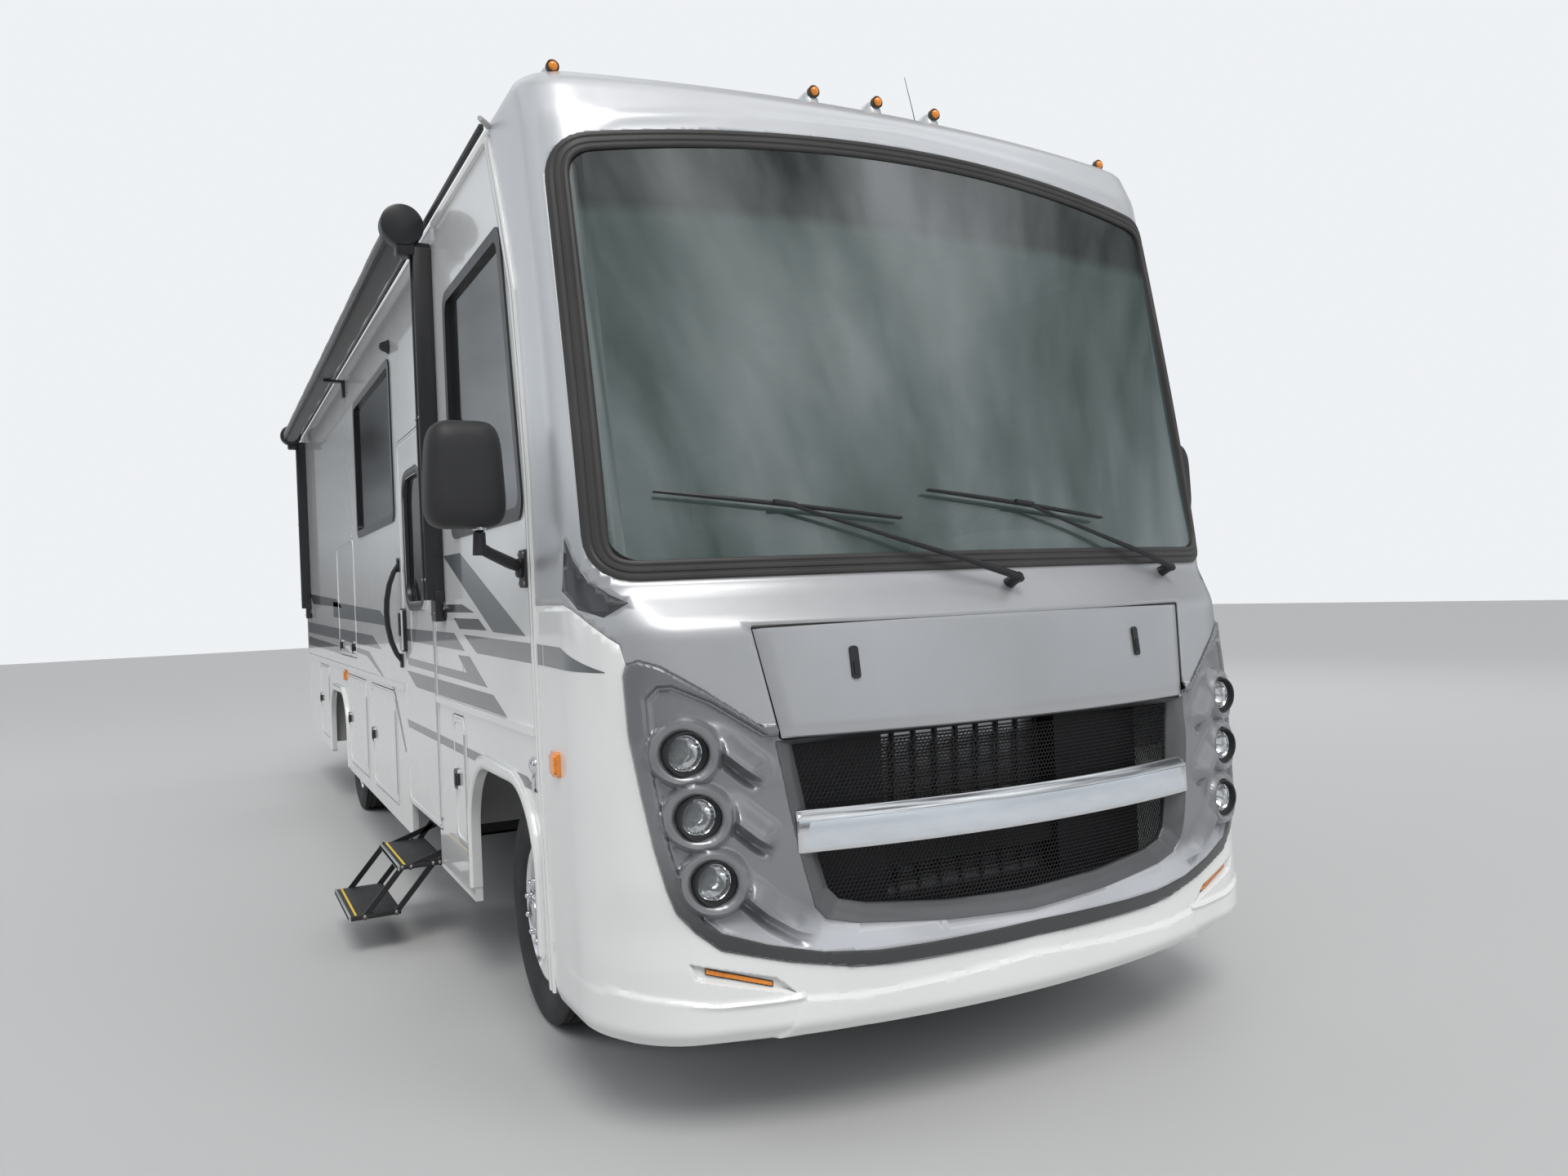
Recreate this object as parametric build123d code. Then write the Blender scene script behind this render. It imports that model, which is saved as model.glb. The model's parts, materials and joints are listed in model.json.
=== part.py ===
from build123d import *
import math
import os

# Motorhome of the one-box coach kind, in millimetres. While it is modelled, X = 0 is the centre
# plane with +X on the driver's side, Y = 0 is the foremost point of the bumper with +Y to the
# rear, and Z = 0 is the ground. The last lines move the whole coach so that the origin lies on
# the ground under the middle of its overall box.

# Driving dimensions of the body
BODY_WIDTH = 2565.0
BODY_LENGTH = 9450.0
HALF = BODY_WIDTH / 2
SKIRT_Z = 352.0
RAIL_Z = 1150.0
WALL_TOP = 3240.0
WALL = 45.0
SKIRT_WALL = 30.0
CAP_WALL = 24.0
FLOOR_Z = 980.0
FLOOR_THICK = 70.0
ROOF_THICK = 60.0
REAR_RADIUS = 150.0
SEAT_GAP = 0.3
DOOR_GAP = 6.0
MOVE_GAP = 6.0

# Running gear: a 245/70R19.5 tyre on a ten-stud wheel
FRONT_AXLE_Y = 1465.0
WHEELBASE = 5283.0
REAR_AXLE_Y = FRONT_AXLE_Y + WHEELBASE
TYRE_RADIUS = 419.0
HUB_Z = TYRE_RADIUS
TYRE_WIDTH = 245.0
BEAD_RADIUS = 248.0
FRONT_TYRE_X = 1038.0
DUAL_SPACING = 279.0
REAR_OUTER_X = 1037.0
REAR_INNER_X = REAR_OUTER_X - DUAL_SPACING
KINGPIN_X = 925.0
STUDS = 10
STUD_CIRCLE = 112.5

# Front cap: one row per level of the outer skin. Each level is a wide bow over the nose, a
# corner arc tangent to it and a straight side.
# columns: height, nose y, bow radius, corner radius, half width
FRONT_LEVELS = [
    (300.0, 44.0, 3200.0, 400.0, 1262.0),
    (345.0, 8.0, 3200.0, 400.0, HALF),
    (520.0, 0.0, 3200.0, 400.0, HALF),
    (830.0, 14.0, 3200.0, 400.0, HALF),
    (1160.0, 30.0, 3200.0, 400.0, HALF),
    (1480.0, 76.0, 3200.0, 360.0, HALF),
    (1600.0, 168.0, 3150.0, 230.0, HALF),
    (3110.0, 552.0, 5900.0, 170.0, HALF),
    (3235.0, 616.0, 5900.0, 170.0, HALF),
    (3292.0, 700.0, 5900.0, 170.0, 1262.0),
    (3335.0, 830.0, 5900.0, 200.0, 1215.0),
    (3368.0, 1000.0, 5900.0, 200.0, 1120.0),
    (3392.0, 1180.0, 5900.0, 200.0, 940.0),
]
# Roof edge behind the cap: half width by height, as in the rows above
ROOF_EDGE = [(level[4], level[0]) for level in FRONT_LEVELS[-5:]]

# Seam between the cap and the side walls, as (y, z) from the skirt to the roof
ROOF_FRONT = 1255.0
CAP_BACK = 1700.0
SEAM = [(806.0, 280.0), (880.0, 880.0), (900.0, 2040.0), (1000.0, 2640.0), (ROOF_FRONT, WALL_TOP)]


def block(x0, x1, y0, y1, z0, z1):
    """Box between two corners."""
    return Pos((x0 + x1) / 2, (y0 + y1) / 2, (z0 + z1) / 2) * Box(x1 - x0, y1 - y0, z1 - z0)


def rod_x(x0, x1, y, z, radius):
    """Round bar along X."""
    return Pos((x0 + x1) / 2, y, z) * Rot(0, 90, 0) * Cylinder(radius, x1 - x0)


def rod_y(y0, y1, x, z, radius):
    """Round bar along Y."""
    return Pos(x, (y0 + y1) / 2, z) * Rot(90, 0, 0) * Cylinder(radius, y1 - y0)


def rod_z(z0, z1, x, y, radius):
    """Round bar along Z."""
    return Pos(x, y, (z0 + z1) / 2) * Cylinder(radius, z1 - z0)


def bar(start, end, radius):
    """Round bar between two points."""
    path = Vector(*end) - Vector(*start)
    plane = Plane(origin=start, z_dir=path)
    return extrude(plane * Circle(radius), amount=path.length)


def side_prism(points, x0, x1, radius=0.0):
    """Outline of (y, z) points pushed along X, its corners rounded."""
    face = make_face(Polyline(*points, close=True))
    if radius:
        face = fillet(face.vertices(), radius)
    return extrude(Plane.YZ.offset(x0) * face, amount=x1 - x0)


def front_prism(points, y0, y1, radius=0.0):
    """Outline of (x, z) points pushed along Y, its corners rounded."""
    face = make_face(Polyline(*points, close=True))
    if radius:
        face = fillet(face.vertices(), radius)
    return extrude(Plane.XZ.offset(-y1) * face, amount=y1 - y0)


def side_panel(y0, y1, z0, z1, x0, x1, radius):
    """Rounded rectangle standing along a side wall."""
    return side_prism([(y0, z0), (y1, z0), (y1, z1), (y0, z1)], x0, x1, radius)


def mirror_x(shape):
    """The same piece on the other side of the centre plane."""
    return mirror(shape, about=Plane.YZ)


def both_sides(shape):
    """A piece and its mirror image, as one compound of loose solids."""
    return Compound([*shape.solids(), *mirror_x(shape).solids()])


def loose(shapes):
    """Solids that share a node without touching."""
    return Compound([solid for shape in shapes for solid in shape.solids()])


def level_outline(level, inset, back):
    """Closed outline of one level of the front cap, moved inwards by inset."""
    z, nose, bow, corner, half = level
    nose = nose + inset
    bow = bow - inset
    corner = corner - inset
    half = half - inset
    centre_x = half - corner
    centre_y = nose + bow - math.sqrt((bow - corner) ** 2 - centre_x ** 2)
    # The bow and the corner arc meet on the line through their centres
    scale = bow / (bow - corner)
    meet_x = centre_x * scale
    meet_y = nose + bow + (centre_y - nose - bow) * scale
    turn = (math.atan2(meet_x - centre_x, centre_y - meet_y) + math.pi / 2) / 2
    mid_x = centre_x + corner * math.sin(turn)
    mid_y = centre_y - corner * math.cos(turn)
    edges = [
        ThreePointArc((-meet_x, meet_y), (0, nose), (meet_x, meet_y)),
        ThreePointArc((meet_x, meet_y), (mid_x, mid_y), (half, centre_y)),
        Line((half, centre_y), (half, back)),
        Line((half, back), (-half, back)),
        Line((-half, back), (-half, centre_y)),
        ThreePointArc((-half, centre_y), (-mid_x, mid_y), (-meet_x, meet_y)),
    ]
    return Pos(0, 0, z) * make_face(edges)


def cap_solid(inset, back, first=0, last=len(FRONT_LEVELS) - 1):
    """Closed body of the front, from one level to another, moved inwards by inset."""
    faces = [level_outline(level, inset, back) for level in FRONT_LEVELS[first:last + 1]]
    return loft(faces, ruled=True)


def skin_y(x, z):
    """Y of the outer skin of the front at a place seen from ahead."""
    levels = [row for row in FRONT_LEVELS]
    low = max(i for i in range(len(levels) - 1) if levels[i][0] <= z)
    share = (z - levels[low][0]) / (levels[low + 1][0] - levels[low][0])
    depth = []
    for level in levels[low:low + 2]:
        _, nose, bow, corner, half = level
        centre_x = half - corner
        centre_y = nose + bow - math.sqrt((bow - corner) ** 2 - centre_x ** 2)
        meet_x = centre_x * bow / (bow - corner)
        if abs(x) <= meet_x:
            depth.append(nose + bow - math.sqrt(bow ** 2 - x ** 2))
        else:
            reach = min(abs(x) - centre_x, corner)
            depth.append(centre_y - math.sqrt(corner ** 2 - reach ** 2))
    return depth[0] * (1 - share) + depth[1] * share


parts = {}

# Chassis: two straight channel rails with cross members, and spring hangers
RAIL_X = 432.0
RAIL_DEPTH = 76.0
RAIL_WEB = 8.0
RAIL_LOW = 640.0
RAIL_HIGH = 870.0
RAIL_FRONT = 330.0
RAIL_REAR = 9180.0
CROSS_MEMBERS = [360.0, 2350.0, 3300.0, 4700.0, 6000.0, 7500.0, 9140.0]
SPRING_X = 484.0
SPRING_HALF = 640.0
SPRING_WIDTH = 76.0
LEAF_SLOPE = 0.1
LEAF_TOP = 490.0
HANGER_LOW = LEAF_TOP + SPRING_HALF * LEAF_SLOPE + SEAT_GAP
BEARER_HALF = 600.0
FLOOR_UNDER = FLOOR_Z - FLOOR_THICK


def chassis_frame():
    rail = block(RAIL_X - RAIL_DEPTH, RAIL_X, RAIL_FRONT, RAIL_REAR, RAIL_LOW, RAIL_HIGH)
    rail -= block(RAIL_X - RAIL_DEPTH - 1, RAIL_X - RAIL_WEB, RAIL_FRONT - 1, RAIL_REAR + 1,
                  RAIL_LOW + RAIL_WEB, RAIL_HIGH - RAIL_WEB)
    frame = [rail, mirror_x(rail)]
    inner = RAIL_X - RAIL_WEB - SEAT_GAP
    for y in CROSS_MEMBERS:
        frame.append(block(-inner, inner, y - 30, y + 30, RAIL_LOW + 40, RAIL_LOW + 140))
    for axle_y in (FRONT_AXLE_Y, REAR_AXLE_Y):
        for end in (-1, 1):
            y = axle_y + end * SPRING_HALF
            hanger = block(RAIL_X + SEAT_GAP, SPRING_X + SPRING_WIDTH / 2, y - 35, y + 35, HANGER_LOW, 760)
            frame += [hanger, mirror_x(hanger)]
    for y in CROSS_MEMBERS[1:]:
        frame.append(block(-BEARER_HALF, BEARER_HALF, y - 35, y + 35, RAIL_HIGH + SEAT_GAP, FLOOR_UNDER - SEAT_GAP))
    return loose(frame)


parts["chassis_frame"] = chassis_frame()

# Engine and radiator
ENGINE_BOX = (-300.0, 300.0, 620.0, 1330.0, 600.0, 1180.0)
RADIATOR_BOX = (-345.0, 345.0, 400.0, 470.0, 560.0, 1110.0)
SHAFT_FRONT = (0.0, 2160.0, 640.0)
CROSS_LOW = RAIL_LOW + 40
RAIL_INNER = RAIL_X - RAIL_WEB - SEAT_GAP


def engine_block():
    x0, x1, y0, y1, z0, z1 = ENGINE_BOX
    engine = fillet(block(*ENGINE_BOX).edges().filter_by(Axis.Y), 60)
    _, rear, z = SHAFT_FRONT
    gearbox = Pos(0, (y1 + rear) / 2, z) * Rot(-90, 0, 0) * Cone(190, 90, rear - y1 + 10)
    mount = block(x1 - 20, RAIL_INNER, 900, 980, 700, 760)
    return engine + gearbox + mount + mirror_x(mount)


parts["engine_block"] = engine_block()


def radiator():
    x0, x1, y0, y1, z0, z1 = RADIATOR_BOX
    body = block(*RADIATOR_BOX)
    for z in (z0 + 25, z1 - 25):
        body += block(x0 - 8, x1 + 8, y0 - 8, y1 + 8, z - 25, z + 25)
    foot = block(x1 - 5, RAIL_INNER, y0, y1, RAIL_LOW + 60, RAIL_LOW + 110)
    return body + foot + mirror_x(foot)


parts["radiator"] = radiator()

# Axles on their leaf springs
AXLE_DROP = 330.0
KINGPIN_RADIUS = 19.0
EYE_RADIUS = 46.0
EYE_HALF = 34.0
LEAF_THICK = 14.0


def leaf_spring(axle_y):
    """A spring pack: long main leaf with shorter leaves below."""
    x0 = SPRING_X - SPRING_WIDTH / 2
    pack = None
    for index, share in enumerate((1.0, 0.8, 0.6, 0.4)):
        reach = SPRING_HALF * share
        top = LEAF_TOP - LEAF_THICK * index
        low = top - LEAF_THICK
        sag = reach * LEAF_SLOPE
        leaf = side_prism([(axle_y - reach, low + sag), (axle_y, low), (axle_y + reach, low + sag),
                           (axle_y + reach, top + sag), (axle_y, top), (axle_y - reach, top + sag)],
                          x0, x0 + SPRING_WIDTH)
        pack = leaf if pack is None else pack + leaf
    return pack


def front_axle():
    beam = block(-SPRING_X - 60, SPRING_X + 60, FRONT_AXLE_Y - 45, FRONT_AXLE_Y + 45, AXLE_DROP, AXLE_DROP + 84)
    beam -= block(-SPRING_X - 61, SPRING_X + 61, FRONT_AXLE_Y - 46, FRONT_AXLE_Y - 14, AXLE_DROP + 18, AXLE_DROP + 66)
    beam -= block(-SPRING_X - 61, SPRING_X + 61, FRONT_AXLE_Y + 14, FRONT_AXLE_Y + 46, AXLE_DROP + 18, AXLE_DROP + 66)
    arm = extrude(Plane.XZ.offset(-FRONT_AXLE_Y - 32) * make_face(Polyline(
        (SPRING_X + 50, AXLE_DROP), (KINGPIN_X - 70, HUB_Z - EYE_HALF), (KINGPIN_X, HUB_Z - EYE_HALF),
        (KINGPIN_X, HUB_Z + EYE_HALF), (KINGPIN_X - 70, HUB_Z + EYE_HALF), (SPRING_X + 50, AXLE_DROP + 84),
        close=True)), amount=64)
    arm += rod_z(HUB_Z - EYE_HALF, HUB_Z + EYE_HALF, KINGPIN_X, FRONT_AXLE_Y, EYE_RADIUS)
    arm -= rod_z(HUB_Z - EYE_HALF - 1, HUB_Z + EYE_HALF + 1, KINGPIN_X, FRONT_AXLE_Y, KINGPIN_RADIUS + 0.5)
    spring = leaf_spring(FRONT_AXLE_Y)
    seat = block(SPRING_X - 60, SPRING_X + 60, FRONT_AXLE_Y - 55, FRONT_AXLE_Y + 55, AXLE_DROP + 60, 450)
    half = arm + spring + seat
    return beam + half + mirror_x(half)


parts["front_axle"] = front_axle()

AXLE_TUBE = 62.0
DRUM_X = 560.0
HUB_RADIUS = 86.0
DISC_PLANE_X = (REAR_OUTER_X + REAR_INNER_X) / 2


def rear_axle():
    tube = rod_x(-DRUM_X, DRUM_X, REAR_AXLE_Y, HUB_Z, AXLE_TUBE)
    case = Pos(60, REAR_AXLE_Y, HUB_Z) * Rot(0, 90, 0) * Cone(190, 120, 120)
    case += Pos(-60, REAR_AXLE_Y, HUB_Z) * Rot(0, -90, 0) * Cone(190, 120, 120)
    pinion = rod_y(REAR_AXLE_Y - 330, REAR_AXLE_Y, 0, HUB_Z, 78)
    spring = leaf_spring(REAR_AXLE_Y)
    seat = block(SPRING_X - 55, SPRING_X + 55, REAR_AXLE_Y - 60, REAR_AXLE_Y + 60, 400, 450)
    _, shaft_y, shaft_z = SHAFT_FRONT
    shaft = bar((0, REAR_AXLE_Y - 320, HUB_Z), (0, shaft_y + 12, shaft_z), 46)
    half = spring + seat
    return tube + case + pinion + shaft + half + mirror_x(half)


parts["rear_axle"] = rear_axle()

# Exhaust and the tanks under the floor
EXHAUST_X = -290.0
EXHAUST_Z = 530.0
TANK_TOP = RAIL_LOW - SEAT_GAP


def exhaust():
    x, z = EXHAUST_X, EXHAUST_Z
    pipe = rod_y(1700, REAR_AXLE_Y - 700, x, z, 38)
    pipe += rod_y(3000, 3800, x, z, 95)
    for y in (2350, 3300, 4700):
        pipe += block(x - 15, x + 15, y - 20, y + 20, z, CROSS_LOW - SEAT_GAP)
    return pipe


TANKS = [
    # x0, x1, y0, y1, z0, z1
    (-400.0, 400.0, 8250.0, 8850.0, 480.0, TANK_TOP),
    (-400.0, 400.0, 7620.0, 8180.0, 480.0, TANK_TOP),
    (110.0, 420.0, 4050.0, 5400.0, 470.0, TANK_TOP),
]


def service_tanks():
    tanks = []
    for row in TANKS:
        tank = block(*row)
        tanks.append(fillet(tank.edges().filter_by(Axis.Z), 50))
    return loose(tanks)


parts["exhaust"] = exhaust()
parts["service_tanks"] = service_tanks()

# Tow hitch: a 2 in receiver tube on a cross bar between the rails
RECEIVER_OUT = 63.5
RECEIVER_IN = 51.0
RECEIVER_LENGTH = 230.0
RECEIVER_Z = 500.0
PIN_RADIUS = 8.1
PIN_BACK = 63.0
HITCH_Y = BODY_LENGTH - 60


def tow_hitch():
    half = RECEIVER_OUT / 2
    tube = block(-half, half, HITCH_Y - RECEIVER_LENGTH, HITCH_Y, RECEIVER_Z - half, RECEIVER_Z + half)
    cross = rod_x(-RAIL_X, RAIL_X, HITCH_Y - RECEIVER_LENGTH - 20, RECEIVER_Z, 32)
    side = block(RAIL_X + SEAT_GAP, RAIL_X + 10, RAIL_REAR - 260, HITCH_Y - RECEIVER_LENGTH + 15, RECEIVER_Z - 40,
                 RAIL_HIGH - 60)
    side += block(RAIL_X - 20, RAIL_X + 10, HITCH_Y - RECEIVER_LENGTH - 50, HITCH_Y - RECEIVER_LENGTH + 10,
                  RECEIVER_Z - 40, RECEIVER_Z + 40)
    hitch = tube + cross + side + mirror_x(side)
    inner = RECEIVER_IN / 2
    hitch -= block(-inner, inner, HITCH_Y - RECEIVER_LENGTH + 20, HITCH_Y + 1, RECEIVER_Z - inner, RECEIVER_Z + inner)
    hitch -= rod_x(-half - 1, half + 1, HITCH_Y - PIN_BACK, RECEIVER_Z, PIN_RADIUS)
    return hitch


parts["tow_hitch"] = tow_hitch()

# Wheel arches, baggage doors and windows along the sides
ARCH_HALF = 500.0
ARCH_TOP = 942.0
ARCH_CORNER = 300.0
REAR_ARCH_HALF = 560.0
REAR_CUT = 180.0
REAR_LOW = 605.0


def arch(axle_y, half, grow=0.0):
    """Outline of a wheel arch, open below."""
    face = make_face(Polyline((axle_y - half - grow, 200), (axle_y - half - grow, ARCH_TOP + grow),
                              (axle_y + half + grow, ARCH_TOP + grow), (axle_y + half + grow, 200), close=True))
    top = face.vertices().sort_by(Axis.Y)[-2:]
    return fillet(top, ARCH_CORNER + grow)


def arch_prism(axle_y, half, x0, x1, grow=0.0):
    return extrude(Plane.YZ.offset(x0) * arch(axle_y, half, grow), amount=x1 - x0)


# columns: name, front y, rear y, bottom z, top z
CURB_DOORS = [
    ("utility_door", 2040.0, 2290.0, 560.0, 1105.0),
    ("storage_door_1", 3880.0, 4860.0, 470.0, 1105.0),
    ("storage_door_2", 5080.0, 6090.0, 470.0, 1105.0),
    ("storage_door_3", 7400.0, 8180.0, 500.0, 1105.0),
]
ROAD_DOORS = [
    ("storage_door_4", 2300.0, 3500.0, 470.0, 1105.0),
    ("storage_door_5", 7400.0, 8600.0, 500.0, 1105.0),
]
MEDIA_DOOR = ("media_door", 5500.0, 6540.0, 1240.0, 2060.0)
ENTRY_DOOR = ("entry_door", 2620.0, 3515.0, 545.0, 2440.0)
DOOR_RADIUS = 40.0

# columns: side sign, front y, rear y, bottom z, top z
WALL_WINDOWS = [
    (-1, 3640.0, 5200.0, 2040.0, 2930.0),
    (1, 7250.0, 8250.0, 2040.0, 2760.0),
]
CAB_WINDOW = [(955.0, 1850.0), (2130.0, 1850.0), (2130.0, 2880.0), (1130.0, 2880.0)]
WINDOW_RADIUS = 70.0
FRAME_WIDTH = 45.0
SLIDE_BOX = (3000.0, 6000.0, 1240.0, 2980.0)


def side_outline(z0, z1):
    """Side of the body behind the cap seam, between two heights."""
    front = [(y, z) for y, z in SEAM if z0 < z < z1]
    def seam_y(z):
        for (ya, za), (yb, zb) in zip(SEAM, SEAM[1:]):
            if za <= z <= zb:
                return ya + (yb - ya) * (z - za) / (zb - za)
    return [(seam_y(z0), z0), *front, (seam_y(z1), z1)]


def wall(sign):
    """Upper side wall from the rub rail to the roof, windows and doors cut out."""
    rear = BODY_LENGTH - REAR_RADIUS
    points = [*side_outline(RAIL_Z, WALL_TOP), (rear, WALL_TOP), (rear, RAIL_Z)]
    panel = side_prism(points, HALF - WALL, HALF)
    panel -= side_prism(CAB_WINDOW, HALF - WALL - 1, HALF + 1, WINDOW_RADIUS)
    for side, y0, y1, z0, z1 in WALL_WINDOWS:
        if side == sign:
            panel -= side_panel(y0, y1, z0, z1, HALF - WALL - 1, HALF + 1, WINDOW_RADIUS)
    if sign < 0:
        _, y0, y1, z0, z1 = ENTRY_DOOR
        panel -= side_panel(y0 - DOOR_GAP, y1 + DOOR_GAP, RAIL_Z - 200, z1 + DOOR_GAP, HALF - WALL - 1, HALF + 1,
                            DOOR_RADIUS)
        _, y0, y1, z0, z1 = MEDIA_DOOR
        panel -= side_panel(y0 - DOOR_GAP, y1 + DOOR_GAP, z0 - DOOR_GAP, z1 + DOOR_GAP, HALF - WALL - 1, HALF + 1,
                            DOOR_RADIUS)
        return mirror_x(panel)
    y0, y1, z0, z1 = SLIDE_BOX
    clearance = 12
    panel -= side_panel(y0 - clearance, y1 + clearance, z0 - clearance, z1 + clearance, HALF - WALL - 1, HALF + 1, 12)
    return panel


def skirt(sign):
    """Lower side panel with wheel arches and door openings."""
    rear = BODY_LENGTH - REAR_RADIUS
    points = [*side_outline(SKIRT_Z, RAIL_Z), (rear, RAIL_Z), (rear, REAR_LOW), (rear - REAR_CUT, 430),
              (REAR_AXLE_Y, 400)]
    panel = side_prism(points, HALF - SKIRT_WALL, HALF)
    panel -= arch_prism(FRONT_AXLE_Y, ARCH_HALF, HALF - WALL - 1, HALF + 1)
    panel -= arch_prism(REAR_AXLE_Y, REAR_ARCH_HALF, HALF - WALL - 1, HALF + 1)
    for _, y0, y1, z0, z1 in (CURB_DOORS if sign < 0 else ROAD_DOORS):
        panel -= side_panel(y0 - DOOR_GAP, y1 + DOOR_GAP, z0 - DOOR_GAP, z1 + DOOR_GAP, HALF - WALL - 1, HALF + 1,
                            DOOR_RADIUS)
    if sign < 0:
        _, y0, y1, z0, z1 = ENTRY_DOOR
        panel -= block(HALF - WALL - 1, HALF + 1, y0 - DOOR_GAP, y1 + DOOR_GAP, z0 - DOOR_GAP, RAIL_Z + 1)
        panel -= block(HALF - WALL - 1, HALF + 1, y0 + 60, y1 - 60, SKIRT_Z - 1, z0)
        return mirror_x(panel)
    return panel


parts["right_wall"] = wall(-1)
parts["left_wall"] = wall(1)


def skirt_panels(sign):
    """The skirt parted along the sides of its doors and arches."""
    seams = [FRONT_AXLE_Y - ARCH_HALF, FRONT_AXLE_Y + ARCH_HALF, REAR_AXLE_Y - REAR_ARCH_HALF,
             REAR_AXLE_Y + REAR_ARCH_HALF]
    for _, y0, y1, _, _ in ([ENTRY_DOOR, *CURB_DOORS] if sign < 0 else ROAD_DOORS):
        seams += [y0 - DOOR_GAP, y1 + DOOR_GAP]
    panel = skirt(sign)
    for y in seams:
        panel -= block(-HALF - 1, HALF + 1, y - SEAT_GAP / 2, y + SEAT_GAP / 2, SKIRT_Z - 60, RAIL_Z + 1)
    return panel


parts["side_skirts"] = loose([skirt_panels(-1), skirt_panels(1)])

# Floor with the step well behind the front wheels and the engine cover between the seats
STEP_WELL = (-HALF + WALL, -760.0, ENTRY_DOOR[1] + 20, ENTRY_DOOR[2] - 20)
COVER_HALF = 340.0
COVER_REAR = 1420.0
COVER_TOP = 1260.0
FIREWALL_Y = 560.0
FIREWALL_TOP = 1500.0


def rear_outline(inset, z, y0):
    half = HALF - inset
    y1 = BODY_LENGTH - inset
    corner = REAR_RADIUS - inset
    face = make_face(Polyline((-half, y0), (half, y0), (half, y1), (-half, y1), close=True))
    back = face.vertices().sort_by(Axis.Y)[-2:]
    return Pos(0, 0, z) * fillet(back, corner)


def floor():
    side = HALF - WALL - SEAT_GAP
    low = FLOOR_Z - FLOOR_THICK
    slab = extrude(rear_outline(WALL + SEAT_GAP, low, FIREWALL_Y), amount=FLOOR_THICK)
    x0, x1, y0, y1 = STEP_WELL
    slab -= block(-side - 1, x1, y0, y1, low - 1, FLOOR_Z + 1)
    slab -= block(-COVER_HALF, COVER_HALF, FIREWALL_Y - 1, COVER_REAR, low - 1, FLOOR_Z + 1)
    cover = block(-COVER_HALF, COVER_HALF, FIREWALL_Y, COVER_REAR, low, COVER_TOP)
    cover -= block(-COVER_HALF + 20, COVER_HALF - 20, FIREWALL_Y - 1, COVER_REAR - 20, low - 1, COVER_TOP - 20)
    sheet = front_prism([
        (-side, FLOOR_Z + SEAT_GAP), (-COVER_HALF, FLOOR_Z + SEAT_GAP), (-COVER_HALF, COVER_TOP + SEAT_GAP),
        (COVER_HALF, COVER_TOP + SEAT_GAP), (COVER_HALF, FLOOR_Z + SEAT_GAP), (side, FLOOR_Z + SEAT_GAP),
        (side, FIREWALL_TOP), (-side, FIREWALL_TOP)], FIREWALL_Y, FIREWALL_Y + 20)
    for y in (COVER_REAR, y0, y1):
        slab -= block(-side - 1, side + 1, y - SEAT_GAP / 2, y + SEAT_GAP / 2, low - 1, FLOOR_Z + 1)
    for x in (-COVER_HALF, COVER_HALF):
        slab -= block(x - SEAT_GAP, x + SEAT_GAP, FIREWALL_Y - 1, COVER_REAR + SEAT_GAP, low - 1, FLOOR_Z + 1)
        sheet -= block(x - SEAT_GAP, x + SEAT_GAP, FIREWALL_Y - 1, FIREWALL_Y + 21, FLOOR_Z, FIREWALL_TOP + 1)
    slab -= block(-COVER_HALF - 1, COVER_HALF + 1, COVER_REAR - 1, COVER_REAR + SEAT_GAP, low - 1, FLOOR_Z + 1)
    tread = (FLOOR_Z - ENTRY_DOOR[3]) / 2
    depth = (x1 + side) / 2
    well_low = ENTRY_DOOR[3]
    front = y0 + 20 + SEAT_GAP
    rear = y1 - 20 - SEAT_GAP
    middle = -side + depth
    inner = x1 - SEAT_GAP
    well = [
        block(-side, middle - SEAT_GAP, front, rear, well_low, well_low + 20),
        block(middle, middle + 20, front, rear, well_low, well_low + tread),
        block(middle + 20 + SEAT_GAP, inner - 20 - SEAT_GAP, front, rear, well_low + tread - 20, well_low + tread),
        block(inner - 20, inner, front, rear, well_low + tread - 20, FLOOR_Z),
        block(-side, inner, y0 + SEAT_GAP, y0 + 20, well_low, FLOOR_Z),
        block(-side, inner, y1 - 20, y1 - SEAT_GAP, well_low, FLOOR_Z),
    ]
    return loose([slab, cover, sheet, *well])


parts["floor"] = floor()

# Baggage compartments: open towards their doors
BOX_DEPTH = 640.0
BOX_WALL = 12.0
BOX_TOP = FLOOR_Z - FLOOR_THICK - SEAT_GAP


def storage_boxes(rows):
    boxes = []
    for _, y0, y1, z0, z1 in rows:
        outer = HALF - SKIRT_WALL - SEAT_GAP
        inner = outer - BOX_DEPTH + BOX_WALL
        front = y0 - 20
        rear = y1 + 20
        base = z0 - 20
        boxes.append(block(inner - BOX_WALL, inner, front, rear, base, BOX_TOP))
        inner += SEAT_GAP
        boxes.append(block(inner, outer, front, rear, base, base + BOX_WALL))
        base += BOX_WALL + SEAT_GAP
        for y in (front, rear - BOX_WALL):
            boxes.append(block(inner, outer, y, y + BOX_WALL, base, BOX_TOP))
    return loose(boxes)


parts["storage_boxes_curb"] = mirror_x(storage_boxes(CURB_DOORS[1:]))
parts["storage_boxes_road"] = storage_boxes(ROAD_DOORS)

# Roof, with its edge line carried back from the cap
ROOF_TOP = FRONT_LEVELS[-1][0]


def roof_profile(inset):
    edge = [(half - inset, z - inset) for half, z in ROOF_EDGE]
    low = (ROOF_EDGE[0][0] - inset, WALL_TOP + SEAT_GAP - inset)
    points = [low, *edge[1:]]
    outline = points + [(-x, z) for x, z in reversed(points)]
    return make_face(Polyline(*outline, close=True))


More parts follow.
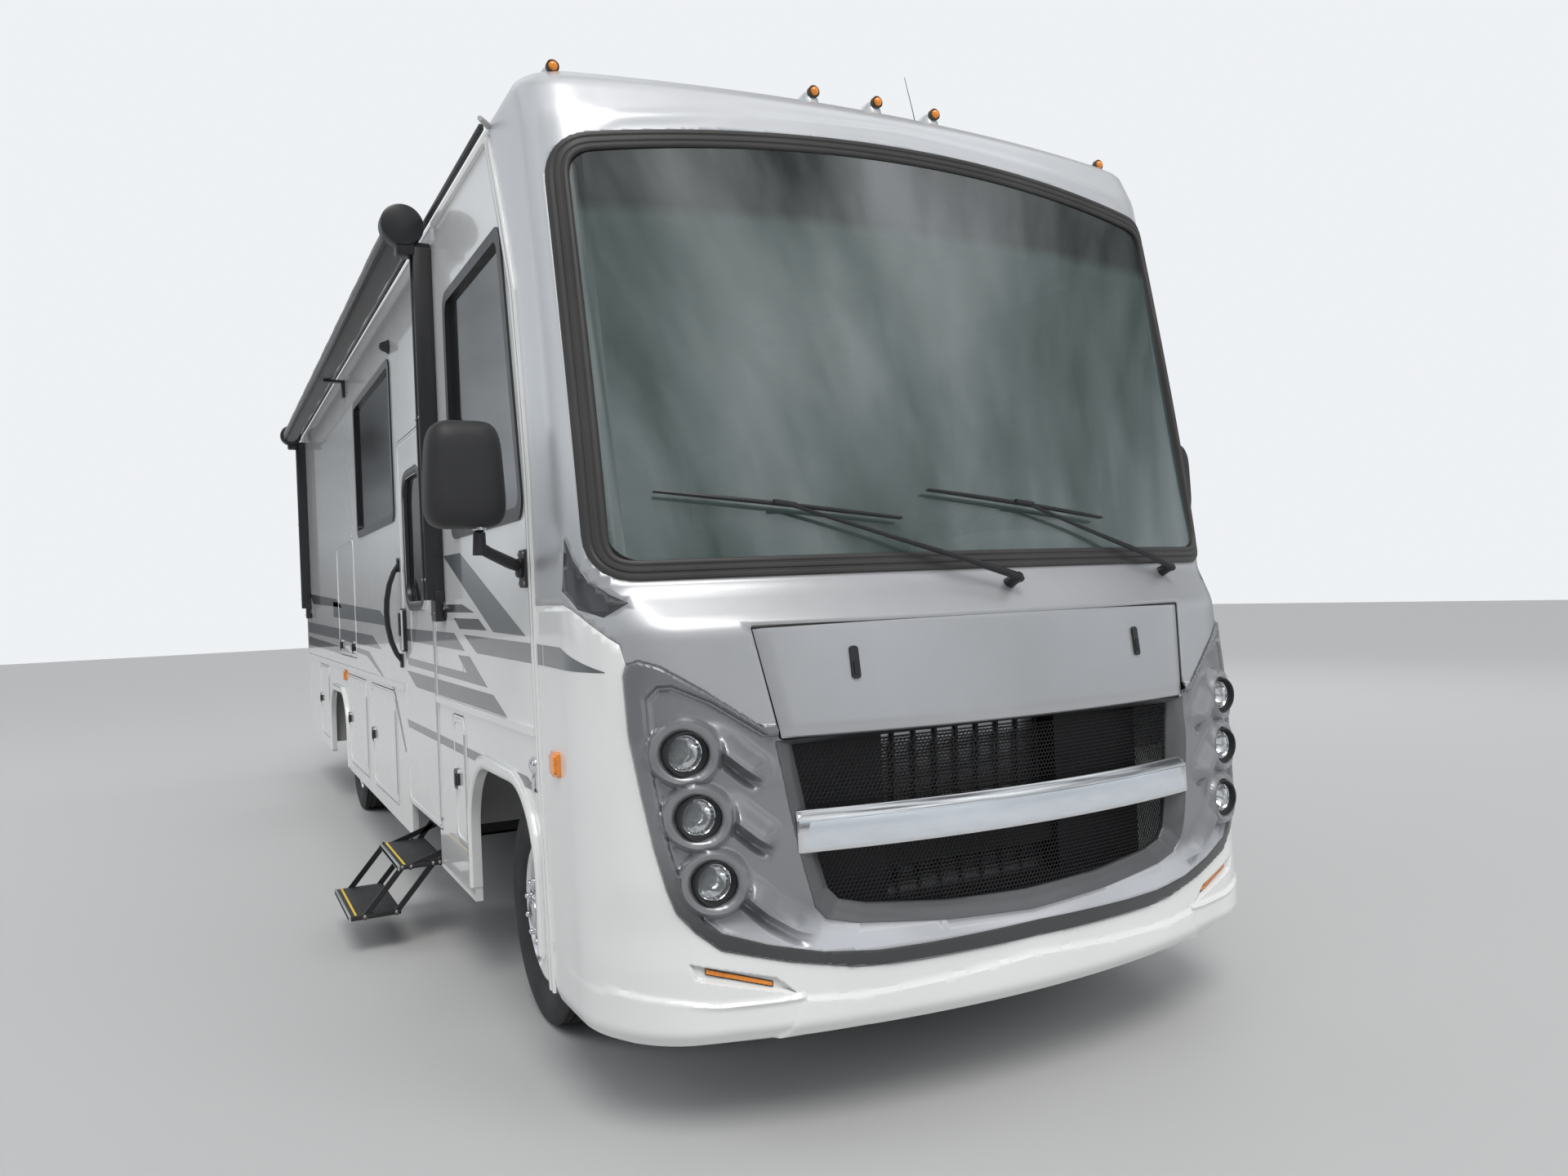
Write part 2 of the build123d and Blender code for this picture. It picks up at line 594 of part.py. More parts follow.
def roof():
    depth = BODY_LENGTH - REAR_RADIUS - ROOF_FRONT
    shell = extrude(Plane.XZ.offset(-(ROOF_FRONT + depth)) * roof_profile(0), amount=depth)
    hollow = extrude(Plane.XZ.offset(-(ROOF_FRONT + depth + 1)) * roof_profile(ROOF_THICK), amount=depth + 2)
    return shell - hollow


parts["roof"] = roof()

# Rooftop units: two air conditioners and two covered vents
# columns: middle y, half width, half length, height, corner radius
ROOF_UNITS = [
    (3300.0, 340.0, 480.0, 320.0, 90.0),
    (7300.0, 340.0, 480.0, 320.0, 90.0),
    (5300.0, 260.0, 240.0, 150.0, 60.0),
    (8500.0, 260.0, 240.0, 150.0, 60.0),
]


def roof_units():
    units = []
    for y, half_x, half_y, height, corner in ROOF_UNITS:
        base = Pos(0, y, ROOF_TOP + SEAT_GAP) * RectangleRounded(half_x * 2, half_y * 2, corner)
        top = Pos(0, y, ROOF_TOP + height) * RectangleRounded(half_x * 1.6, half_y * 1.6, corner)
        units.append(loft([base, top], ruled=True))
    return loose(units)


parts["roof_units"] = roof_units()

# Rear cap: rounded corners and a window

def rear_cap():
    y0 = BODY_LENGTH - REAR_RADIUS
    shell = extrude(rear_outline(0, 0, y0), amount=ROOF_TOP)
    shell -= extrude(rear_outline(WALL, -1, y0 - 1), amount=ROOF_TOP - ROOF_THICK)
    keep = extrude(Plane.XZ.offset(-BODY_LENGTH - 1) * make_face(Polyline(
        (-HALF - 1, REAR_LOW), (HALF + 1, REAR_LOW), (HALF + 1, WALL_TOP),
        *[(x, z) for x, z in ROOF_EDGE[1:]], *[(-x, z) for x, z in reversed(ROOF_EDGE[1:])],
        (-HALF - 1, WALL_TOP), close=True)), amount=REAR_RADIUS + 2)
    shell &= keep
    shell -= front_prism([(-520, 2240), (520, 2240), (520, 2760), (-520, 2760)], y0 - 2, BODY_LENGTH + 2, WINDOW_RADIUS)
    return shell


parts["rear_cap"] = rear_cap()

# Openings of the front cap, seen from ahead
HOOD_OUTLINE = [(-787.0, 1156.0), (787.0, 1156.0), (840.0, 1476.0), (-840.0, 1476.0)]
GRILLE_TOP = (775.0, 1144.0)
GRILLE_LOW = (700.0, 655.0)
GRILLE_SAG = 45.0
SHIELD_LOW = (1238.0, 1626.0)
SHIELD_TOP = (1246.0, 3012.0)
SHIELD_CROWN = 3104.0
SEAL_WIDTH = 55.0
HOOD_THICK = 20.0
HOOD_AXIS = (30.0, 1156.0)
HOOD_LUG = (60.0, 130.0)
HINGE_RADIUS = 5.0


def shield_prism(inset, y0, y1):
    """Windscreen outline: straight sill, leaning posts and an arched head."""
    low_x, low_z = SHIELD_LOW
    top_x, top_z = SHIELD_TOP
    low_x, top_x, low_z, top_z = low_x - inset, top_x - inset, low_z + inset, top_z - inset
    face = make_face([
        Line((-low_x, low_z), (low_x, low_z)),
        Line((low_x, low_z), (top_x, top_z)),
        ThreePointArc((top_x, top_z), (0, SHIELD_CROWN - inset), (-top_x, top_z)),
        Line((-top_x, top_z), (-low_x, low_z)),
    ])
    face = fillet(face.vertices(), 150 - inset)
    return extrude(Plane.XZ.offset(-y1) * face, amount=y1 - y0)


def grille_prism(inset, y0, y1):
    """Grille outline: narrower and sagging at the bottom."""
    top_x, top_z = GRILLE_TOP
    low_x, low_z = GRILLE_LOW
    top_x, top_z, low_x, low_z = top_x - inset, top_z - inset, low_x - inset, low_z + inset
    face = make_face([
        Line((top_x, top_z), (-top_x, top_z)),
        Line((-top_x, top_z), (-low_x, low_z)),
        ThreePointArc((-low_x, low_z), (0, low_z - GRILLE_SAG), (low_x, low_z)),
        Line((low_x, low_z), (top_x, top_z)),
    ])
    return extrude(Plane.XZ.offset(-y1) * face, amount=y1 - y0)


def hood_prism(inset, y0, y1):
    low, _, top, _ = HOOD_OUTLINE
    low_x, low_z = -low[0] - inset, low[1] + inset
    top_x, top_z = top[0] - inset, top[1] - inset
    return front_prism([(-low_x, low_z), (low_x, low_z), (top_x, top_z), (-top_x, top_z)], y0, y1, 22)


def cap_layer(outer, inner, first, last):
    """Skin between two insets of the front, open behind."""
    return cap_solid(outer, CAP_BACK, first, last) - cap_solid(inner, CAP_BACK + 1, first, last)


# Headlamps, lowest last. columns: x, z
LAMPS = [(1047.0, 1122.0), (1022.0, 944.0), (991.0, 762.0)]
LAMP_RADIUS = 75.0
POD_RADIUS = 90.0
LAMP_PROUD = 24.0
LAMP_DEPTH = 110.0
SIGNAL_BOX = [(846.0, 452.0), (1038.0, 510.0), (1038.0, 534.0), (846.0, 476.0)]


def front_cap():
    shell = cap_solid(0, CAP_BACK)
    inner = []
    for index, level in enumerate(FRONT_LEVELS):
        drop = CAP_WALL if level[0] >= WALL_TOP - 10 else (1 if index == 0 else 0)
        inner.append(Pos(0, 0, -drop) * level_outline(level, CAP_WALL, CAP_BACK + 1))
    shell -= loft(inner, ruled=True)
    behind = [*SEAM, (ROOF_FRONT, ROOF_TOP + 50), (CAP_BACK + 2, ROOF_TOP + 50), (CAP_BACK + 2, 280)]
    shell -= side_prism(behind, -HALF - 1, HALF + 1)
    shell -= shield_prism(0, -50, 900)
    shell -= hood_prism(-DOOR_GAP, -50, 420)
    for sign in (-1, 1):
        for x, z in LAMPS:
            y = skin_y(x, z) - LAMP_PROUD
            shell += rod_y(y + 8, y + LAMP_DEPTH, sign * x, z, POD_RADIUS)
    shell -= grille_prism(0, -50, 420)
    for sign in (-1, 1):
        for x, z in LAMPS:
            y = skin_y(x, z) - LAMP_PROUD
            shell -= rod_y(y - 60, y + LAMP_DEPTH + 60, sign * x, z, LAMP_RADIUS + SEAT_GAP)
        signal = front_prism([(sign * x, z) for x, z in SIGNAL_BOX], 60, 420)
        shell -= signal
        shell += block(*sorted((sign * HOOD_LUG[0], sign * HOOD_LUG[1])), HOOD_AXIS[0] - 5, HOOD_AXIS[0] + 22,
                       GRILLE_TOP[1] + SEAT_GAP, HOOD_AXIS[1] - HINGE_RADIUS - SEAT_GAP)
    return shell


parts["front_cap"] = front_cap()

SEAL_PROUD = 8.0
GLASS_THICK = 8.0


def windshield_seal():
    skin = cap_layer(-SEAL_PROUD, CAP_WALL, 6, 7)
    return (skin & shield_prism(0, -50, 900)) - shield_prism(SEAL_WIDTH, -50, 900)


def windshield():
    skin = cap_layer(3, 3 + GLASS_THICK, 6, 7)
    return skin & shield_prism(SEAL_WIDTH, -50, 900)


parts["windshield_seal"] = windshield_seal()
parts["windshield"] = windshield()


def hood_panel():
    skin = cap_layer(0, HOOD_THICK, 3, 5)
    panel = skin & hood_prism(0, -50, 420)
    for sign in (-1, 1):
        y = skin_y(552, 1360)
        panel += block(sign * 552 - 13, sign * 552 + 13, y - 8, y + 16, 1312, 1408)
        panel += rod_x(*sorted((sign * HOOD_LUG[0], sign * HOOD_LUG[1])), *HOOD_AXIS, HINGE_RADIUS)
    return panel


parts["hood_panel"] = hood_panel()

SLATS = 9
BAR_LOW = 826.0
BAR_HIGH = 952.0


def grille():
    ring = cap_layer(12, 46, 2, 5) & grille_prism(SEAT_GAP, -50, 420)
    ring -= grille_prism(46, -50, 420)
    slats = cap_layer(34, 44, 2, 5) & grille_prism(20, -50, 420)
    bands = None
    for index in range(SLATS):
        z = 670 + index * (1110 - 670) / (SLATS - 1)
        band = block(-800, 800, -50, 420, z - 6, z + 6)
        bands = band if bands is None else bands + band
    for index in range(7):
        x = (index - 3) * 200
        bands += block(x - 6, x + 6, -50, 420, 600, 1140)
    ring += slats & bands
    bar_skin = cap_layer(-4, 40, 2, 5) & grille_prism(4, -50, 420)
    ring += bar_skin & block(-800, 800, -50, 420, BAR_LOW, BAR_HIGH)
    return ring


parts["grille"] = grille()


def headlamps():
    lamps = []
    for sign in (-1, 1):
        for x, z in LAMPS:
            y = skin_y(x, z) - LAMP_PROUD
            lamp = rod_y(y, y + LAMP_DEPTH, sign * x, z, LAMP_RADIUS)
            lamp -= Pos(sign * x, y, z) * Rot(90, 0, 0) * Cone(44, 66, 36)
            lamp += Pos(sign * x, y + 16, z) * Rot(90, 0, 0) * Cylinder(45, 14)
            lamps.append(lamp)
    return loose(lamps)


parts["headlamps"] = headlamps()

# Marker lamps: columns x, y, z of the lens on the brow
BROW_LAMPS = [(0.0, 736.0, 3322.0), (258.0, 744.0, 3321.0), (1160.0, 850.0, 3300.0)]


def marker_lamps():
    lamps = []
    skin = cap_solid(-SEAT_GAP, CAP_BACK)
    for x, y, z in BROW_LAMPS:
        for sign in ((-1, 1) if x else (1,)):
            housing = Pos(sign * x, y + 60, z) * Rot(-90, 0, 0) * Cone(27, 9, 120)
            lamps.append(housing - skin)
    layer = cap_layer(-2, 14, 1, 2)
    for sign in (-1, 1):
        outline = [(sign * x, z) for x, z in SIGNAL_BOX]
        lamps.append(layer & front_prism(outline, 60, 420))
        for y, z in ((690.0, 1072.0), (6220.0, 1090.0)):
            face = HALF + SEAT_GAP
            lamps.append(side_panel(y - 34, y + 34, z - 20, z + 20, *sorted((sign * face, sign * (face + 14))), 8))
    for x in (-1000.0, -250.0, 0.0, 250.0, 1000.0):
        face = BODY_LENGTH + SEAT_GAP
        lamps.append(block(x - 40, x + 40, face, face + 12, 3120, 3150))
    return loose(lamps)


parts["marker_lamps"] = marker_lamps()


def tail_lamps():
    lamps = []
    for sign in (-1, 1):
        face = BODY_LENGTH + SEAT_GAP
        for z0, z1 in ((1240, 1420), (1430, 1610), (700, 760)):
            lamp = block(sign * 1040 - 60, sign * 1040 + 60, face, face + 14, z0, z1)
            lamps.append(fillet(lamp.edges().filter_by(Axis.Y), 12))
    return loose(lamps)


parts["tail_lamps"] = tail_lamps()

# Mirrors on arms from the side walls
MIRROR_HEAD = (1365.0, 1625.0, 790.0, 910.0, 1810.0, 2150.0)


def side_mirror():
    x0, x1, y0, y1, z0, z1 = MIRROR_HEAD
    head = block(*MIRROR_HEAD)
    head = fillet(head.edges(), 45)
    head -= block(x0 + 25, x1 - 25, y1 - 6, y1 + 1, z0 + 30, z1 - 30)
    plate = block(HALF + SEAT_GAP, HALF + 24, 930, 1010, 1625, 1745)
    arm = bar((HALF + 14, 960, 1680), (1440, 870, 1740), 20)
    arm += bar((1440, 870, 1732), (1455, 850, 1850), 22)
    return head + arm + plate


parts["side_mirrors"] = both_sides(side_mirror())

# Wipers: columns pivot x, pivot z, blade inner x, inner z, outer x, outer z
WIPERS = [(60.0, 1560.0, -300.0, 1790.0, -1040.0, 1880.0), (860.0, 1560.0, 540.0, 1780.0, -190.0, 1872.0)]


def wipers():
    sets = []
    skin = cap_solid(-SEAT_GAP, CAP_BACK, 5, 6)
    for pivot_x, pivot_z, x0, z0, x1, z1 in WIPERS:
        stand = 34
        foot_y = skin_y(pivot_x, pivot_z)
        mid_x, mid_z = (x0 + x1) / 2, (z0 + z1) / 2
        points = [(x0, z0), (mid_x, mid_z), (x1, z1)]
        spots = [(x, skin_y(x, z) - stand, z) for x, z in points]
        blade = bar(spots[0], spots[1], 8) + bar(spots[1], spots[2], 8)
        foot = bar((pivot_x, foot_y - 56, pivot_z), (pivot_x, foot_y + 30, pivot_z), 20) - skin
        arm = bar((pivot_x, foot_y - 46, pivot_z), spots[1], 10)
        sets.append(blade + foot + arm)
    return loose(sets)


parts["wipers"] = wipers()

# Window frames and panes along the walls and in the rear
FRAME_PROUD = 8.0


def inset_points(points, inset):
    """Corners of a convex four-sided outline moved inwards, bottom and front first."""
    (y0, z0), (y1, z1), (y2, z2), (y3, z3) = points
    return [(y0 + inset, z0 + inset), (y1 - inset, z1 + inset), (y2 - inset, z2 - inset), (y3 + inset, z3 - inset)]


def window_ring(points, x0, x1):
    outer = side_prism(inset_points(points, SEAT_GAP), x0, x1, WINDOW_RADIUS)
    return outer - side_prism(inset_points(points, FRAME_WIDTH), x0 - 1, x1 + 1, WINDOW_RADIUS - 20)


def window_pane(points, x0, x1):
    return side_prism(inset_points(points, FRAME_WIDTH + SEAT_GAP), x0, x1, WINDOW_RADIUS - 20)


def rectangle(y0, y1, z0, z1):
    return [(y0, z0), (y1, z0), (y1, z1), (y0, z1)]


def window_frames():
    ring = window_ring(CAB_WINDOW, HALF - WALL, HALF + FRAME_PROUD)
    rings = [ring, mirror_x(ring)]
    for side, y0, y1, z0, z1 in WALL_WINDOWS:
        ring = window_ring(rectangle(y0, y1, z0, z1), HALF - WALL, HALF + FRAME_PROUD)
        rings.append(ring if side > 0 else mirror_x(ring))
    y0 = BODY_LENGTH - WALL
    outer = front_prism([(-519.7, 2240.3), (519.7, 2240.3), (519.7, 2759.7), (-519.7, 2759.7)], y0,
                        BODY_LENGTH + FRAME_PROUD, WINDOW_RADIUS)
    rings.append(outer - front_prism([(-475, 2285), (475, 2285), (475, 2715), (-475, 2715)], y0 - 1,
                                     BODY_LENGTH + FRAME_PROUD + 1, WINDOW_RADIUS - 20))
    return loose(rings)


def window_glass():
    pane = window_pane(CAB_WINDOW, HALF - 20, HALF - 12)
    panes = [pane, mirror_x(pane)]
    for side, y0, y1, z0, z1 in WALL_WINDOWS:
        pane = window_pane(rectangle(y0, y1, z0, z1), HALF - 20, HALF - 12)
        panes.append(pane if side > 0 else mirror_x(pane))
    y0 = BODY_LENGTH - 20
    panes.append(front_prism([(-474.7, 2285.3), (474.7, 2285.3), (474.7, 2714.7), (-474.7, 2714.7)], y0, y0 + 8,
                             WINDOW_RADIUS - 20))
    return loose(panes)


parts["window_frames"] = window_frames()
parts["window_glass"] = window_glass()

# Awning on the curb side: two arms on the wall carry the roll
AWNING_ARMS = (2400.0, 8850.0)
ARM_WIDTH = 90.0
ARM_DEPTH = 78.0
ARM_LOW = 1600.0
ROLL_X = HALF + 118.0
ROLL_Z = 3235.0
ROLL_RADIUS = 66.0


def awning_frame():
    pieces = []
    face = HALF + SEAT_GAP
    for y, out in zip(AWNING_ARMS, (-1, 1)):
        arm = block(face, face + ARM_DEPTH, y - ARM_WIDTH / 2, y + ARM_WIDTH / 2, ARM_LOW, ROLL_Z - 90)
        arm -= block(face + 20, face + ARM_DEPTH + 1, y - 20, y + 20, ARM_LOW + 60, ROLL_Z - 200)
        foot = block(face, face + 40, y - 30, y + 30, ARM_LOW - 90, ARM_LOW)
        head = rod_y(*sorted((y - out * 40, y + out * 60)), ROLL_X, ROLL_Z, 92)
        link = block(face, ROLL_X, y - 36, y + 36, ROLL_Z - 120, ROLL_Z - 60)
        pieces.append(mirror_x(arm + foot + head + link))
    middle = sum(AWNING_ARMS) / 2
    cradle = block(face, ROLL_X + 20, middle - 30, middle + 30, ROLL_Z - ROLL_RADIUS - 22, ROLL_Z - ROLL_RADIUS - SEAT_GAP)
    cradle += block(face, face + 20, middle - 30, middle + 30, ROLL_Z - 190, ROLL_Z - ROLL_RADIUS - 10)
    pieces.append(mirror_x(cradle))
    return loose(pieces)


def awning_roll():
    y0 = AWNING_ARMS[0] + 40 + SEAT_GAP
    y1 = AWNING_ARMS[1] - 40 - SEAT_GAP
    return mirror_x(rod_y(y0, y1, ROLL_X, ROLL_Z, ROLL_RADIUS))


parts["awning_frame"] = awning_frame()
parts["awning_roll"] = awning_roll()

# Entry steps, lowered: an upper and a lower tread on side links under the step well
STEP_Y = (2740.0, 3330.0)
# columns: outer distance from the centre plane, inner distance, top height
TREADS = [(1470.0, 1250.0, 385.0), (1690.0, 1462.0, 185.0)]
TREAD_THICK = 24.0
HOUSING = (860.0, 1230.0, 478.0)


def entry_steps():
    y0, y1 = STEP_Y
    low = HOUSING[2]
    top = ENTRY_DOOR[3] - SEAT_GAP
    steps = block(HOUSING[0], HOUSING[1], y0 - 40, y1 + 40, low, low + 14)
    for y in (y0 - 40, y1 + 26):
        steps += block(HOUSING[0], HOUSING[1], y, y + 14, low, top)
    for outer, inner, z in TREADS:
        steps += block(inner, outer, y0, y1, z - TREAD_THICK, z)
    for y in (y0 + 8, y1 - 8):
        (outer_1, inner_1, z1), (outer_2, inner_2, z2) = TREADS
        steps += bar((HOUSING[1] - 40, y, low + 8), (inner_1 + 30, y, z1 - 12), 9)
        steps += bar((HOUSING[1] - 160, y, low + 8), (outer_1 - 60, y, z1 - 14), 9)
        steps += bar((inner_1 + 60, y, z1 - 12), (inner_2 + 20, y, z2 - 12), 9)
        steps += bar((outer_1 - 20, y, z1 - 12), (outer_2 - 70, y, z2 - 12), 9)
    return mirror_x(steps)


parts["entry_steps"] = entry_steps()

# Trim: rub rails, wheel arch mouldings, roof gutters and the fixed leaves of the door hinges
RAIL_PROUD = 12.0
RAIL_HALF = 15.0
LEAF_PROUD = 3.5
LEAF_REACH = 28.0


def body_trim():
    face = HALF + SEAT_GAP
    pieces = []
    runs = {
        -1: [(915.0, ENTRY_DOOR[1] - 20), (ENTRY_DOOR[2] + 20, BODY_LENGTH - REAR_RADIUS - 10)],
        1: [(915.0, BODY_LENGTH - REAR_RADIUS - 10)],
    }
    for sign, spans in runs.items():
        for y0, y1 in spans:
            rail = block(face, face + RAIL_PROUD, y0, y1, RAIL_Z - RAIL_HALF, RAIL_Z + RAIL_HALF)
            pieces.append(rail if sign > 0 else mirror_x(rail))
    for axle_y, half in ((FRONT_AXLE_Y, ARCH_HALF), (REAR_AXLE_Y, REAR_ARCH_HALF)):
        ring = arch_prism(axle_y, half, face, face + RAIL_PROUD, 48) - arch_prism(axle_y, half, face - 1, HALF + 40, 2)
        ring -= block(face - 1, HALF + 40, axle_y - 800, axle_y + 800, 100, SKIRT_Z + 60)
        pieces += [ring, mirror_x(ring)]
    gutter = block(face, face + 16, ROOF_FRONT + 20, BODY_LENGTH - REAR_RADIUS - 10, WALL_TOP - 36, WALL_TOP - 12)
    pieces.append(gutter)
    front = block(face, face + 16, ROOF_FRONT + 20, AWNING_ARMS[0] - 140, WALL_TOP - 36, WALL_TOP - 12)
    pieces.append(mirror_x(front))
    for rows, sign in (([*CURB_DOORS, ENTRY_DOOR], -1), (ROAD_DOORS, 1)):
        for _, y0, _, z0, z1 in rows:
            leaf = block(face, face + LEAF_PROUD, y0 - LEAF_REACH, y0 - SEAT_GAP, z0 + 60, z1 - 60)
            pieces.append(leaf if sign > 0 else mirror_x(leaf))
    _, y0, y1, _, z1 = MEDIA_DOOR
    pieces.append(mirror_x(block(face, face + LEAF_PROUD, y0 + 60, y1 - 60, z1 + SEAT_GAP, z1 + LEAF_REACH)))
    return loose(pieces)


parts["body_trim"] = body_trim()

# Dashboard, seats and the cabin furniture that shows through the glass
DASH_REAR = 960.0
DASH_TOP = 1590.0


# The steering column leans forward below the wheel
COLUMN_TOP = (560.0, 1080.0, 1740.0)
COLUMN_TILT = 40.0
COLUMN_STUB = 130.0
COLUMN_RADIUS = 20.0
WHEEL_RADIUS = 225.0
COLUMN_PLACE = Pos(*COLUMN_TOP) * Rot(-COLUMN_TILT, 0, 0)


def dashboard():
    column = COLUMN_PLACE * (Pos(0, 0, -190) * Cylinder(36, 200) - Pos(0, 0, -115) * Cylinder(COLUMN_RADIUS + 0.5, 70))
    slab = cap_solid(CAP_WALL + 4, CAP_BACK, 5, 6) & block(-1225, 1225, 0, DASH_REAR, 1501, DASH_TOP)
    front = block(-1180, 1180, FIREWALL_Y + 20 + SEAT_GAP, 800, 1330, 1501)
    return slab + front + column


parts["dashboard"] = dashboard()

SEAT_X = 640.0
SEAT_Y = 1500.0


def cab_seat(x):
    pedestal = block(x - 170, x + 170, SEAT_Y - 150, SEAT_Y + 200, FLOOR_Z + SEAT_GAP, 1330)
    cushion = block(x - 255, x + 255, SEAT_Y - 260, SEAT_Y + 250, 1330, 1470)
    back = side_prism([(SEAT_Y + 200, 1470), (SEAT_Y + 330, 1470), (SEAT_Y + 450, 2180), (SEAT_Y + 330, 2180)],
                      x - 245, x + 245)
    back += block(x - 255, x + 255, SEAT_Y + 190, SEAT_Y + 330, 1400, 1475)
    return pedestal + cushion + back


parts["cab_seats"] = loose([cab_seat(-SEAT_X), cab_seat(SEAT_X)])

GALLEY = (650.0, 3680.0, 5420.0, 1890.0)
PARTITION_Y = 6250.0


def cabin_furniture():
    side = HALF - WALL - SEAT_GAP
    x0, y0, y1, top = GALLEY
    galley = mirror_x(block(x0, side, y0, y1, FLOOR_Z + SEAT_GAP, top))
    partition = block(-side, side, PARTITION_Y, PARTITION_Y + 35, FLOOR_Z + SEAT_GAP, 3170)
    partition -= block(-320, 320, PARTITION_Y - 1, PARTITION_Y + 36, FLOOR_Z - 1, 2900)
    return loose([galley, partition])


parts["cabin_furniture"] = cabin_furniture()

# Steering knuckles: fork, kingpin, spindle and brake caliper
FORK_NEAR = EYE_HALF + 8
FORK_FAR = 70.0
WEB_X = KINGPIN_X + EYE_RADIUS + 6
ROTOR_X = (1000.0, 1030.0)
ROTOR_RADIUS = 185.0
SPINDLE_RADIUS = 30.0
HUB_BORE_GAP = 0.3
FLANGE_X = 92.0


def knuckle():
    y = FRONT_AXLE_Y
    body = block(WEB_X, WEB_X + 16, y - 55, y + 55, HUB_Z - FORK_FAR, HUB_Z + FORK_FAR)
    for z0, z1 in ((HUB_Z + FORK_NEAR, HUB_Z + FORK_FAR), (HUB_Z - FORK_FAR, HUB_Z - FORK_NEAR)):
        body += block(KINGPIN_X - 35, WEB_X + 4, y - 42, y + 42, z0, z1)
    body += rod_z(HUB_Z - FORK_FAR - 8, HUB_Z + FORK_FAR + 8, KINGPIN_X, y, KINGPIN_RADIUS)
    body += rod_x(WEB_X + 8, 1104, y, HUB_Z, SPINDLE_RADIUS)
    caliper = block(WEB_X + 10, 1052, y + 118, y + 208, HUB_Z - 70, HUB_Z + 70)
    caliper -= rod_x(ROTOR_X[0] - 5, ROTOR_X[1] + 5, y, HUB_Z, ROTOR_RADIUS + 7)
    bracket = block(WEB_X, WEB_X + 12, y + 40, y + 205, HUB_Z - 50, HUB_Z + 50)
    return body + caliper + bracket


parts["knuckle_left"] = knuckle()
parts["knuckle_right"] = mirror_x(parts["knuckle_left"])


def tyre():
    """Closed tyre ring around the middle of its wheel."""
    half_bead = 82.0
    bead_face = FLANGE_X - SEAT_GAP
    profile = make_face(Polyline(
        (-half_bead, BEAD_RADIUS + 2), (-bead_face, BEAD_RADIUS + 5), (-bead_face, 266),
        (-TYRE_WIDTH / 2 + 6, 300), (-TYRE_WIDTH / 2, 342), (-112, 390), (-100, 410), (-70, TYRE_RADIUS),
        (70, TYRE_RADIUS), (100, 410), (112, 390), (TYRE_WIDTH / 2, 342), (TYRE_WIDTH / 2 - 6, 300),
        (bead_face, 266), (bead_face, BEAD_RADIUS + 5), (half_bead, BEAD_RADIUS + 2), close=True))
    return revolve(profile, Axis.X)


def rim(face_x, side):
    """Wheel: barrel and dished disc, its mounting face at face_x and bulging towards side."""
    barrel = [(-98, 262), (-98, 254), (-86, 240), (86, 240), (98, 254), (98, 262), (FLANGE_X, 262),
              (FLANGE_X, BEAD_RADIUS + 3), (82, BEAD_RADIUS), (-82, BEAD_RADIUS), (-FLANGE_X, BEAD_RADIUS + 3),
              (-FLANGE_X, 262)]
    shape = revolve(make_face(Polyline(*barrel, close=True)), Axis.X)
    edge = face_x - side * 45
    disc = [(edge, 244), (face_x - side * 14, 200), (face_x, 165), (face_x, 70), (face_x - side * 12, 70),
            (face_x - side * 12, 158), (face_x - side * 28, 194), (edge - side * 14, 241)]
    shape += revolve(make_face(Polyline(*disc, close=True)), Axis.X)
    for index in range(STUDS):
        angle = 360 / STUDS * (index + 0.5)
        hole = Rot(angle, 0, 0) * Pos(face_x - side * 10, 0, 192) * Rot(0, 90, 0) * Cylinder(17, 60)
        shape -= hole
    return shape


def studs(x, side):
    nuts = None
    for index in range(STUDS):
        nut = Rot(360 / STUDS * index, 0, 0) * Pos(x, 0, STUD_CIRCLE) * Rot(0, 90 * side, 0) * Cone(16, 9, 44)
        nuts = nut if nuts is None else nuts + nut
    return nuts


FRONT_FACE = 94.0


def front_wheel():
    place = Pos(0, FRONT_AXLE_Y, HUB_Z)
    centre = FRONT_TYRE_X
    wheel = Pos(centre, 0, 0) * rim(FRONT_FACE, 1)
    wheel += Pos(centre, 0, 0) * studs(FRONT_FACE + 18, 1)
    hub = rod_x(ROTOR_X[0], ROTOR_X[1], 0, 0, ROTOR_RADIUS)
    hub += rod_x(ROTOR_X[1], centre + FRONT_FACE - 2, 0, 0, 78)
    hub += Pos(centre + FRONT_FACE + 20, 0, 0) * Rot(0, 90, 0) * Cone(72, 52, 60)
    wheel += hub
    wheel -= rod_x(ROTOR_X[0] - 1, 1110, 0, 0, SPINDLE_RADIUS + HUB_BORE_GAP)
    return place * wheel


parts["front_wheel_left"] = front_wheel()
parts["front_wheel_right"] = mirror_x(parts["front_wheel_left"])
parts["front_tyre_left"] = Pos(FRONT_TYRE_X, FRONT_AXLE_Y, HUB_Z) * tyre()
parts["front_tyre_right"] = mirror_x(parts["front_tyre_left"])

# Twin rear wheels: the two discs meet back to back on the hub
REAR_FACE = DUAL_SPACING / 2
DRUM = (645.0, 780.0, 200.0)


def rear_wheels():
    place = Pos(0, REAR_AXLE_Y, HUB_Z)
    outer = Pos(REAR_OUTER_X, 0, 0) * rim(-REAR_FACE, -1)
    inner = Pos(REAR_INNER_X, 0, 0) * rim(REAR_FACE, 1)
    hub = rod_x(DRUM[0], DRUM[1], 0, 0, DRUM[2]) + rod_x(DRUM[1] - 1, 1000, 0, 0, 80)
    nuts = Pos(REAR_OUTER_X, 0, 0) * studs(-REAR_FACE + 30, 1)
    wheel = outer + inner + hub + nuts
    wheel -= rod_x(DRUM[0] - 1, 740, 0, 0, 40 + HUB_BORE_GAP)
    return place * wheel


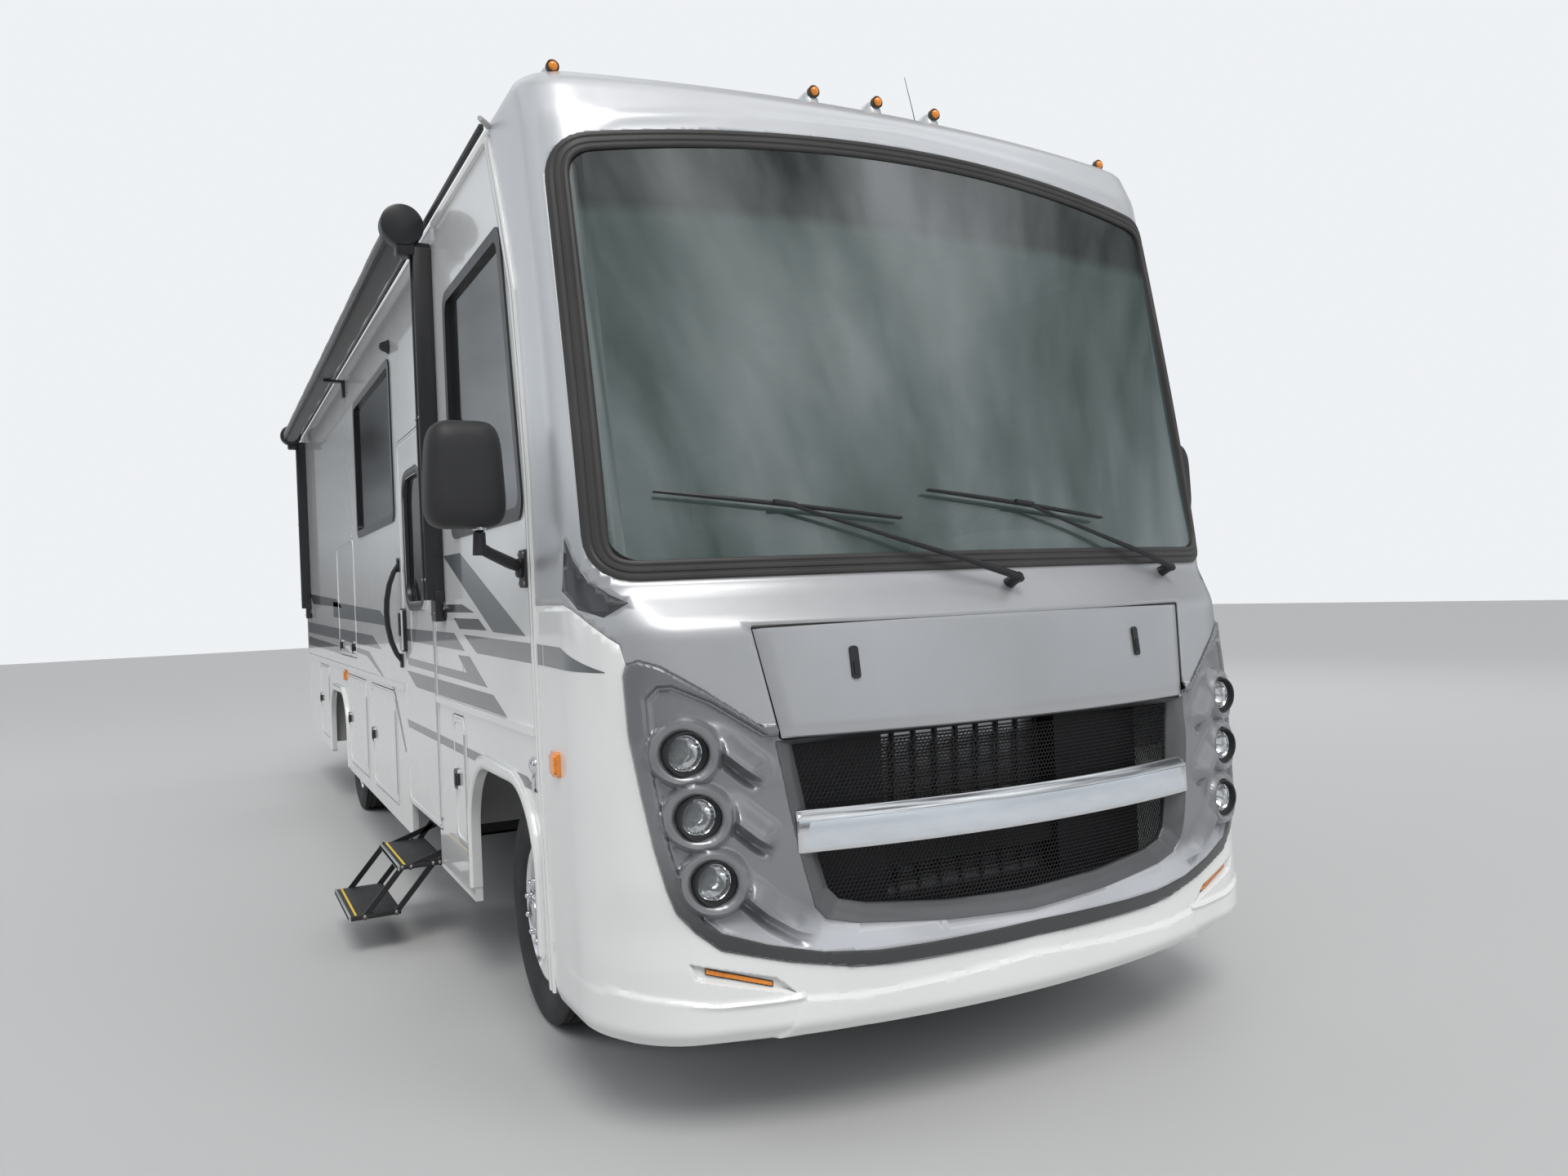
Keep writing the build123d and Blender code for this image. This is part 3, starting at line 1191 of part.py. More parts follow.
parts["rear_wheels_left"] = rear_wheels()
parts["rear_wheels_right"] = mirror_x(parts["rear_wheels_left"])
parts["rear_tyres_left"] = loose([Pos(x, REAR_AXLE_Y, HUB_Z) * tyre() for x in (REAR_OUTER_X, REAR_INNER_X)])
parts["rear_tyres_right"] = mirror_x(parts["rear_tyres_left"])
stub = rod_x(DRUM_X - 10, 638, REAR_AXLE_Y, HUB_Z, AXLE_TUBE) + rod_x(630, 736, REAR_AXLE_Y, HUB_Z, 40)
parts["rear_axle"] = parts["rear_axle"] + stub + mirror_x(stub)

# Steering wheel
def steering_wheel():
    wheel = Torus(WHEEL_RADIUS, 15)
    wheel += Cylinder(55, 40)
    for angle in (0, 120, 240):
        wheel += Rot(0, 0, angle + 90) * Pos(WHEEL_RADIUS / 2, 0, 0) * Box(WHEEL_RADIUS, 34, 12)
    wheel += Pos(0, 0, -COLUMN_STUB / 2) * Cylinder(COLUMN_RADIUS, COLUMN_STUB)
    return COLUMN_PLACE * wheel


parts["steering_wheel"] = steering_wheel()

# Doors. Each panel is nearly as thick as its wall, with a hinge rod along one edge and a latch
def side_door(y0, y1, z0, z1, thick, hinge_z0, hinge_z1):
    panel = side_panel(y0, y1, z0, z1, HALF - thick, HALF, DOOR_RADIUS)
    rod = rod_z(hinge_z0, hinge_z1, HALF + HINGE_RADIUS - 1, y0 + HINGE_RADIUS, HINGE_RADIUS)
    return panel + rod


def latch(y, z, size=34.0):
    return block(HALF - 2, HALF + 10, y - size, y + size, z - size * 1.2, z + size * 1.2)


for rows, sign in ((CURB_DOORS, -1), (ROAD_DOORS, 1)):
    for name, y0, y1, z0, z1 in rows:
        door = side_door(y0, y1, z0, z1, SKIRT_WALL - 2, z0 + 60, z1 - 60) + latch(y1 - 70, (z0 + z1) / 2)
        parts[name] = door if sign > 0 else mirror_x(door)


def media_door():
    _, y0, y1, z0, z1 = MEDIA_DOOR
    door = side_panel(y0, y1, z0, z1, HALF - WALL + 8, HALF, DOOR_RADIUS)
    door += rod_y(y0 + 60, y1 - 60, HALF + HINGE_RADIUS - 1, z1 - HINGE_RADIUS, HINGE_RADIUS)
    for y in (y0 + 160, y1 - 160):
        door += latch(y, z0 + 70)
    return mirror_x(door)


parts["media_door"] = media_door()

DOOR_WINDOW = (2790.0, 3345.0, 1560.0, 2260.0)


def entry_door():
    _, y0, y1, z0, z1 = ENTRY_DOOR
    door = side_door(y0, y1, z0, z1, WALL - 7, z0 + 40, z1 - 40)
    ring = side_panel(*DOOR_WINDOW, HALF - 1, HALF + 10, 90)
    door += ring
    a, b, c, d = DOOR_WINDOW
    door -= side_panel(a + 40, b - 40, c + 40, d - 40, HALF - WALL - 1, HALF + 20, 60)
    door += block(HALF - 2, HALF + 28, y1 - 110, y1 - 40, 1350, 1560)
    return mirror_x(door)


def entry_door_glass():
    a, b, c, d = DOOR_WINDOW
    return mirror_x(side_panel(a + 40.3, b - 40.3, c + 40.3, d - 40.3, HALF - 20, HALF - 12, 60))


parts["entry_door"] = entry_door()
parts["entry_door_glass"] = entry_door_glass()

# Grab handle behind the door
def grab_handle():
    y, z0, z1 = ENTRY_DOOR[2] + 60, 1290.0, 1800.0
    face = HALF + SEAT_GAP
    root = face + 11
    path = FilletPolyline((root, y, z0), (face + 75, y, z0 + 70), (face + 75, y, z1 - 70), (root, y, z1), radius=50)
    grip = sweep(Plane(origin=path @ 0, z_dir=path % 0) * Circle(14), path=path)
    for z in (z0, z1):
        grip += block(face, face + 12, y - 22, y + 22, z - 40, z + 40)
    return mirror_x(grip)


parts["grab_handle"] = grab_handle()

# Slide-out room on the driver's side: a hollow box behind a flanged face
SLIDE_INNER = 560.0
SLIDE_WALL = 40.0
SLIDE_FACE = HALF + 25.0
FLANGE = 40.0


def slide_room():
    y0, y1, z0, z1 = SLIDE_BOX
    room = block(SLIDE_INNER, SLIDE_FACE, y0, y1, z0, z1)
    room -= block(SLIDE_INNER - 1, SLIDE_FACE - WALL, y0 + SLIDE_WALL, y1 - SLIDE_WALL, z0 + SLIDE_WALL, z1 - SLIDE_WALL)
    room += side_panel(y0 - FLANGE, y1 + FLANGE, z0 - FLANGE, z1 + FLANGE, HALF + MOVE_GAP, SLIDE_FACE, 30)
    for w0, w1 in SLIDE_WINDOWS:
        room -= side_panel(w0, w1, SLIDE_SILL, SLIDE_HEAD, SLIDE_FACE - WALL - 1, SLIDE_FACE + 1, WINDOW_RADIUS)
    return room


SLIDE_WINDOWS = [(3250.0, 4250.0), (4700.0, 5700.0)]
SLIDE_SILL = 2040.0
SLIDE_HEAD = 2700.0


def slide_window():
    pieces = []
    for w0, w1 in SLIDE_WINDOWS:
        pieces.append(window_ring(rectangle(w0, w1, SLIDE_SILL, SLIDE_HEAD), SLIDE_FACE - WALL, SLIDE_FACE + FRAME_PROUD))
    return loose(pieces)


def slide_glass():
    return loose([window_pane(rectangle(w0, w1, SLIDE_SILL, SLIDE_HEAD), SLIDE_FACE - 20, SLIDE_FACE - 12)
                  for w0, w1 in SLIDE_WINDOWS])


parts["slide_room"] = slide_room()
parts["slide_frames"] = slide_window()
parts["slide_glass"] = slide_glass()

RUNNERS = (3400.0, 5600.0)
runner_top = SLIDE_BOX[2] - SEAT_GAP
runners = [block(620, 1200, y - 30, y + 30, FLOOR_Z + SEAT_GAP, runner_top) for y in RUNNERS]
parts["floor"] = loose([parts["floor"], *runners])

# The origin moves to the ground under the middle of the overall box
boxes = [shape.bounding_box() for shape in parts.values()]
shift = Vector(
    -(min(b.min.X for b in boxes) + max(b.max.X for b in boxes)) / 2,
    -(min(b.min.Y for b in boxes) + max(b.max.Y for b in boxes)) / 2,
    0,
)
low = min(b.min.Z for b in boxes)
print("shift", round(shift.X, 3), round(shift.Y, 3), "lowest", round(low, 3))

os.makedirs("parts", exist_ok=True)
for name, shape in parts.items():
    export_step(Pos(shift.X, shift.Y, 0) * shape, f"parts/{name}.step")
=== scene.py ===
# %% [markdown]
# # A one-box motorhome, dressed in Blender
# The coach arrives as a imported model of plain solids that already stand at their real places.
# This lesson gives it its looks: the moulded front with its lamps and grille, the paint and its
# swept graphics, glass, wheels, awning, steps and cab. Nothing is moved or resized on the way.

# %% Load the frame
import json
import math

import bmesh
import bpy
import numpy as np
from mathutils import Matrix, Vector, geometry


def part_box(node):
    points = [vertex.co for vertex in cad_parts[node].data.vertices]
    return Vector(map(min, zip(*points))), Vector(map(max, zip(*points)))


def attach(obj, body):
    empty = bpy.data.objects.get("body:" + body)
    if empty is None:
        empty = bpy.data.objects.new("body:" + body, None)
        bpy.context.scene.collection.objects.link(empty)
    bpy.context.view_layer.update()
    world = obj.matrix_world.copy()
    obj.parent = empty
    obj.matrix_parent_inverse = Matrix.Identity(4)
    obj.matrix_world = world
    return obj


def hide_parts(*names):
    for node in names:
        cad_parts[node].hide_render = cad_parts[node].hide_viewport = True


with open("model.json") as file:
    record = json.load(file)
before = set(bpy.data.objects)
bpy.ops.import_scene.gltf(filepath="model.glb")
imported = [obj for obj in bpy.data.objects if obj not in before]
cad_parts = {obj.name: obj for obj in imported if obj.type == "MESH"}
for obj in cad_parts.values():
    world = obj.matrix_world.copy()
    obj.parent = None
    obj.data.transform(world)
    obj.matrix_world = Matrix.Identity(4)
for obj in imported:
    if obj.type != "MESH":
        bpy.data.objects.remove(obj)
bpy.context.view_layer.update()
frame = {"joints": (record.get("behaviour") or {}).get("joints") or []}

# %% [markdown]
# ## One measuring line for everything
# A coach is drawn from its own centre plane, its nose and the ground. The frame's origin lies in
# the middle of the overall box instead, so the two offsets are read from the frame once, and
# every later piece is built in coach coordinates and put in place by them.


# %% Coach coordinates
def middle_of(node, axis):
    low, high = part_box(node)
    return (low[axis] + high[axis]) / 2


CENTRE_X = middle_of("windshield", 0)
NOSE_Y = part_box("front_cap")[0].y
HALF = (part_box("side_skirts")[1].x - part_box("side_skirts")[0].x) / 2
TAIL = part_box("rear_cap")[1].y - NOSE_Y
FRONT_AXLE, REAR_AXLE = (middle_of(node, 1) - NOSE_Y for node in ("front_tyre_left", "rear_tyres_left"))
HUB = middle_of("front_tyre_left", 2)
ORIGIN = np.array([CENTRE_X, NOSE_Y, 0])
print("half width", round(HALF, 4), "length", round(TAIL, 3), "axles", round(FRONT_AXLE, 3),
      round(REAR_AXLE, 3))


def nodebox(node):
    """Lowest and highest corner of a CAD node in coach coordinates."""
    low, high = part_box(node)
    return np.array(low) - ORIGIN, np.array(high) - ORIGIN


# %% [markdown]
# ## Finishes
# Real finishes are never one flat colour. Each material here starts from one Principled shader and
# gets noise that reads Object coordinates: a slow one that shifts the colour, a fine one for
# flake or grain in the roughness and the bump. Numbers that are the same all over the surface
# stay on the shader's own sockets, so that an export keeps them. Two small helpers add nodes and
# wires, and every later tree is built with them too.


# %% Node helpers
def add_node(tree, kind, values=(), **settings):
    """A new node with some of its settings and inputs filled in."""
    made = tree.nodes.new(kind)
    for key, value in settings.items():
        setattr(made, key, value)
    for key, value in dict(values).items():
        made.inputs[key].default_value = value
    return made


def wire_up(tree, *links):
    """Links given as (node, output, node, input)."""
    for source, output, target, entry in links:
        tree.links.new(source.outputs[output], target.inputs[entry])


# %% Material workshop
MATERIALS = {}
FLAKE_SCALE = 1800.0


def finish(name, slot, colour, rough, metal=0.0, tint=0.06, tint_scale=3.0, grain=0.0, grain_scale=400.0,
           flake=0.0, coat=0.0, specular=0.5, alpha=1.0, stretch=(1, 1, 1), rough_spread=0.05, sheen=0.0,
           bump_step=0.0004, ior=1.5, fade=None, coat_rough=0.04):
    """A Principled material with slow colour drift, roughness drift and a fine bump."""
    material = bpy.data.materials.new(name)
    material.use_nodes = True
    tree = material.node_tree
    shader = tree.nodes["Principled BSDF"]
    for key, value in (("Metallic", metal), ("Specular IOR Level", specular), ("Coat Weight", coat),
                       ("IOR", ior), ("Coat Roughness", coat_rough), ("Sheen Weight", sheen),
                       ("Alpha", alpha)):
        shader.inputs[key].default_value = value
    place = add_node(tree, "ShaderNodeTexCoord")
    scale = add_node(tree, "ShaderNodeMapping", {"Scale": stretch})
    wire_up(tree, (place, "Object", scale, "Vector"))

    def noise(size, detail):
        cloud = add_node(tree, "ShaderNodeTexNoise", {"Scale": size, "Detail": detail})
        wire_up(tree, (scale, "Vector", cloud, "Vector"))
        return cloud, "Fac"

    def multiplied(shade, share, factor):
        mix = add_node(tree, "ShaderNodeMixRGB", {"Fac": share}, blend_type="MULTIPLY")
        wire_up(tree, (*shade, mix, "Color1"), (factor, "Result", mix, "Color2"))
        return mix, "Color"

    ramp = add_node(tree, "ShaderNodeValToRGB")
    for end, spot, share in zip(ramp.color_ramp.elements, (0.3, 0.7), (1 - tint, 1 + tint)):
        end.position = spot
        end.color = (*[min(1, c * share) for c in colour], 1)
    wire_up(tree, (*noise(tint_scale, 4.0), ramp, "Fac"))
    shade = (ramp, "Color")
    if flake:
        dots = add_node(tree, "ShaderNodeMapRange",
                        {"From Min": 0.35, "From Max": 0.65, "To Min": 0.55, "To Max": 1.35})
        wire_up(tree, (*noise(FLAKE_SCALE, 2.0), dots, "Value"))
        shade = multiplied(shade, flake, dots)
    # a colour gradient up the height: on the front paints it is painted light and shade, on the windscreen
    # it is the real tint band
    if fade:
        height = add_node(tree, "ShaderNodeSeparateXYZ")
        rise = add_node(tree, "ShaderNodeMapRange", {"From Min": fade[0], "From Max": fade[1],
                "To Min": fade[2]}, interpolation_type="SMOOTHSTEP")
        wire_up(tree, (place, "Object", height, "Vector"), (height, "Z", rise, "Value"))
        shade = multiplied(shade, 1.0, rise)
    spread = add_node(tree, "ShaderNodeMapRange",
                      {"To Min": max(0.0, rough - rough_spread), "To Max": min(1.0, rough + rough_spread)})
    wire_up(tree, (*shade, shader, "Base Color"), (*noise(tint_scale * 5, 5.0), spread, "Value"),
            (spread, "Result", shader, "Roughness"))
    if grain:
        bump = add_node(tree, "ShaderNodeBump", {"Strength": grain, "Distance": bump_step})
        wire_up(tree, (*noise(grain_scale, 3.0), bump, "Height"), (bump, "Normal", shader, "Normal"))
    MATERIALS[name] = (material, slot)
    return material


finish("white_gelcoat", "white_paint", (0.78, 0.785, 0.775), 0.16, coat=0.8, tint=0.02, grain=0.12,
       grain_scale=60, bump_step=0.0006)
finish("silver_paint", "silver_paint", (0.44, 0.445, 0.46), 0.34, metal=0.5, flake=0.16, coat=0.7,
       tint=0.04, coat_rough=0.12)
# painted reflection: this silver is lighter than the hood's where the brow and pillars catch the sky, and a
# tone darker on the cowl below them
finish("sky_lit_front_silver", "silver_paint", (0.67, 0.68, 0.7), 0.34, metal=0.45, flake=0.14, coat=0.5, tint=0.03,
       fade=(1.55, 2.05, 0.66), coat_rough=0.4)
finish("pearl_silver", "silver_paint", (0.62, 0.64, 0.66), 0.34, metal=0.35, flake=0.14, coat=0.8,
       tint=0.03)
# painted highlight: the fascia turns light on its lip under the grille, where its upward face reflects the
# sky
finish("pewter_paint", "silver_paint", (0.25, 0.253, 0.265), 0.34, metal=0.5, flake=0.16, coat=0.8,
       tint=0.05, coat_rough=0.08, fade=(0.585, 0.675, 2.3))
# the lamp surround is a darker paint than the fascia; its darkening towards the bumper, where it faces
# down, is painted shade
finish("surround_paint", "silver_paint", (0.2, 0.203, 0.213), 0.34, metal=0.4, flake=0.15, coat=0.8,
       tint=0.05, fade=(0.58, 0.95, 0.24))
finish("graphite_paint", "black_plastic", (0.105, 0.107, 0.112), 0.36, metal=0.35, flake=0.25, coat=0.6,
       tint=0.06)
# painted reflection: the dark at the foot of each pillar is a reflection, not a paint of the coach
finish("pillar_reflection_dark", "black_plastic", (0.05, 0.052, 0.056), 0.34, metal=0.3, flake=0.25, coat=0.6,
       tint=0.08)
finish("slate_graphic", "white_paint", (0.125, 0.135, 0.142), 0.22, coat=0.8, tint=0.04)
finish("dark_graphic", "white_paint", (0.034, 0.036, 0.04), 0.22, coat=0.8, tint=0.05)
finish("grained_black", "black_plastic", (0.022, 0.022, 0.024), 0.52, grain=0.5, grain_scale=900, tint=0.15)
finish("satin_black", "chassis_black", (0.016, 0.016, 0.018), 0.34, grain=0.15, grain_scale=300, tint=0.12)
finish("screen_rubber", "rubber", (0.04, 0.038, 0.037), 0.48, grain=0.3, grain_scale=500, tint=0.2)
finish("tyre_rubber", "tyre", (0.03, 0.03, 0.031), 0.74, grain=0.6, grain_scale=450, tint=0.25,
       tint_scale=7)
finish("polished_alloy", "chrome", (0.78, 0.79, 0.8), 0.1, metal=1.0, tint=0.05, tint_scale=12,
       rough_spread=0.05)
finish("lamp_chrome", "lamp", (0.86, 0.87, 0.88), 0.07, metal=1.0, tint=0.03, tint_scale=40)
finish("filmed_bar", "chrome", (0.66, 0.7, 0.75), 0.24, metal=0.55, tint=0.05, tint_scale=9,
       stretch=(1, 1, 4), grain=0.35, grain_scale=22, coat=0.7, bump_step=0.0012)
finish("frame_black", "chassis_black", (0.022, 0.022, 0.023), 0.55, grain=0.5, grain_scale=120, tint=0.35,
       tint_scale=5)
finish("cast_iron", "cast", (0.085, 0.083, 0.08), 0.62, metal=0.6, grain=0.7, grain_scale=200, tint=0.25)
finish("grey_steel", "bare_steel", (0.3, 0.29, 0.28), 0.45, metal=0.85, tint=0.22, tint_scale=6, grain=0.3)
finish("satin_alloy", "aluminium", (0.62, 0.63, 0.64), 0.32, metal=0.9, tint=0.06, stretch=(1, 12, 1),
       grain=0.2, grain_scale=150)
finish("dash_vinyl", "grey_plastic", (0.36, 0.37, 0.37), 0.58, grain=0.6, grain_scale=700, tint=0.05)
finish("moulded_grey", "grey_plastic", (0.5, 0.5, 0.49), 0.55, grain=0.4, grain_scale=500, tint=0.08)
finish("roof_moulding", "cream_plastic", (0.74, 0.735, 0.71), 0.38, grain=0.35, grain_scale=350, tint=0.06,
       tint_scale=2)
finish("amber_plastic", "amber_lens", (0.86, 0.27, 0.015), 0.12, coat=1.0, tint=0.12, tint_scale=60)
finish("red_plastic", "red_lens", (0.52, 0.012, 0.012), 0.12, coat=1.0, tint=0.12, tint_scale=60)
finish("clear_lens", "lamp", (0.6, 0.63, 0.65), 0.04, alpha=0.12, specular=0.8, tint=0.02)
finish("dark_glass", "dark_glass", (0.012, 0.014, 0.015), 0.035, alpha=0.86, specular=0.8, tint=0.1,
       rough_spread=0.015)
finish("awning_cloth", "fabric", (0.028, 0.028, 0.03), 0.8, grain=0.8, grain_scale=1500, sheen=0.3,
       tint=0.15, tint_scale=8)
finish("seat_vinyl", "leather", (0.3, 0.285, 0.265), 0.46, grain=0.8, grain_scale=380, tint=0.08)
finish("cabinet_board", "wood", (0.2, 0.125, 0.075), 0.42, tint=0.35, tint_scale=5, stretch=(3, 3, 0.35),
       grain=0.25)
finish("safety_yellow", "amber_lens", (0.8, 0.55, 0.05), 0.55, grain=0.5, grain_scale=800, tint=0.15)
print(len(MATERIALS), "finishes")

# %% Windscreen glass, with a dark band along its head
CLEAR_SHARE = 0.56
BAND_START = 2.74
BAND_FULL = 2.82
BAND_SHARE = 0.86
screen_glass = finish("screen_glass", "clear_glass", (0.011, 0.016, 0.015), 0.02, alpha=CLEAR_SHARE,
                      specular=1.0, tint=0.03, rough_spread=0.01, ior=1.95,
                      fade=(BAND_START, BAND_FULL, 8.0))
tree = screen_glass.node_tree
coords = add_node(tree, "ShaderNodeTexCoord")
height = add_node(tree, "ShaderNodeSeparateXYZ")
fade = add_node(tree, "ShaderNodeMapRange", {"From Min": BAND_START, "From Max": BAND_FULL,
                                             "To Min": CLEAR_SHARE, "To Max": BAND_SHARE})
wire_up(tree, (coords, "Object", height, "Vector"), (height, "Z", fade, "Value"),
        (fade, "Result", tree.nodes["Principled BSDF"], "Alpha"))
print("windscreen band from", BAND_START, "to", BAND_FULL)

# %% [markdown]
# ## Plain mesh tools
# A few makers of points and faces cover most pieces built here: a tube along a path, a profile
# turned about an axis, a block with rounded edges and a flat outline given thickness. Each
# returns points and faces in coach coordinates, and `piece` joins them into one finished object.


# %% Mesh makers
def grid_faces(rows, columns, wrap_rows=False, wrap_columns=False):
    """Quads over a grid of points stored row by row."""
    faces = []
    for i in range(rows if wrap_rows else rows - 1):
        for j in range(columns if wrap_columns else columns - 1):
            a, b = i * columns + j, i * columns + (j + 1) % columns
            c, d = ((i + 1) % rows) * columns + (j + 1) % columns, ((i + 1) % rows) * columns + j
            faces.append((a, b, c, d))
    return faces


def ring(loops):
    """Closed band through matching loops of points."""
    return np.concatenate(loops), grid_faces(len(loops), len(loops[0]), True, True)


def capped(loops):
    """Skin over matching loops with a flat cap at both ends."""
    count, points = len(loops[0]), np.concatenate(loops)
    last = tuple(reversed(range(len(points) - count, len(points))))
    return points, grid_faces(len(loops), count, False, True) + [tuple(range(count)), last]


def shrunk(loop):
    """A loop drawn in around its middle, to close a cover or a floor."""
    return loop * 0.02 + loop.mean(0) * 0.98


def tube(path, radius, sides=12, squash=1.0):
    """Round bar along a path, its ends closed."""
    path = np.array(path, float)
    radii = np.broadcast_to(np.array(radius, float), (len(path),))
    steps = np.gradient(path, axis=0)
    loops, across = [], None
    for centre, step, r in zip(path, steps, radii):
        along = step / np.linalg.norm(step)
        if across is None:
            seed = np.array([0, 0, 1.0]) if abs(along[2]) < 0.9 else np.array([1.0, 0, 0])
            across = np.cross(along, seed)
        across = across - along * (across @ along)
        across = across / np.linalg.norm(across)
        other = np.cross(along, across)
        loops.append(np.array([centre + r * (across * math.cos(a) + other * squash * math.sin(a))
                               for a in (2 * math.pi * k / sides for k in range(sides))]))
    return capped(loops)


POLE = 0.0001  # radius at which a turned profile ends on its axis


def lathe(profile, centre, sides=64, axis=0):
    """Closed (along, radius) profile turned about an axis of the coach."""
    profile = np.array(profile, float)
    angles = 2 * math.pi * np.arange(sides) / sides
    points = np.zeros((sides, len(profile), 3))
    others = [k for k in range(3) if k != axis]
    points[:, :, axis] = profile[None, :, 0]
    points[:, :, others[0]] = profile[None, :, 1] * np.cos(angles)[:, None]
    points[:, :, others[1]] = profile[None, :, 1] * np.sin(angles)[:, None]
    return points.reshape(-1, 3) + np.array(centre), grid_faces(sides, len(profile), True, True)


def block(low, high, radius=0.01, segments=3):
    """Box with rounded edges."""
    mesh = bmesh.new()
    size = np.array(high, float) - np.array(low, float)
    bmesh.ops.create_cube(mesh, size=1.0)
    bmesh.ops.scale(mesh, vec=Vector(size), verts=mesh.verts)
    bmesh.ops.translate(mesh, vec=Vector((np.array(low, float) + np.array(high, float)) / 2),
                        verts=mesh.verts)
    if radius:
        bmesh.ops.bevel(mesh, geom=list(mesh.edges), offset=min(radius, size.min() * 0.49),
                        segments=segments, profile=0.5, affect="EDGES")
    mesh.verts.index_update()
    points = np.array([v.co[:] for v in mesh.verts])
    faces = [tuple(v.index for v in f.verts) for f in mesh.faces]
    mesh.free()
    return points, faces


def plate(outline, place, low, high, bevel=0.0, segments=2):
    """Flat outline of (a, b) points between two depths, put in space by place(a, b, depth)."""
    mesh = bmesh.new()
    bottom = [mesh.verts.new((a, b, low)) for a, b in outline]
    face = mesh.faces.new(bottom)
    bmesh.ops.recalc_face_normals(mesh, faces=[face])
    pushed = bmesh.ops.extrude_face_region(mesh, geom=[face])
    lifted = [g for g in pushed["geom"] if isinstance(g, bmesh.types.BMVert)]
    for vert in lifted:
        vert.co.z = high
    if bevel:
        rim = [e for e in mesh.edges if e.verts[0].co.z == high and e.verts[1].co.z == high]
        bmesh.ops.bevel(mesh, geom=rim, offset=bevel, segments=segments, profile=0.5, affect="EDGES")
    bmesh.ops.recalc_face_normals(mesh, faces=mesh.faces)
    mesh.verts.index_update()
    points = np.array([place(*v.co) for v in mesh.verts])
    faces = [tuple(v.index for v in f.verts) for f in mesh.faces]
    mesh.free()
    return points, faces


def rounded(points, radius, steps=6):
    """Closed outline with its corners rounded."""
    result = []
    count = len(points)
    for k in range(count):
        before, here, after = (np.array(points[(k + s) % count], float) for s in (-1, 0, 1))
        back, ahead = before - here, after - here
        reach = min(radius, 0.45 * np.linalg.norm(back), 0.45 * np.linalg.norm(ahead))
        a = here + back / np.linalg.norm(back) * reach
        b = here + ahead / np.linalg.norm(ahead) * reach
        for t in np.linspace(0, 1, steps):
            result.append((1 - t) ** 2 * a + 2 * t * (1 - t) * here + t ** 2 * b)
    return np.array(result)


def card(a0, b0, a1, b1, radius, steps):
    """Outline of a rectangle with rounded corners."""
    return rounded([(a0, b0), (a1, b0), (a1, b1), (a0, b1)], radius, steps)


def mirrored(part):
    """The same points and faces on the other side of the centre plane."""
    points, faces = part
    return points * np.array([-1, 1, 1]), [tuple(reversed(f)) for f in faces]


def on_both(parts):
    return parts + [mirrored(part) for part in parts]


def settled(name, mesh, material, body):
    """The object of a finished mesh, on its body and with its finish."""
    finish_material, slot = MATERIALS[material]
    mesh.materials.append(finish_material)
    obj = bpy.data.objects.new(name, mesh)
    bpy.context.scene.collection.objects.link(obj)
    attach(obj, body)
    return obj


def piece(name, parts, material, body="coach", smooth=35, stands_for=(), modifiers=None, recalc=True):
    """One finished object from lists of points and faces, riding on a body."""
    mesh = bpy.data.meshes.new(name)
    points, faces, start = [], [], 0
    for part_points, part_faces in parts:
        points.append(part_points)
        faces += [tuple(i + start for i in f) for f in part_faces]
        start += len(part_points)
    points = np.concatenate(points) + ORIGIN
    mesh.from_pydata(points.tolist(), [], faces)
    if recalc:
        work = bmesh.new()
        work.from_mesh(mesh)
        bmesh.ops.recalc_face_normals(work, faces=work.faces)
        work.to_mesh(mesh)
        work.free()
    mesh.shade_smooth()
    mesh.set_sharp_from_angle(angle=math.radians(smooth))
    obj = settled(name, mesh, material, body)
    if modifiers:
        modifiers(obj)
    if stands_for:
        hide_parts(*stands_for)
    return obj


# %% [markdown]
# ## The skin of the front
# The front cap is one moulding: at every height its outline is a wide bow, a tight corner arc and
# a straight side. Walking along that outline gives u, and walking up the nose gives v, so any
# place on the skin is skin(u, v), and shapes drawn as seen from ahead convert to u and v.

# %% Skin of the front cap
# columns: height, nose y, bow radius, corner radius, half width
LEVELS = np.array([
    (0.3, 0.044, 3.2, 0.4, 1.262), (0.345, 0.008, 3.2, 0.4, HALF), (0.52, 0.0, 3.2, 0.4, HALF),
    (0.83, 0.014, 3.2, 0.4, HALF), (1.16, 0.03, 3.2, 0.4, HALF), (1.48, 0.076, 3.2, 0.36, HALF),
    (1.6, 0.168, 3.15, 0.23, HALF), (3.11, 0.552, 5.9, 0.17, HALF), (3.235, 0.616, 5.9, 0.17, HALF),
    (3.292, 0.7, 5.9, 0.17, 1.262), (3.335, 0.83, 5.9, 0.2, 1.215), (3.368, 1.0, 5.9, 0.2, 1.12),
    (3.392, 1.18, 5.9, 0.2, 0.94),
])
WALK = np.concatenate([[0], np.cumsum(np.hypot(np.diff(LEVELS[:, 0]), np.diff(LEVELS[:, 1])))])
SOFTEN = 0.014


def level_at(v):
    """Rows of the table between its levels, their creases rounded a little."""
    v = np.asarray(v, float)
    rows = 0
    for share in (-1, -0.5, 0, 0.5, 1):
        spot = np.clip(v + share * SOFTEN, 0, WALK[-1])
        rows = rows + np.stack([np.interp(spot, WALK, LEVELS[:, k]) for k in range(5)], -1) / 5
    return rows


def outline_terms(rows):
    nose, bow, corner, half = (rows[..., k] for k in (1, 2, 3, 4))
    centre_x = half - corner
    centre_y = nose + bow - np.sqrt((bow - corner) ** 2 - centre_x ** 2)
    lean = np.arcsin(centre_x / (bow - corner))
    return nose, bow, corner, half, centre_x, centre_y, lean, bow * lean, corner * (math.pi / 2 - lean)


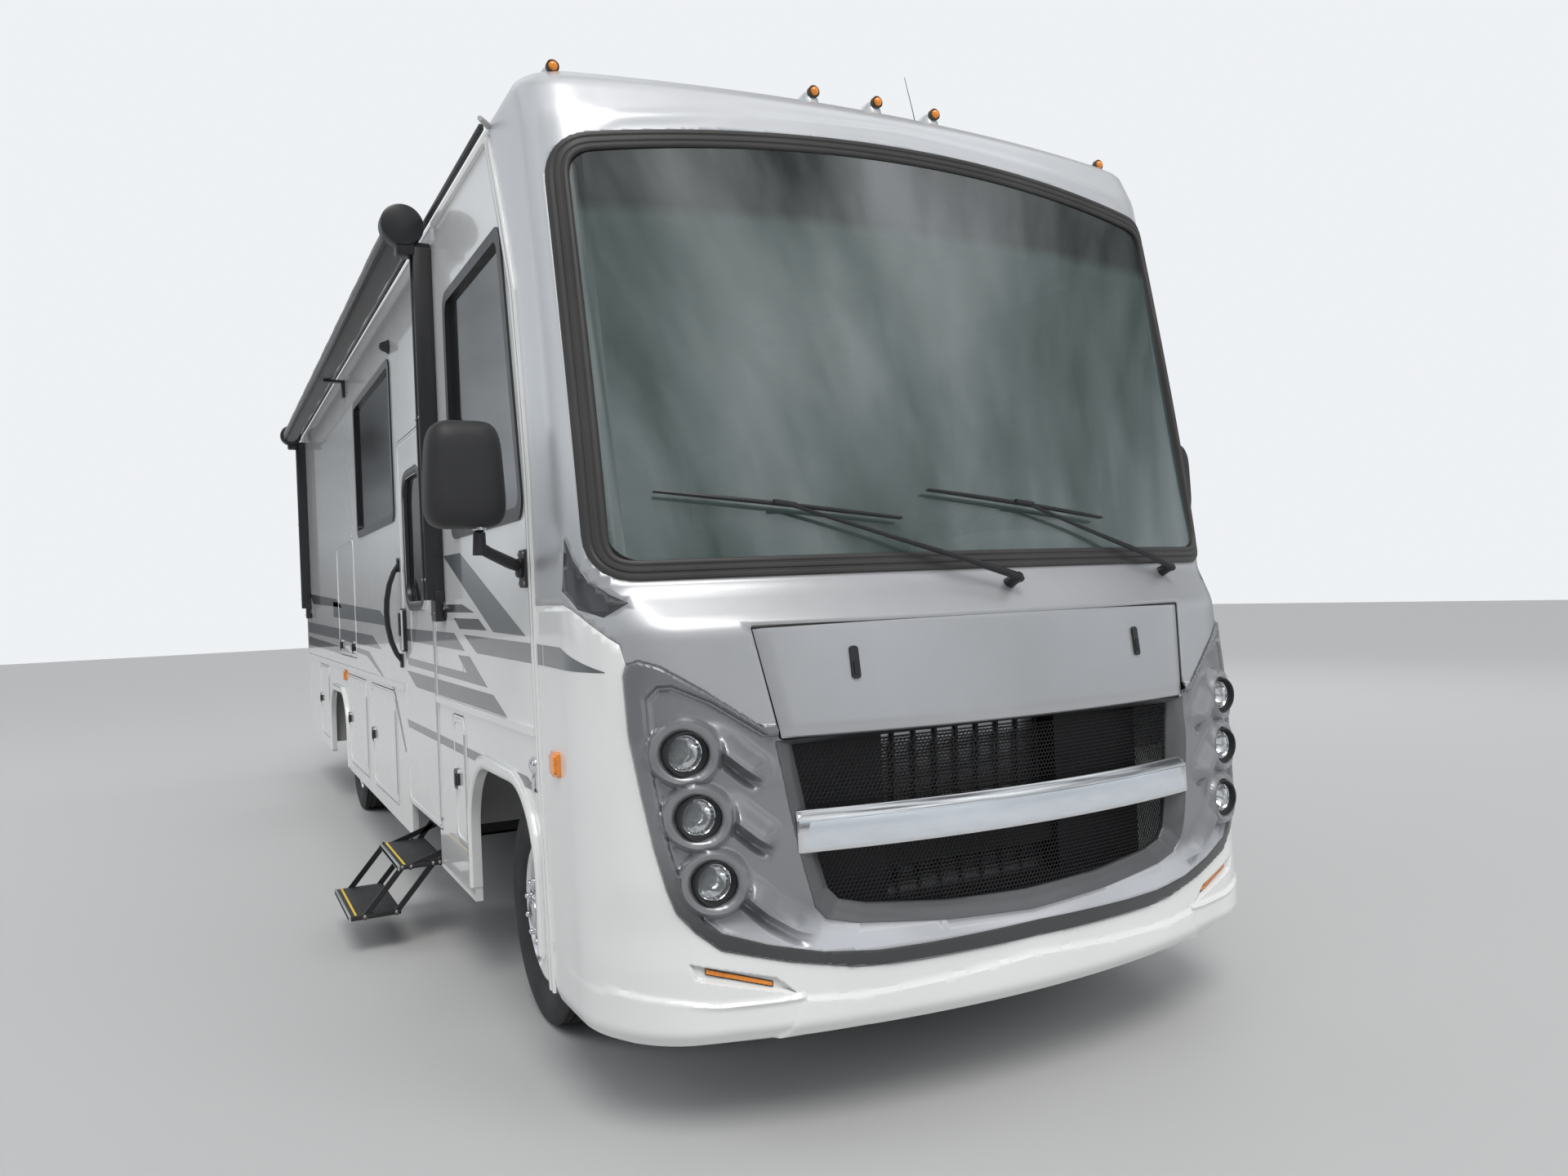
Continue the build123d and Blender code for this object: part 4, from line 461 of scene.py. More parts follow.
def skin_point(u, v):
    rows = level_at(v)
    nose, bow, corner, half, centre_x, centre_y, lean, first, second = outline_terms(rows)
    along = np.abs(u)
    angle = lean + (along - first) / corner
    x = np.where(along <= first, bow * np.sin(along / bow),
                 np.where(along <= first + second, centre_x + corner * np.sin(angle), half))
    y = np.where(along <= first, nose + bow - bow * np.cos(along / bow),
                 np.where(along <= first + second, centre_y - corner * np.cos(angle),
                          centre_y + along - first - second))
    return np.stack([np.sign(u) * x, y, rows[..., 0]], -1)


def skin(u, v, lift=0.0):
    """Points on the front's skin, lifted outwards."""
    u, v = np.broadcast_arrays(np.asarray(u, float), np.asarray(v, float))
    small = 0.003
    across = skin_point(u + small, v) - skin_point(u - small, v)
    upward = skin_point(u, v + small) - skin_point(u, v - small)
    normal = np.cross(across, upward)
    normal /= np.linalg.norm(normal, axis=-1, keepdims=True)
    return skin_point(u, v) + normal * np.asarray(lift)[..., None]


def from_front(x, z):
    """u and v of a place seen from ahead."""
    x, z = np.broadcast_arrays(np.asarray(x, float), np.asarray(z, float))
    v = np.interp(z, LEVELS[:, 0], WALK)
    _, bow, corner, half, centre_x, _, lean, first, _ = outline_terms(level_at(v))
    away = np.abs(x)
    inner = bow * np.arcsin(np.clip(away / bow, 0, 1))
    outer = first + corner * (np.arcsin(np.clip((away - centre_x) / corner, 0, 1)) - lean)
    return np.stack([np.sign(x) * np.where(away <= centre_x + corner * np.sin(lean), inner, outer), v], -1)


def from_side(y, z, sign=-1):
    """u and v of a place on the straight side behind the corner."""
    y, z = np.broadcast_arrays(np.asarray(y, float), np.asarray(z, float))
    v = np.interp(z, LEVELS[:, 0], WALK)
    *_, centre_y, _, first, second = outline_terms(level_at(v))
    return np.stack([sign * (first + second + y - centre_y), v], -1)


def walk(points, step, closed=False):
    """A polyline with extra points so that no stretch is longer than step."""
    points = [np.array(p, float) for p in points]
    ends = points[1:] + ([points[0]] if closed else [])
    result = []
    for a, b in zip(points, ends):
        count = max(1, math.ceil(np.linalg.norm(b - a) / step))
        result += [a + (b - a) * k / count for k in range(count)]
    if not closed:
        result.append(points[-1])
    return np.array(result)


def front_line(points, step=0.02, closed=False):
    """A line drawn as (x, z) seen from ahead, as u and v."""
    line = walk(points, step, closed)
    return from_front(line[:, 0], line[:, 1])


print("skin walks", round(WALK[-1], 3), "m from bumper to roof")

# %% [markdown]
# ## The front moulding
# On the real coach the nose is one big glass-fibre moulding: brow, pillars, cowl, lamp fascia and
# bumper flow into each other and only the paint changes. Here the whole skin is triangulated
# once over (u, v) with every opening, crease and paint border as a forced edge, lifted by a relief
# function, and then parted along the paint borders and along the outline of a painted dark
# reflection at the foot of each pillar.

# %% Outlines seen from ahead, one side; the other is mirrored
SEAM = [(0.806, 0.28), (0.88, 0.88), (0.9, 2.04), (1.0, 2.64), (1.255, 3.24), (1.255, 3.392)]
SCREEN = [(1.238, 1.626), (1.246, 3.012)]
SCREEN_CROWN = 3.104
SCREEN_CORNER = 0.15
HOOD = [(0.787, 1.156), (0.84, 1.476)]
GRILLE_OUT = [(0.806, 1.15), (0.783, 0.98), (0.752, 0.8), (0.722, 0.672), (0.69, 0.634), (0.6, 0.612),
              (0.3, 0.582), (0.0, 0.568)]
GRILLE_IN = [(0.752, 1.134), (0.722, 0.95), (0.694, 0.8), (0.672, 0.715), (0.64, 0.68), (0.56, 0.66),
             (0.3, 0.634), (0.0, 0.624)]
LAMPS = [(1.052, 1.131), (1.027, 0.952), (0.996, 0.769)]
FLANGE_OUT = [(0.844, 1.196), (0.994, 1.306), (1.1, 1.378), (1.15, 1.396), (1.178, 1.385), (1.187, 1.35),
              (1.185, 1.187), (1.165, 1.02), (1.143, 0.869), (1.12, 0.756), (1.101, 0.69), (1.057, 0.634),
              (0.989, 0.577), (0.802, 0.526), (0.605, 0.487), (0.407, 0.479), (0.0, 0.485)]
FLANGE_IN = [(0.838, 1.17), (0.975, 1.268), (1.075, 1.318), (1.11, 1.316), (1.138, 1.285), (1.137, 1.119),
             (1.125, 1.005), (1.108, 0.891), (1.073, 0.732), (1.032, 0.672), (0.986, 0.629), (0.862, 0.585),
             (0.71, 0.549), (0.549, 0.533), (0.389, 0.532), (0.0, 0.539)]
FINS = [[(0.975, 1.15), (0.9, 1.082), (0.838, 1.035)], [(0.955, 0.958), (0.88, 0.89), (0.818, 0.845)],
        [(0.925, 0.735), (0.859, 0.672), (0.783, 0.622), (0.715, 0.592)]]
LIP_TOP = [(0.0, 0.429), (0.316, 0.411), (0.606, 0.401), (0.752, 0.412), (0.768, 0.384), (0.796, 0.321),
           (0.87, 0.27)]
HORN_TOP = [(0.77, 0.424), (0.832, 0.42), (0.994, 0.42), (1.14, 0.44), (1.25, 0.452)]
SIGNAL = [(0.785, 0.436), (1.06, 0.5), (1.076, 0.546), (0.842, 0.486)]
# outline, seen from ahead, of a painted dark reflection at the foot of each pillar
PILLAR_REFLECTION = [(1.275, 1.76), (1.262, 1.69), (1.235, 1.628), (1.19, 1.585), (1.15, 1.56), (1.215, 1.52),
          (1.262, 1.545), (1.2815, 1.6)]
PAINT_EDGE = [(1.2815, 1.56), (1.271, 1.543), (1.244, 1.501), (1.21, 1.46), (1.188, 1.441), (1.178, 1.385)]
PAINT_TOP = 1.561


def seam_y(z):
    return np.interp(z, [p[1] for p in SEAM[:-1]], [p[0] for p in SEAM[:-1]])


def on_side(points, sign):
    return [(sign * x, z) for x, z in points]


def both(points):
    """One-sided outline completed to a closed symmetric one."""
    right = [np.array(p) for p in points]
    left = [np.array((-p[0], p[1])) for p in reversed(points) if p[0] > 0]
    return right + left


def inside(points, polygon):
    """Which (n, 2) points lie in a closed polygon."""
    polygon = np.array(polygon)
    x, y = points[:, 0], points[:, 1]
    result = np.zeros(len(points), bool)
    for a, b in zip(polygon, np.roll(polygon, -1, axis=0)):
        crosses = (a[1] > y) != (b[1] > y)
        if a[1] != b[1]:
            result ^= crosses & (x < (b[0] - a[0]) * (y - a[1]) / (b[1] - a[1]) + a[0])
    return result


def off_line(points, line, closed=False):
    """Distance of (n, 2) points from a polyline, and the share of its length at the nearest place."""
    line = np.array(line, float)
    if closed:
        line = np.vstack([line, line[:1]])
    best = np.full(len(points), 1e9)
    where = np.zeros(len(points))
    lengths = np.hypot(*np.diff(line, axis=0).T)
    run = 0.0
    for a, b, length in zip(line[:-1], line[1:], lengths):
        t = np.clip(((points - a) @ (b - a)) / length ** 2, 0, 1)
        gap = np.hypot(*(points - (a + t[:, None] * (b - a))).T)
        closer = gap < best
        best = np.where(closer, gap, best)
        where = np.where(closer, run + t * length, where)
        run += length
    return best, where / run


def soft(value, low, high):
    t = np.clip((value - low) / (high - low), 0, 1)
    return t * t * (3 - 2 * t)


screen_top = [(x, SCREEN[1][1] + (SCREEN_CROWN - SCREEN[1][1]) * (1 - (x / SCREEN[1][0]) ** 2))
              for x in np.linspace(SCREEN[1][0], 0, 13)]
sill = [(x, SCREEN[0][1]) for x in np.linspace(0, SCREEN[0][0], 9)[:-1]]
jamb = [SCREEN[0], *[(x, z) for x, z in zip(np.linspace(SCREEN[0][0], SCREEN[1][0], 5)[1:-1],
        np.linspace(SCREEN[0][1], SCREEN[1][1], 5)[1:-1])]]
SCREEN_EDGE = both([*sill, *jamb, *screen_top])


def corner_round(loop, corners, radius):
    """Rounds only the corners near the named places, the rest of the loop stays as drawn."""
    loop = np.array(loop)
    for corner in corners:
        far = np.hypot(*(loop - corner).T) > radius
        start = int(np.argmax(~far & np.roll(far, 1)))
        loop = np.roll(loop, -start, axis=0)
        far = np.roll(far, -start)
        run = int(np.argmax(far))
        a, b = loop[-1], loop[run]
        a = corner + (a - corner) / np.linalg.norm(a - corner) * radius
        b = corner + (b - corner) / np.linalg.norm(b - corner) * radius
        bend = [(1 - t) ** 2 * a + 2 * t * (1 - t) * np.array(corner) + t ** 2 * b
                for t in np.linspace(0, 1, 9)]
        loop = np.vstack([bend, loop[run:]])
    return loop


SCREEN_LOOP = corner_round(SCREEN_EDGE, [(s * x, z) for s in (-1, 1) for x, z in SCREEN],
        SCREEN_CORNER * 0.9)
HOOD_LOOP = rounded([(-HOOD[0][0] - 0.006, HOOD[0][1] - 0.006), (HOOD[0][0] + 0.006, HOOD[0][1] - 0.006),
                     (HOOD[1][0] + 0.006, HOOD[1][1] + 0.006), (-HOOD[1][0] - 0.006, HOOD[1][1] + 0.006)],
                    0.012, 4)
GRILLE_LOOP = both(GRILLE_OUT)
print("windscreen loop", len(SCREEN_LOOP), "points")

# %% Relief of the front: how far each place stands out from the plain skin
LAMP_HOLE = 0.06
recess_side = [*FLANGE_IN, (0.0, 1.17)]
band_side = [*FLANGE_OUT, (0.0, 1.196)]
BROW = [(0.0, 3.168), (0.739, 3.134), (1.02, 3.09), (1.18, 3.02)]
BROW_REACH = 0.035


def relief(points):
    """Lift at (x, z) places seen from ahead, in metres."""
    spot = np.stack([np.abs(points[:, 0]), points[:, 1]], -1)
    wide, high = spot.T
    to_out, to_in, to_grille = (off_line(spot, line)[0] for line in (FLANGE_OUT, FLANGE_IN, GRILLE_OUT))
    within_out = inside(spot, band_side)
    within_in = inside(spot, recess_side)
    # the bumper's lips stand furthest out, everything above them starts a little deeper
    depth = 0.011 * (1 - soft(high, 0.6, 0.78))
    low = 1 - soft(high, 0.62, 0.7)
    crown = 0.011 * soft(to_out, 0, 0.007) * np.maximum(soft(to_in, 0, 0.01), low)
    hollow = -0.013 * soft(to_in, 0, 0.012) * (1 - 0.8 * soft(to_in, 0.05, 0.16)) * soft(high, 0.6, 0.68)
    under_lip = low * (0.011 - 0.02 * np.minimum(1, to_in / (to_in + to_grille + 1e-6)))
    lift = np.where(within_in, hollow + under_lip, np.where(within_out, crown, 0.0)) - depth * within_out
    for fin in FINS:
        gap, share = off_line(spot, fin)
        line = np.array(fin)
        ridge_z = np.interp(-wide, -line[:, 0], line[:, 1])
        above = high > ridge_z
        reach = np.where(above, 0.082, 0.012)
        height = 0.044 * soft(share, -0.3, 0.22) * (1 - soft(share, 0.65, 1.02))
        lift = lift + np.where(within_in, height * (1 - soft(gap, 0, reach)) ** 1.3, 0)
        shade = 0.022 * (1 - soft(np.abs(ridge_z - high - 0.03), 0, 0.028)) * (1 - soft(share, 0.7, 1.0))
        lift = lift - np.where(within_in & ~above & (gap < 0.06), shade, 0)
    for x, z in LAMPS:
        r = np.hypot(wide - x, high - z)
        cone = np.interp(r, [0, LAMP_HOLE, 0.068, 0.083, 0.09, 0.104],
                         [0.006, 0.006, 0.017, 0.021, 0.014, -0.004])
        share = 1 - soft(r, 0.09, 0.106)
        lift = np.where(r < 0.106, cone * share + lift * (1 - share), lift)
    lip = inside(spot, [*LIP_TOP, (0.86, 0.2), (0.0, 0.2)])
    horn = inside(spot, [*HORN_TOP, (1.35, 0.452), (1.35, 0.2), (0.87, 0.2), (0.87, 0.27), (0.796, 0.321),
                         (0.768, 0.384)])
    to_lip, to_horn = off_line(spot, LIP_TOP)[0], off_line(spot, HORN_TOP)[0]
    bumper = ~within_out & (high < 0.8)
    away_from_lips = np.minimum(soft(to_lip, 0, 0.014), soft(to_horn, 0, 0.014))
    sunk = -depth * away_from_lips * (1 - soft(wide, 1.22, 1.3))
    lift = np.where(bumper & ~lip & ~horn, sunk, lift)
    shelf = -0.007 * soft(to_lip, 0, 0.012) * soft(to_horn, 0, 0.012) * (1 - soft(wide, 0.9, 1.15))
    lift = np.where(horn, shelf, lift)
    ridge = 0.006 * (1 - soft(off_line(spot, BROW)[0], 0, BROW_REACH)) * (1 - soft(wide, 0.95, 1.17))
    return lift + ridge


# %% Triangulate the whole front once
def cells(u0, u1, v0, v1, step):
    u, v = np.meshgrid(np.arange(u0, u1, step), np.arange(v0, v1, step))
    return np.stack([u.ravel(), v.ravel()], -1)


def u_at(x, z):
    return float(from_front(x, z)[0])


def v_at(z):
    return float(np.interp(z, LEVELS[:, 0], WALK))


def outside_boxes(points, boxes):
    keep = np.ones(len(points), bool)
    u, v = np.abs(points[:, 0]), points[:, 1]
    for u0, u1, v0, v1 in boxes:
        keep &= ~((u > u0) & (u < u1) & (v > v0) & (v < v1))
    return points[keep]


edge_z = np.array([0.3, 0.345, 0.52, 0.83, 1.16, 1.48, 1.6, 2.0, 2.4, 2.8, 3.11, 3.235, 3.292, 3.335, 3.368,
                   3.392])
edge_z = np.unique(np.concatenate([edge_z, np.linspace(0.3, 3.392, 90)]))
rear_line = [from_side(seam_y(z), z, 1) for z in edge_z]
border = [(u, v) for u, v in rear_line] + [(-u, v) for u, v in reversed(rear_line)]
lamp_box = (u_at(0.7, 0.9), u_at(1.215, 1.2), v_at(0.56), v_at(1.42))
bumper_box = (-1, 1.75, v_at(0.3) + 0.004, v_at(0.56))
coarse = cells(-2.2, 2.2, 0.012, WALK[-1] - 0.006, 0.028)
horn_box = (u_at(0.7, 0.5), u_at(1.2, 0.5), v_at(0.3) + 0.004, v_at(0.56))
middle = outside_boxes(cells(-1.75, 1.75, bumper_box[2], bumper_box[3], 0.009), [horn_box])
sharp = cells(-horn_box[1], horn_box[1], horn_box[2], horn_box[3], 0.0058)
sharp = sharp[np.abs(sharp[:, 0]) > horn_box[0]]
fine = cells(-lamp_box[1], lamp_box[1], lamp_box[2], lamp_box[3], 0.0065)
coarse = outside_boxes(coarse, [lamp_box, bumper_box])
brow_line = front_line([(-x, z) for x, z in reversed(BROW)] + BROW[1:], 0.02)
crest = cells(-1.9, 1.9, v_at(2.98), v_at(3.24), 0.0085)
crest = crest[off_line(crest, brow_line)[0] < 1.5 * BROW_REACH]
coarse = coarse[off_line(coarse, brow_line)[0] >= 1.5 * BROW_REACH]
fine = fine[np.abs(fine[:, 0]) > lamp_box[0]]
cloud = np.vstack([coarse, crest, middle, sharp, fine])
border_now = np.array(border)
cloud = cloud[inside(cloud, border_now)]
cloud = cloud[off_line(cloud, border_now, True)[0] > 0.004]
lines = [(border_now, True)]


def force(points, step, closed=False):
    """A drawn line becomes a forced edge."""
    lines.append((front_line(points, step, closed), closed))


force(SCREEN_LOOP, 0.02, True)
force(HOOD_LOOP, 0.02, True)
force(GRILLE_LOOP, 0.012, True)
force(both(FLANGE_OUT)[:-1], 0.01)
force(both(FLANGE_IN), 0.01)
around = np.arange(56) * 2 * math.pi / 56
for sign in (-1, 1):
    for line in (LIP_TOP, HORN_TOP):
        force(on_side(line, sign), 0.012)
    force(on_side(SIGNAL, sign), 0.01, True)
    for fin in FINS:
        force(on_side(fin, sign), 0.008)
        force([(sign * (x - 0.004), z - 0.011) for x, z in fin[:-1]], 0.008)
    for x, z in LAMPS:
        for radius in (LAMP_HOLE, 0.083, 0.104):
            circle = [(sign * (x + radius * math.cos(a)), z + radius * math.sin(a)) for a in around]
            force(circle, 1.0, True)
    force(on_side(PILLAR_REFLECTION, sign), 0.012, True)
    starts = [from_side(y, PAINT_TOP, sign) for y in (seam_y(PAINT_TOP), 0.726)]
    lines.append((np.vstack([starts, front_line(on_side(PAINT_EDGE, sign), 0.012)]), False))
for line, closed in lines:
    cloud = cloud[off_line(cloud, line, closed)[0] >= 0.0032]
start = len(cloud)
forced = []
stack = [cloud]
for line, closed in lines:
    count = len(line)
    forced += [(start + k, start + (k + 1) % count) for k in range(count if closed else count - 1)]
    stack.append(line)
    start += count
flat = np.vstack(stack)
coords, _, triangles, _, _, _ = geometry.delaunay_2d_cdt([Vector(p) for p in flat], forced, [], 0, 1e-5)
coords = np.array([c[:] for c in coords])
triangles = np.array([t for t in triangles if len(t) == 3])
middles = coords[triangles].mean(axis=1)
triangles = triangles[inside(middles, border_now)]
middles = coords[triangles].mean(axis=1)
spots = skin(middles[:, 0], middles[:, 1])
seen = spots[:, [0, 2]]
print(len(coords), "points and", len(triangles), "triangles on the front")

# %% Part the skin by paint and by a painted reflection, and make the pieces
away = np.stack([np.abs(seen[:, 0]), seen[:, 1]], -1)
hole = inside(seen, SCREEN_LOOP) | inside(seen, HOOD_LOOP) | inside(seen, GRILLE_LOOP)
for x, z in LAMPS:
    hole |= np.hypot(away[:, 0] - x, away[:, 1] - z) < LAMP_HOLE - 0.0005
hole |= inside(away, SIGNAL)
flange_zone = inside(away, [*FLANGE_OUT, (0.0, 1.196)])
fascia_zone = inside(away, [*FLANGE_IN, (0.0, 1.17)])
pillar_reflection = inside(away, PILLAR_REFLECTION)
edge_line = [(0.0, 1.3), (0.844, 1.196), (1.178, 1.385), *reversed(PAINT_EDGE[:-1]), (1.3, 1.56),
             (1.3, 1.62), (1.3, 3.6), (0.0, 3.6)]
zone = np.where(inside(away, edge_line), 1, 0)
zone = np.where(flange_zone, 2, zone)
zone = np.where(flange_zone & ~fascia_zone, 3, zone)
# the dark wedge at the pillar foot is a painted reflection
zone = np.where(pillar_reflection & ~hole, 4, zone)
zone = np.where(hole, -1, zone)


def shell(name, material, chosen, thickness=0.01, stands_for=()):
    """The chosen triangles as a moulding with real thickness."""
    faces = triangles[chosen]
    used = np.unique(faces)
    order = np.full(len(coords), -1)
    order[used] = np.arange(len(used))
    uv = coords[used]
    plain = skin(uv[:, 0], uv[:, 1])
    points = skin(uv[:, 0], uv[:, 1], relief(plain[:, [0, 2]]) * (1 - soft(plain[:, 1], 0.6, 0.75)))
    half = np.abs(points[:, 0])
    points[:, 0] = np.sign(points[:, 0]) * np.minimum(half, HALF)
    points[:, 1] = np.maximum(points[:, 1], 0.0)

    def give_thickness(obj):
        solid = obj.modifiers.new("moulding thickness", "SOLIDIFY")
        solid.thickness = thickness
        solid.offset = -1

    piece(name, [(points, [tuple(int(i) for i in order[f]) for f in faces])], material,
          modifiers=give_thickness, recalc=False, smooth=38, stands_for=stands_for)
    print(name, len(faces), "triangles")


shell("front_white_moulding", "white_gelcoat", zone == 0, stands_for=("front_cap",))
# brow, pillars and cowl in silver with a painted sky reflection
shell("front_silver_moulding", "sky_lit_front_silver", zone == 1)
# the fascia's light lip is a painted highlight
shell("lamp_fascia", "pewter_paint", zone == 2)
# the surround's dark lower part is painted shade
shell("lamp_surround", "surround_paint", zone == 3)
# a painted dark reflection at the foot of each pillar
shell("pillar_foot_painted_reflection", "pillar_reflection_dark", zone == 4)

# %% [markdown]
# ## Light, camera and floor
# The photograph was taken at eye height close to the curb-side corner. The camera below has the
# focal length and place that were fitted to it, so the picture can be laid over the photo.

# %% Camera, lights and floor
scene = bpy.context.scene
SENSOR, FOCAL_PIXELS, PHOTO_WIDTH = 36.0, 1386.1, 1920
YAW, PITCH, ROLL = 0.479666, 0.0030886, -0.0412403
SPOT = (-2.25519 + CENTRE_X, -2.74001 + NOSE_Y, 1.57449)
ahead0 = Vector((math.sin(YAW), math.cos(YAW), 0))
right0 = Vector((math.cos(YAW), -math.sin(YAW), 0))
up0 = Vector((0, 0, 1))
ahead = ahead0 * math.cos(PITCH) + up0 * math.sin(PITCH)
up1 = up0 * math.cos(PITCH) - ahead0 * math.sin(PITCH)
right = right0 * math.cos(ROLL) + up1 * math.sin(ROLL)
up = up1 * math.cos(ROLL) - right0 * math.sin(ROLL)
lens = bpy.data.cameras.new("photo_camera")
lens.sensor_fit = "HORIZONTAL"
lens.sensor_width = SENSOR
lens.lens = SENSOR * FOCAL_PIXELS / PHOTO_WIDTH
lens.clip_end = 200
camera = bpy.data.objects.new("photo_camera", lens)
camera.matrix_world = Matrix((right, up, -ahead)).transposed().to_4x4()
camera.location = SPOT
scene.collection.objects.link(camera)
scene.camera = camera


def lamp(name, kind, place, target, power, size, colour=(1, 1, 1)):
    data = bpy.data.lights.new(name, kind)
    data.energy = power
    data.color = colour
    if kind == "AREA":
        data.shape = "DISK"
        data.size = size
    else:
        data.angle = size
    obj = bpy.data.objects.new(name, data)
    obj.location = place
    obj.rotation_euler = (Vector(target) - Vector(place)).to_track_quat("-Z", "Y").to_euler()
    obj.visible_glossy = kind == "SUN"
    scene.collection.objects.link(obj)


lamp("high_sun", "SUN", (-3, -10, 13), (0, -2, 0.5), 1.5, math.radians(28), (1.0, 0.98, 0.95))
lamp("curb_sky", "AREA", (-12, 2, 8), (0, 0, 1.2), 330, 7.0, (0.93, 0.96, 1.0))
lamp("front_sky", "AREA", (5, -15, 7), (0, -4, 1.5), 380, 7.0)
lamp("far_sky", "AREA", (11, 4, 9), (0, 0, 1.2), 260, 8.0, (0.95, 0.97, 1.0))
floor_mesh = bpy.data.meshes.new("studio_floor")
floor_points = [(-45, -45, -0.002), (45, -45, -0.002), (45, 45, -0.002), (-45, 45, -0.002)]
floor_mesh.from_pydata(floor_points, [], [(0, 1, 2, 3)])
studio_floor = bpy.data.objects.new("studio_floor", floor_mesh)
floor_finish = bpy.data.materials.new("studio_floor")
floor_finish.use_nodes = True
floor_finish.node_tree.nodes["Principled BSDF"].inputs["Base Color"].default_value = (0.5, 0.5, 0.5, 1)
floor_finish.node_tree.nodes["Principled BSDF"].inputs["Roughness"].default_value = 0.75
floor_mesh.materials.append(floor_finish)
scene.collection.objects.link(studio_floor)

world = bpy.data.worlds.new("soft_sky")
scene.world = world
world.use_nodes = True
sky = world.node_tree
sky.nodes.clear()
sky_place = add_node(sky, "ShaderNodeTexCoord")
split = add_node(sky, "ShaderNodeSeparateXYZ")
half_up = add_node(sky, "ShaderNodeMapRange", {"From Min": -1, "From Max": 1})
rise = add_node(sky, "ShaderNodeValToRGB")
for end, spot, colour in zip(rise.color_ramp.elements, (0.47, 0.56),
        ((0.2, 0.2, 0.21, 1), (0.62, 0.66, 0.7, 1))):
    end.position = spot
    end.color = colour
rise.color_ramp.elements.new(0.95).color = (0.95, 0.97, 1.0, 1)
clouds = add_node(sky, "ShaderNodeTexNoise", {"Scale": 3.0, "Detail": 6.0})
lift_cloud = add_node(sky, "ShaderNodeMapRange",
                      {"From Min": 0.38, "From Max": 0.66, "To Min": 0.1, "To Max": 1.9})
patch = add_node(sky, "ShaderNodeMixRGB", {"Fac": 0.92}, blend_type="MULTIPLY")
glow = add_node(sky, "ShaderNodeBackground", {"Strength": 0.75})
backdrop = add_node(sky, "ShaderNodeBackground", {"Color": (0.86, 0.88, 0.9, 1), "Strength": 1.0})
path = add_node(sky, "ShaderNodeLightPath")
mix = add_node(sky, "ShaderNodeMixShader")
out = add_node(sky, "ShaderNodeOutputWorld")
wire_up(sky, (sky_place, "Generated", split, "Vector"), (split, "Z", half_up, "Value"),
        (half_up, "Result", rise, "Fac"), (sky_place, "Generated", clouds, "Vector"),
        (clouds, "Fac", lift_cloud, "Value"), (rise, "Color", patch, "Color1"),
        (lift_cloud, "Result", patch, "Color2"), (patch, "Color", glow, "Color"),
        (path, "Is Camera Ray", mix, "Fac"), (glow, "Background", mix, 1), (backdrop, "Background", mix, 2),
        (mix, "Shader", out, "Surface"))
scene.view_settings.view_transform = "Standard"
print("camera at", [round(c, 3) for c in camera.location])

# %% [markdown]
# ## Grille, bar and hood
# Behind the nose opening sits a deep charcoal frame, and in it an expanded hexagonal mesh bent to
# the bow of the cap. The mesh is one small hexagon repeated, so a Geometry Nodes tree places it
# on the cell centres. A bright bar with a filmed face divides the opening.


# %% Lines and bars that follow the skin
def even(line, count):
    """The same number of points on every stretch of a line."""
    line = np.array(line, float)
    return np.vstack([line[k] + (line[k + 1] - line[k]) * np.arange(count)[:, None] / count
                      for k in range(len(line) - 1)] + [line[-1:]])


def skin_at(points, lift=0.0):
    """Coach points on the skin at (x, z) places, lifted."""
    points = np.array(points, float)
    uv = from_front(points[:, 0], points[:, 1])
    return skin(uv[:, 0], uv[:, 1], np.broadcast_to(np.array(lift, float), len(points)))


outer_line = np.array(both(even(GRILLE_OUT, 7)))
inner_line = np.array(both(even(GRILLE_IN, 7)))
rim_lift = relief(outer_line)
bevel = [skin_at(outer_line * (1 - share) + inner_line * share, lift) for share, lift in (
    (0.0, rim_lift - 0.006), (0.0, rim_lift - 0.0005), (0.04, rim_lift + 0.0015), (0.12, rim_lift - 0.001),
    (0.92, -0.042), (1.0, -0.048), (1.0, -0.062), (0.9, -0.064), (0.0, -0.034))]
piece("grille_bevel", [ring(bevel)], "graphite_paint", stands_for=("grille",))

BAR_LOW, BAR_HIGH, BAR_END = 0.826, 0.95, 0.7575
bar_x = np.concatenate([[-0.762], np.linspace(-0.757, 0.757, 61), [0.762]])


def bar_piece(section):
    """The bar's section carried across the opening, a little smaller at both ends."""
    loops = []
    middle = (BAR_LOW + BAR_HIGH) / 2
    for x in bar_x:
        at_end = abs(x) > BAR_END
        loops.append(skin_at([(x, middle + (z - middle) * (0.96 if at_end else 1.0)) for z, _ in section],
                             [min(lift, 0.0) if at_end else lift for _, lift in section]))
    return capped(loops)


bar_section = [(BAR_LOW, -0.03), (BAR_LOW, -0.004), (BAR_LOW + 0.004, 0.002), (BAR_LOW + 0.012, 0.004),
               (BAR_HIGH - 0.03, 0.006), (BAR_HIGH - 0.026, 0.005), (BAR_HIGH - 0.004, -0.008),
               (BAR_HIGH, -0.014), (BAR_HIGH, -0.03)]
piece("grille_bar", [bar_piece(bar_section)], "polished_alloy", smooth=28)
film_section = [(BAR_LOW + 0.013, 0.0035), (BAR_LOW + 0.013, 0.0062), (BAR_LOW + 0.015, 0.0068),
                (BAR_HIGH - 0.035, 0.0084), (BAR_HIGH - 0.033, 0.0078), (BAR_HIGH - 0.033, 0.004)]
film_points, film_faces = bar_piece(film_section)
piece("grille_bar_film", [(film_points * np.array([0.985, 1, 1]), film_faces)], "filmed_bar")

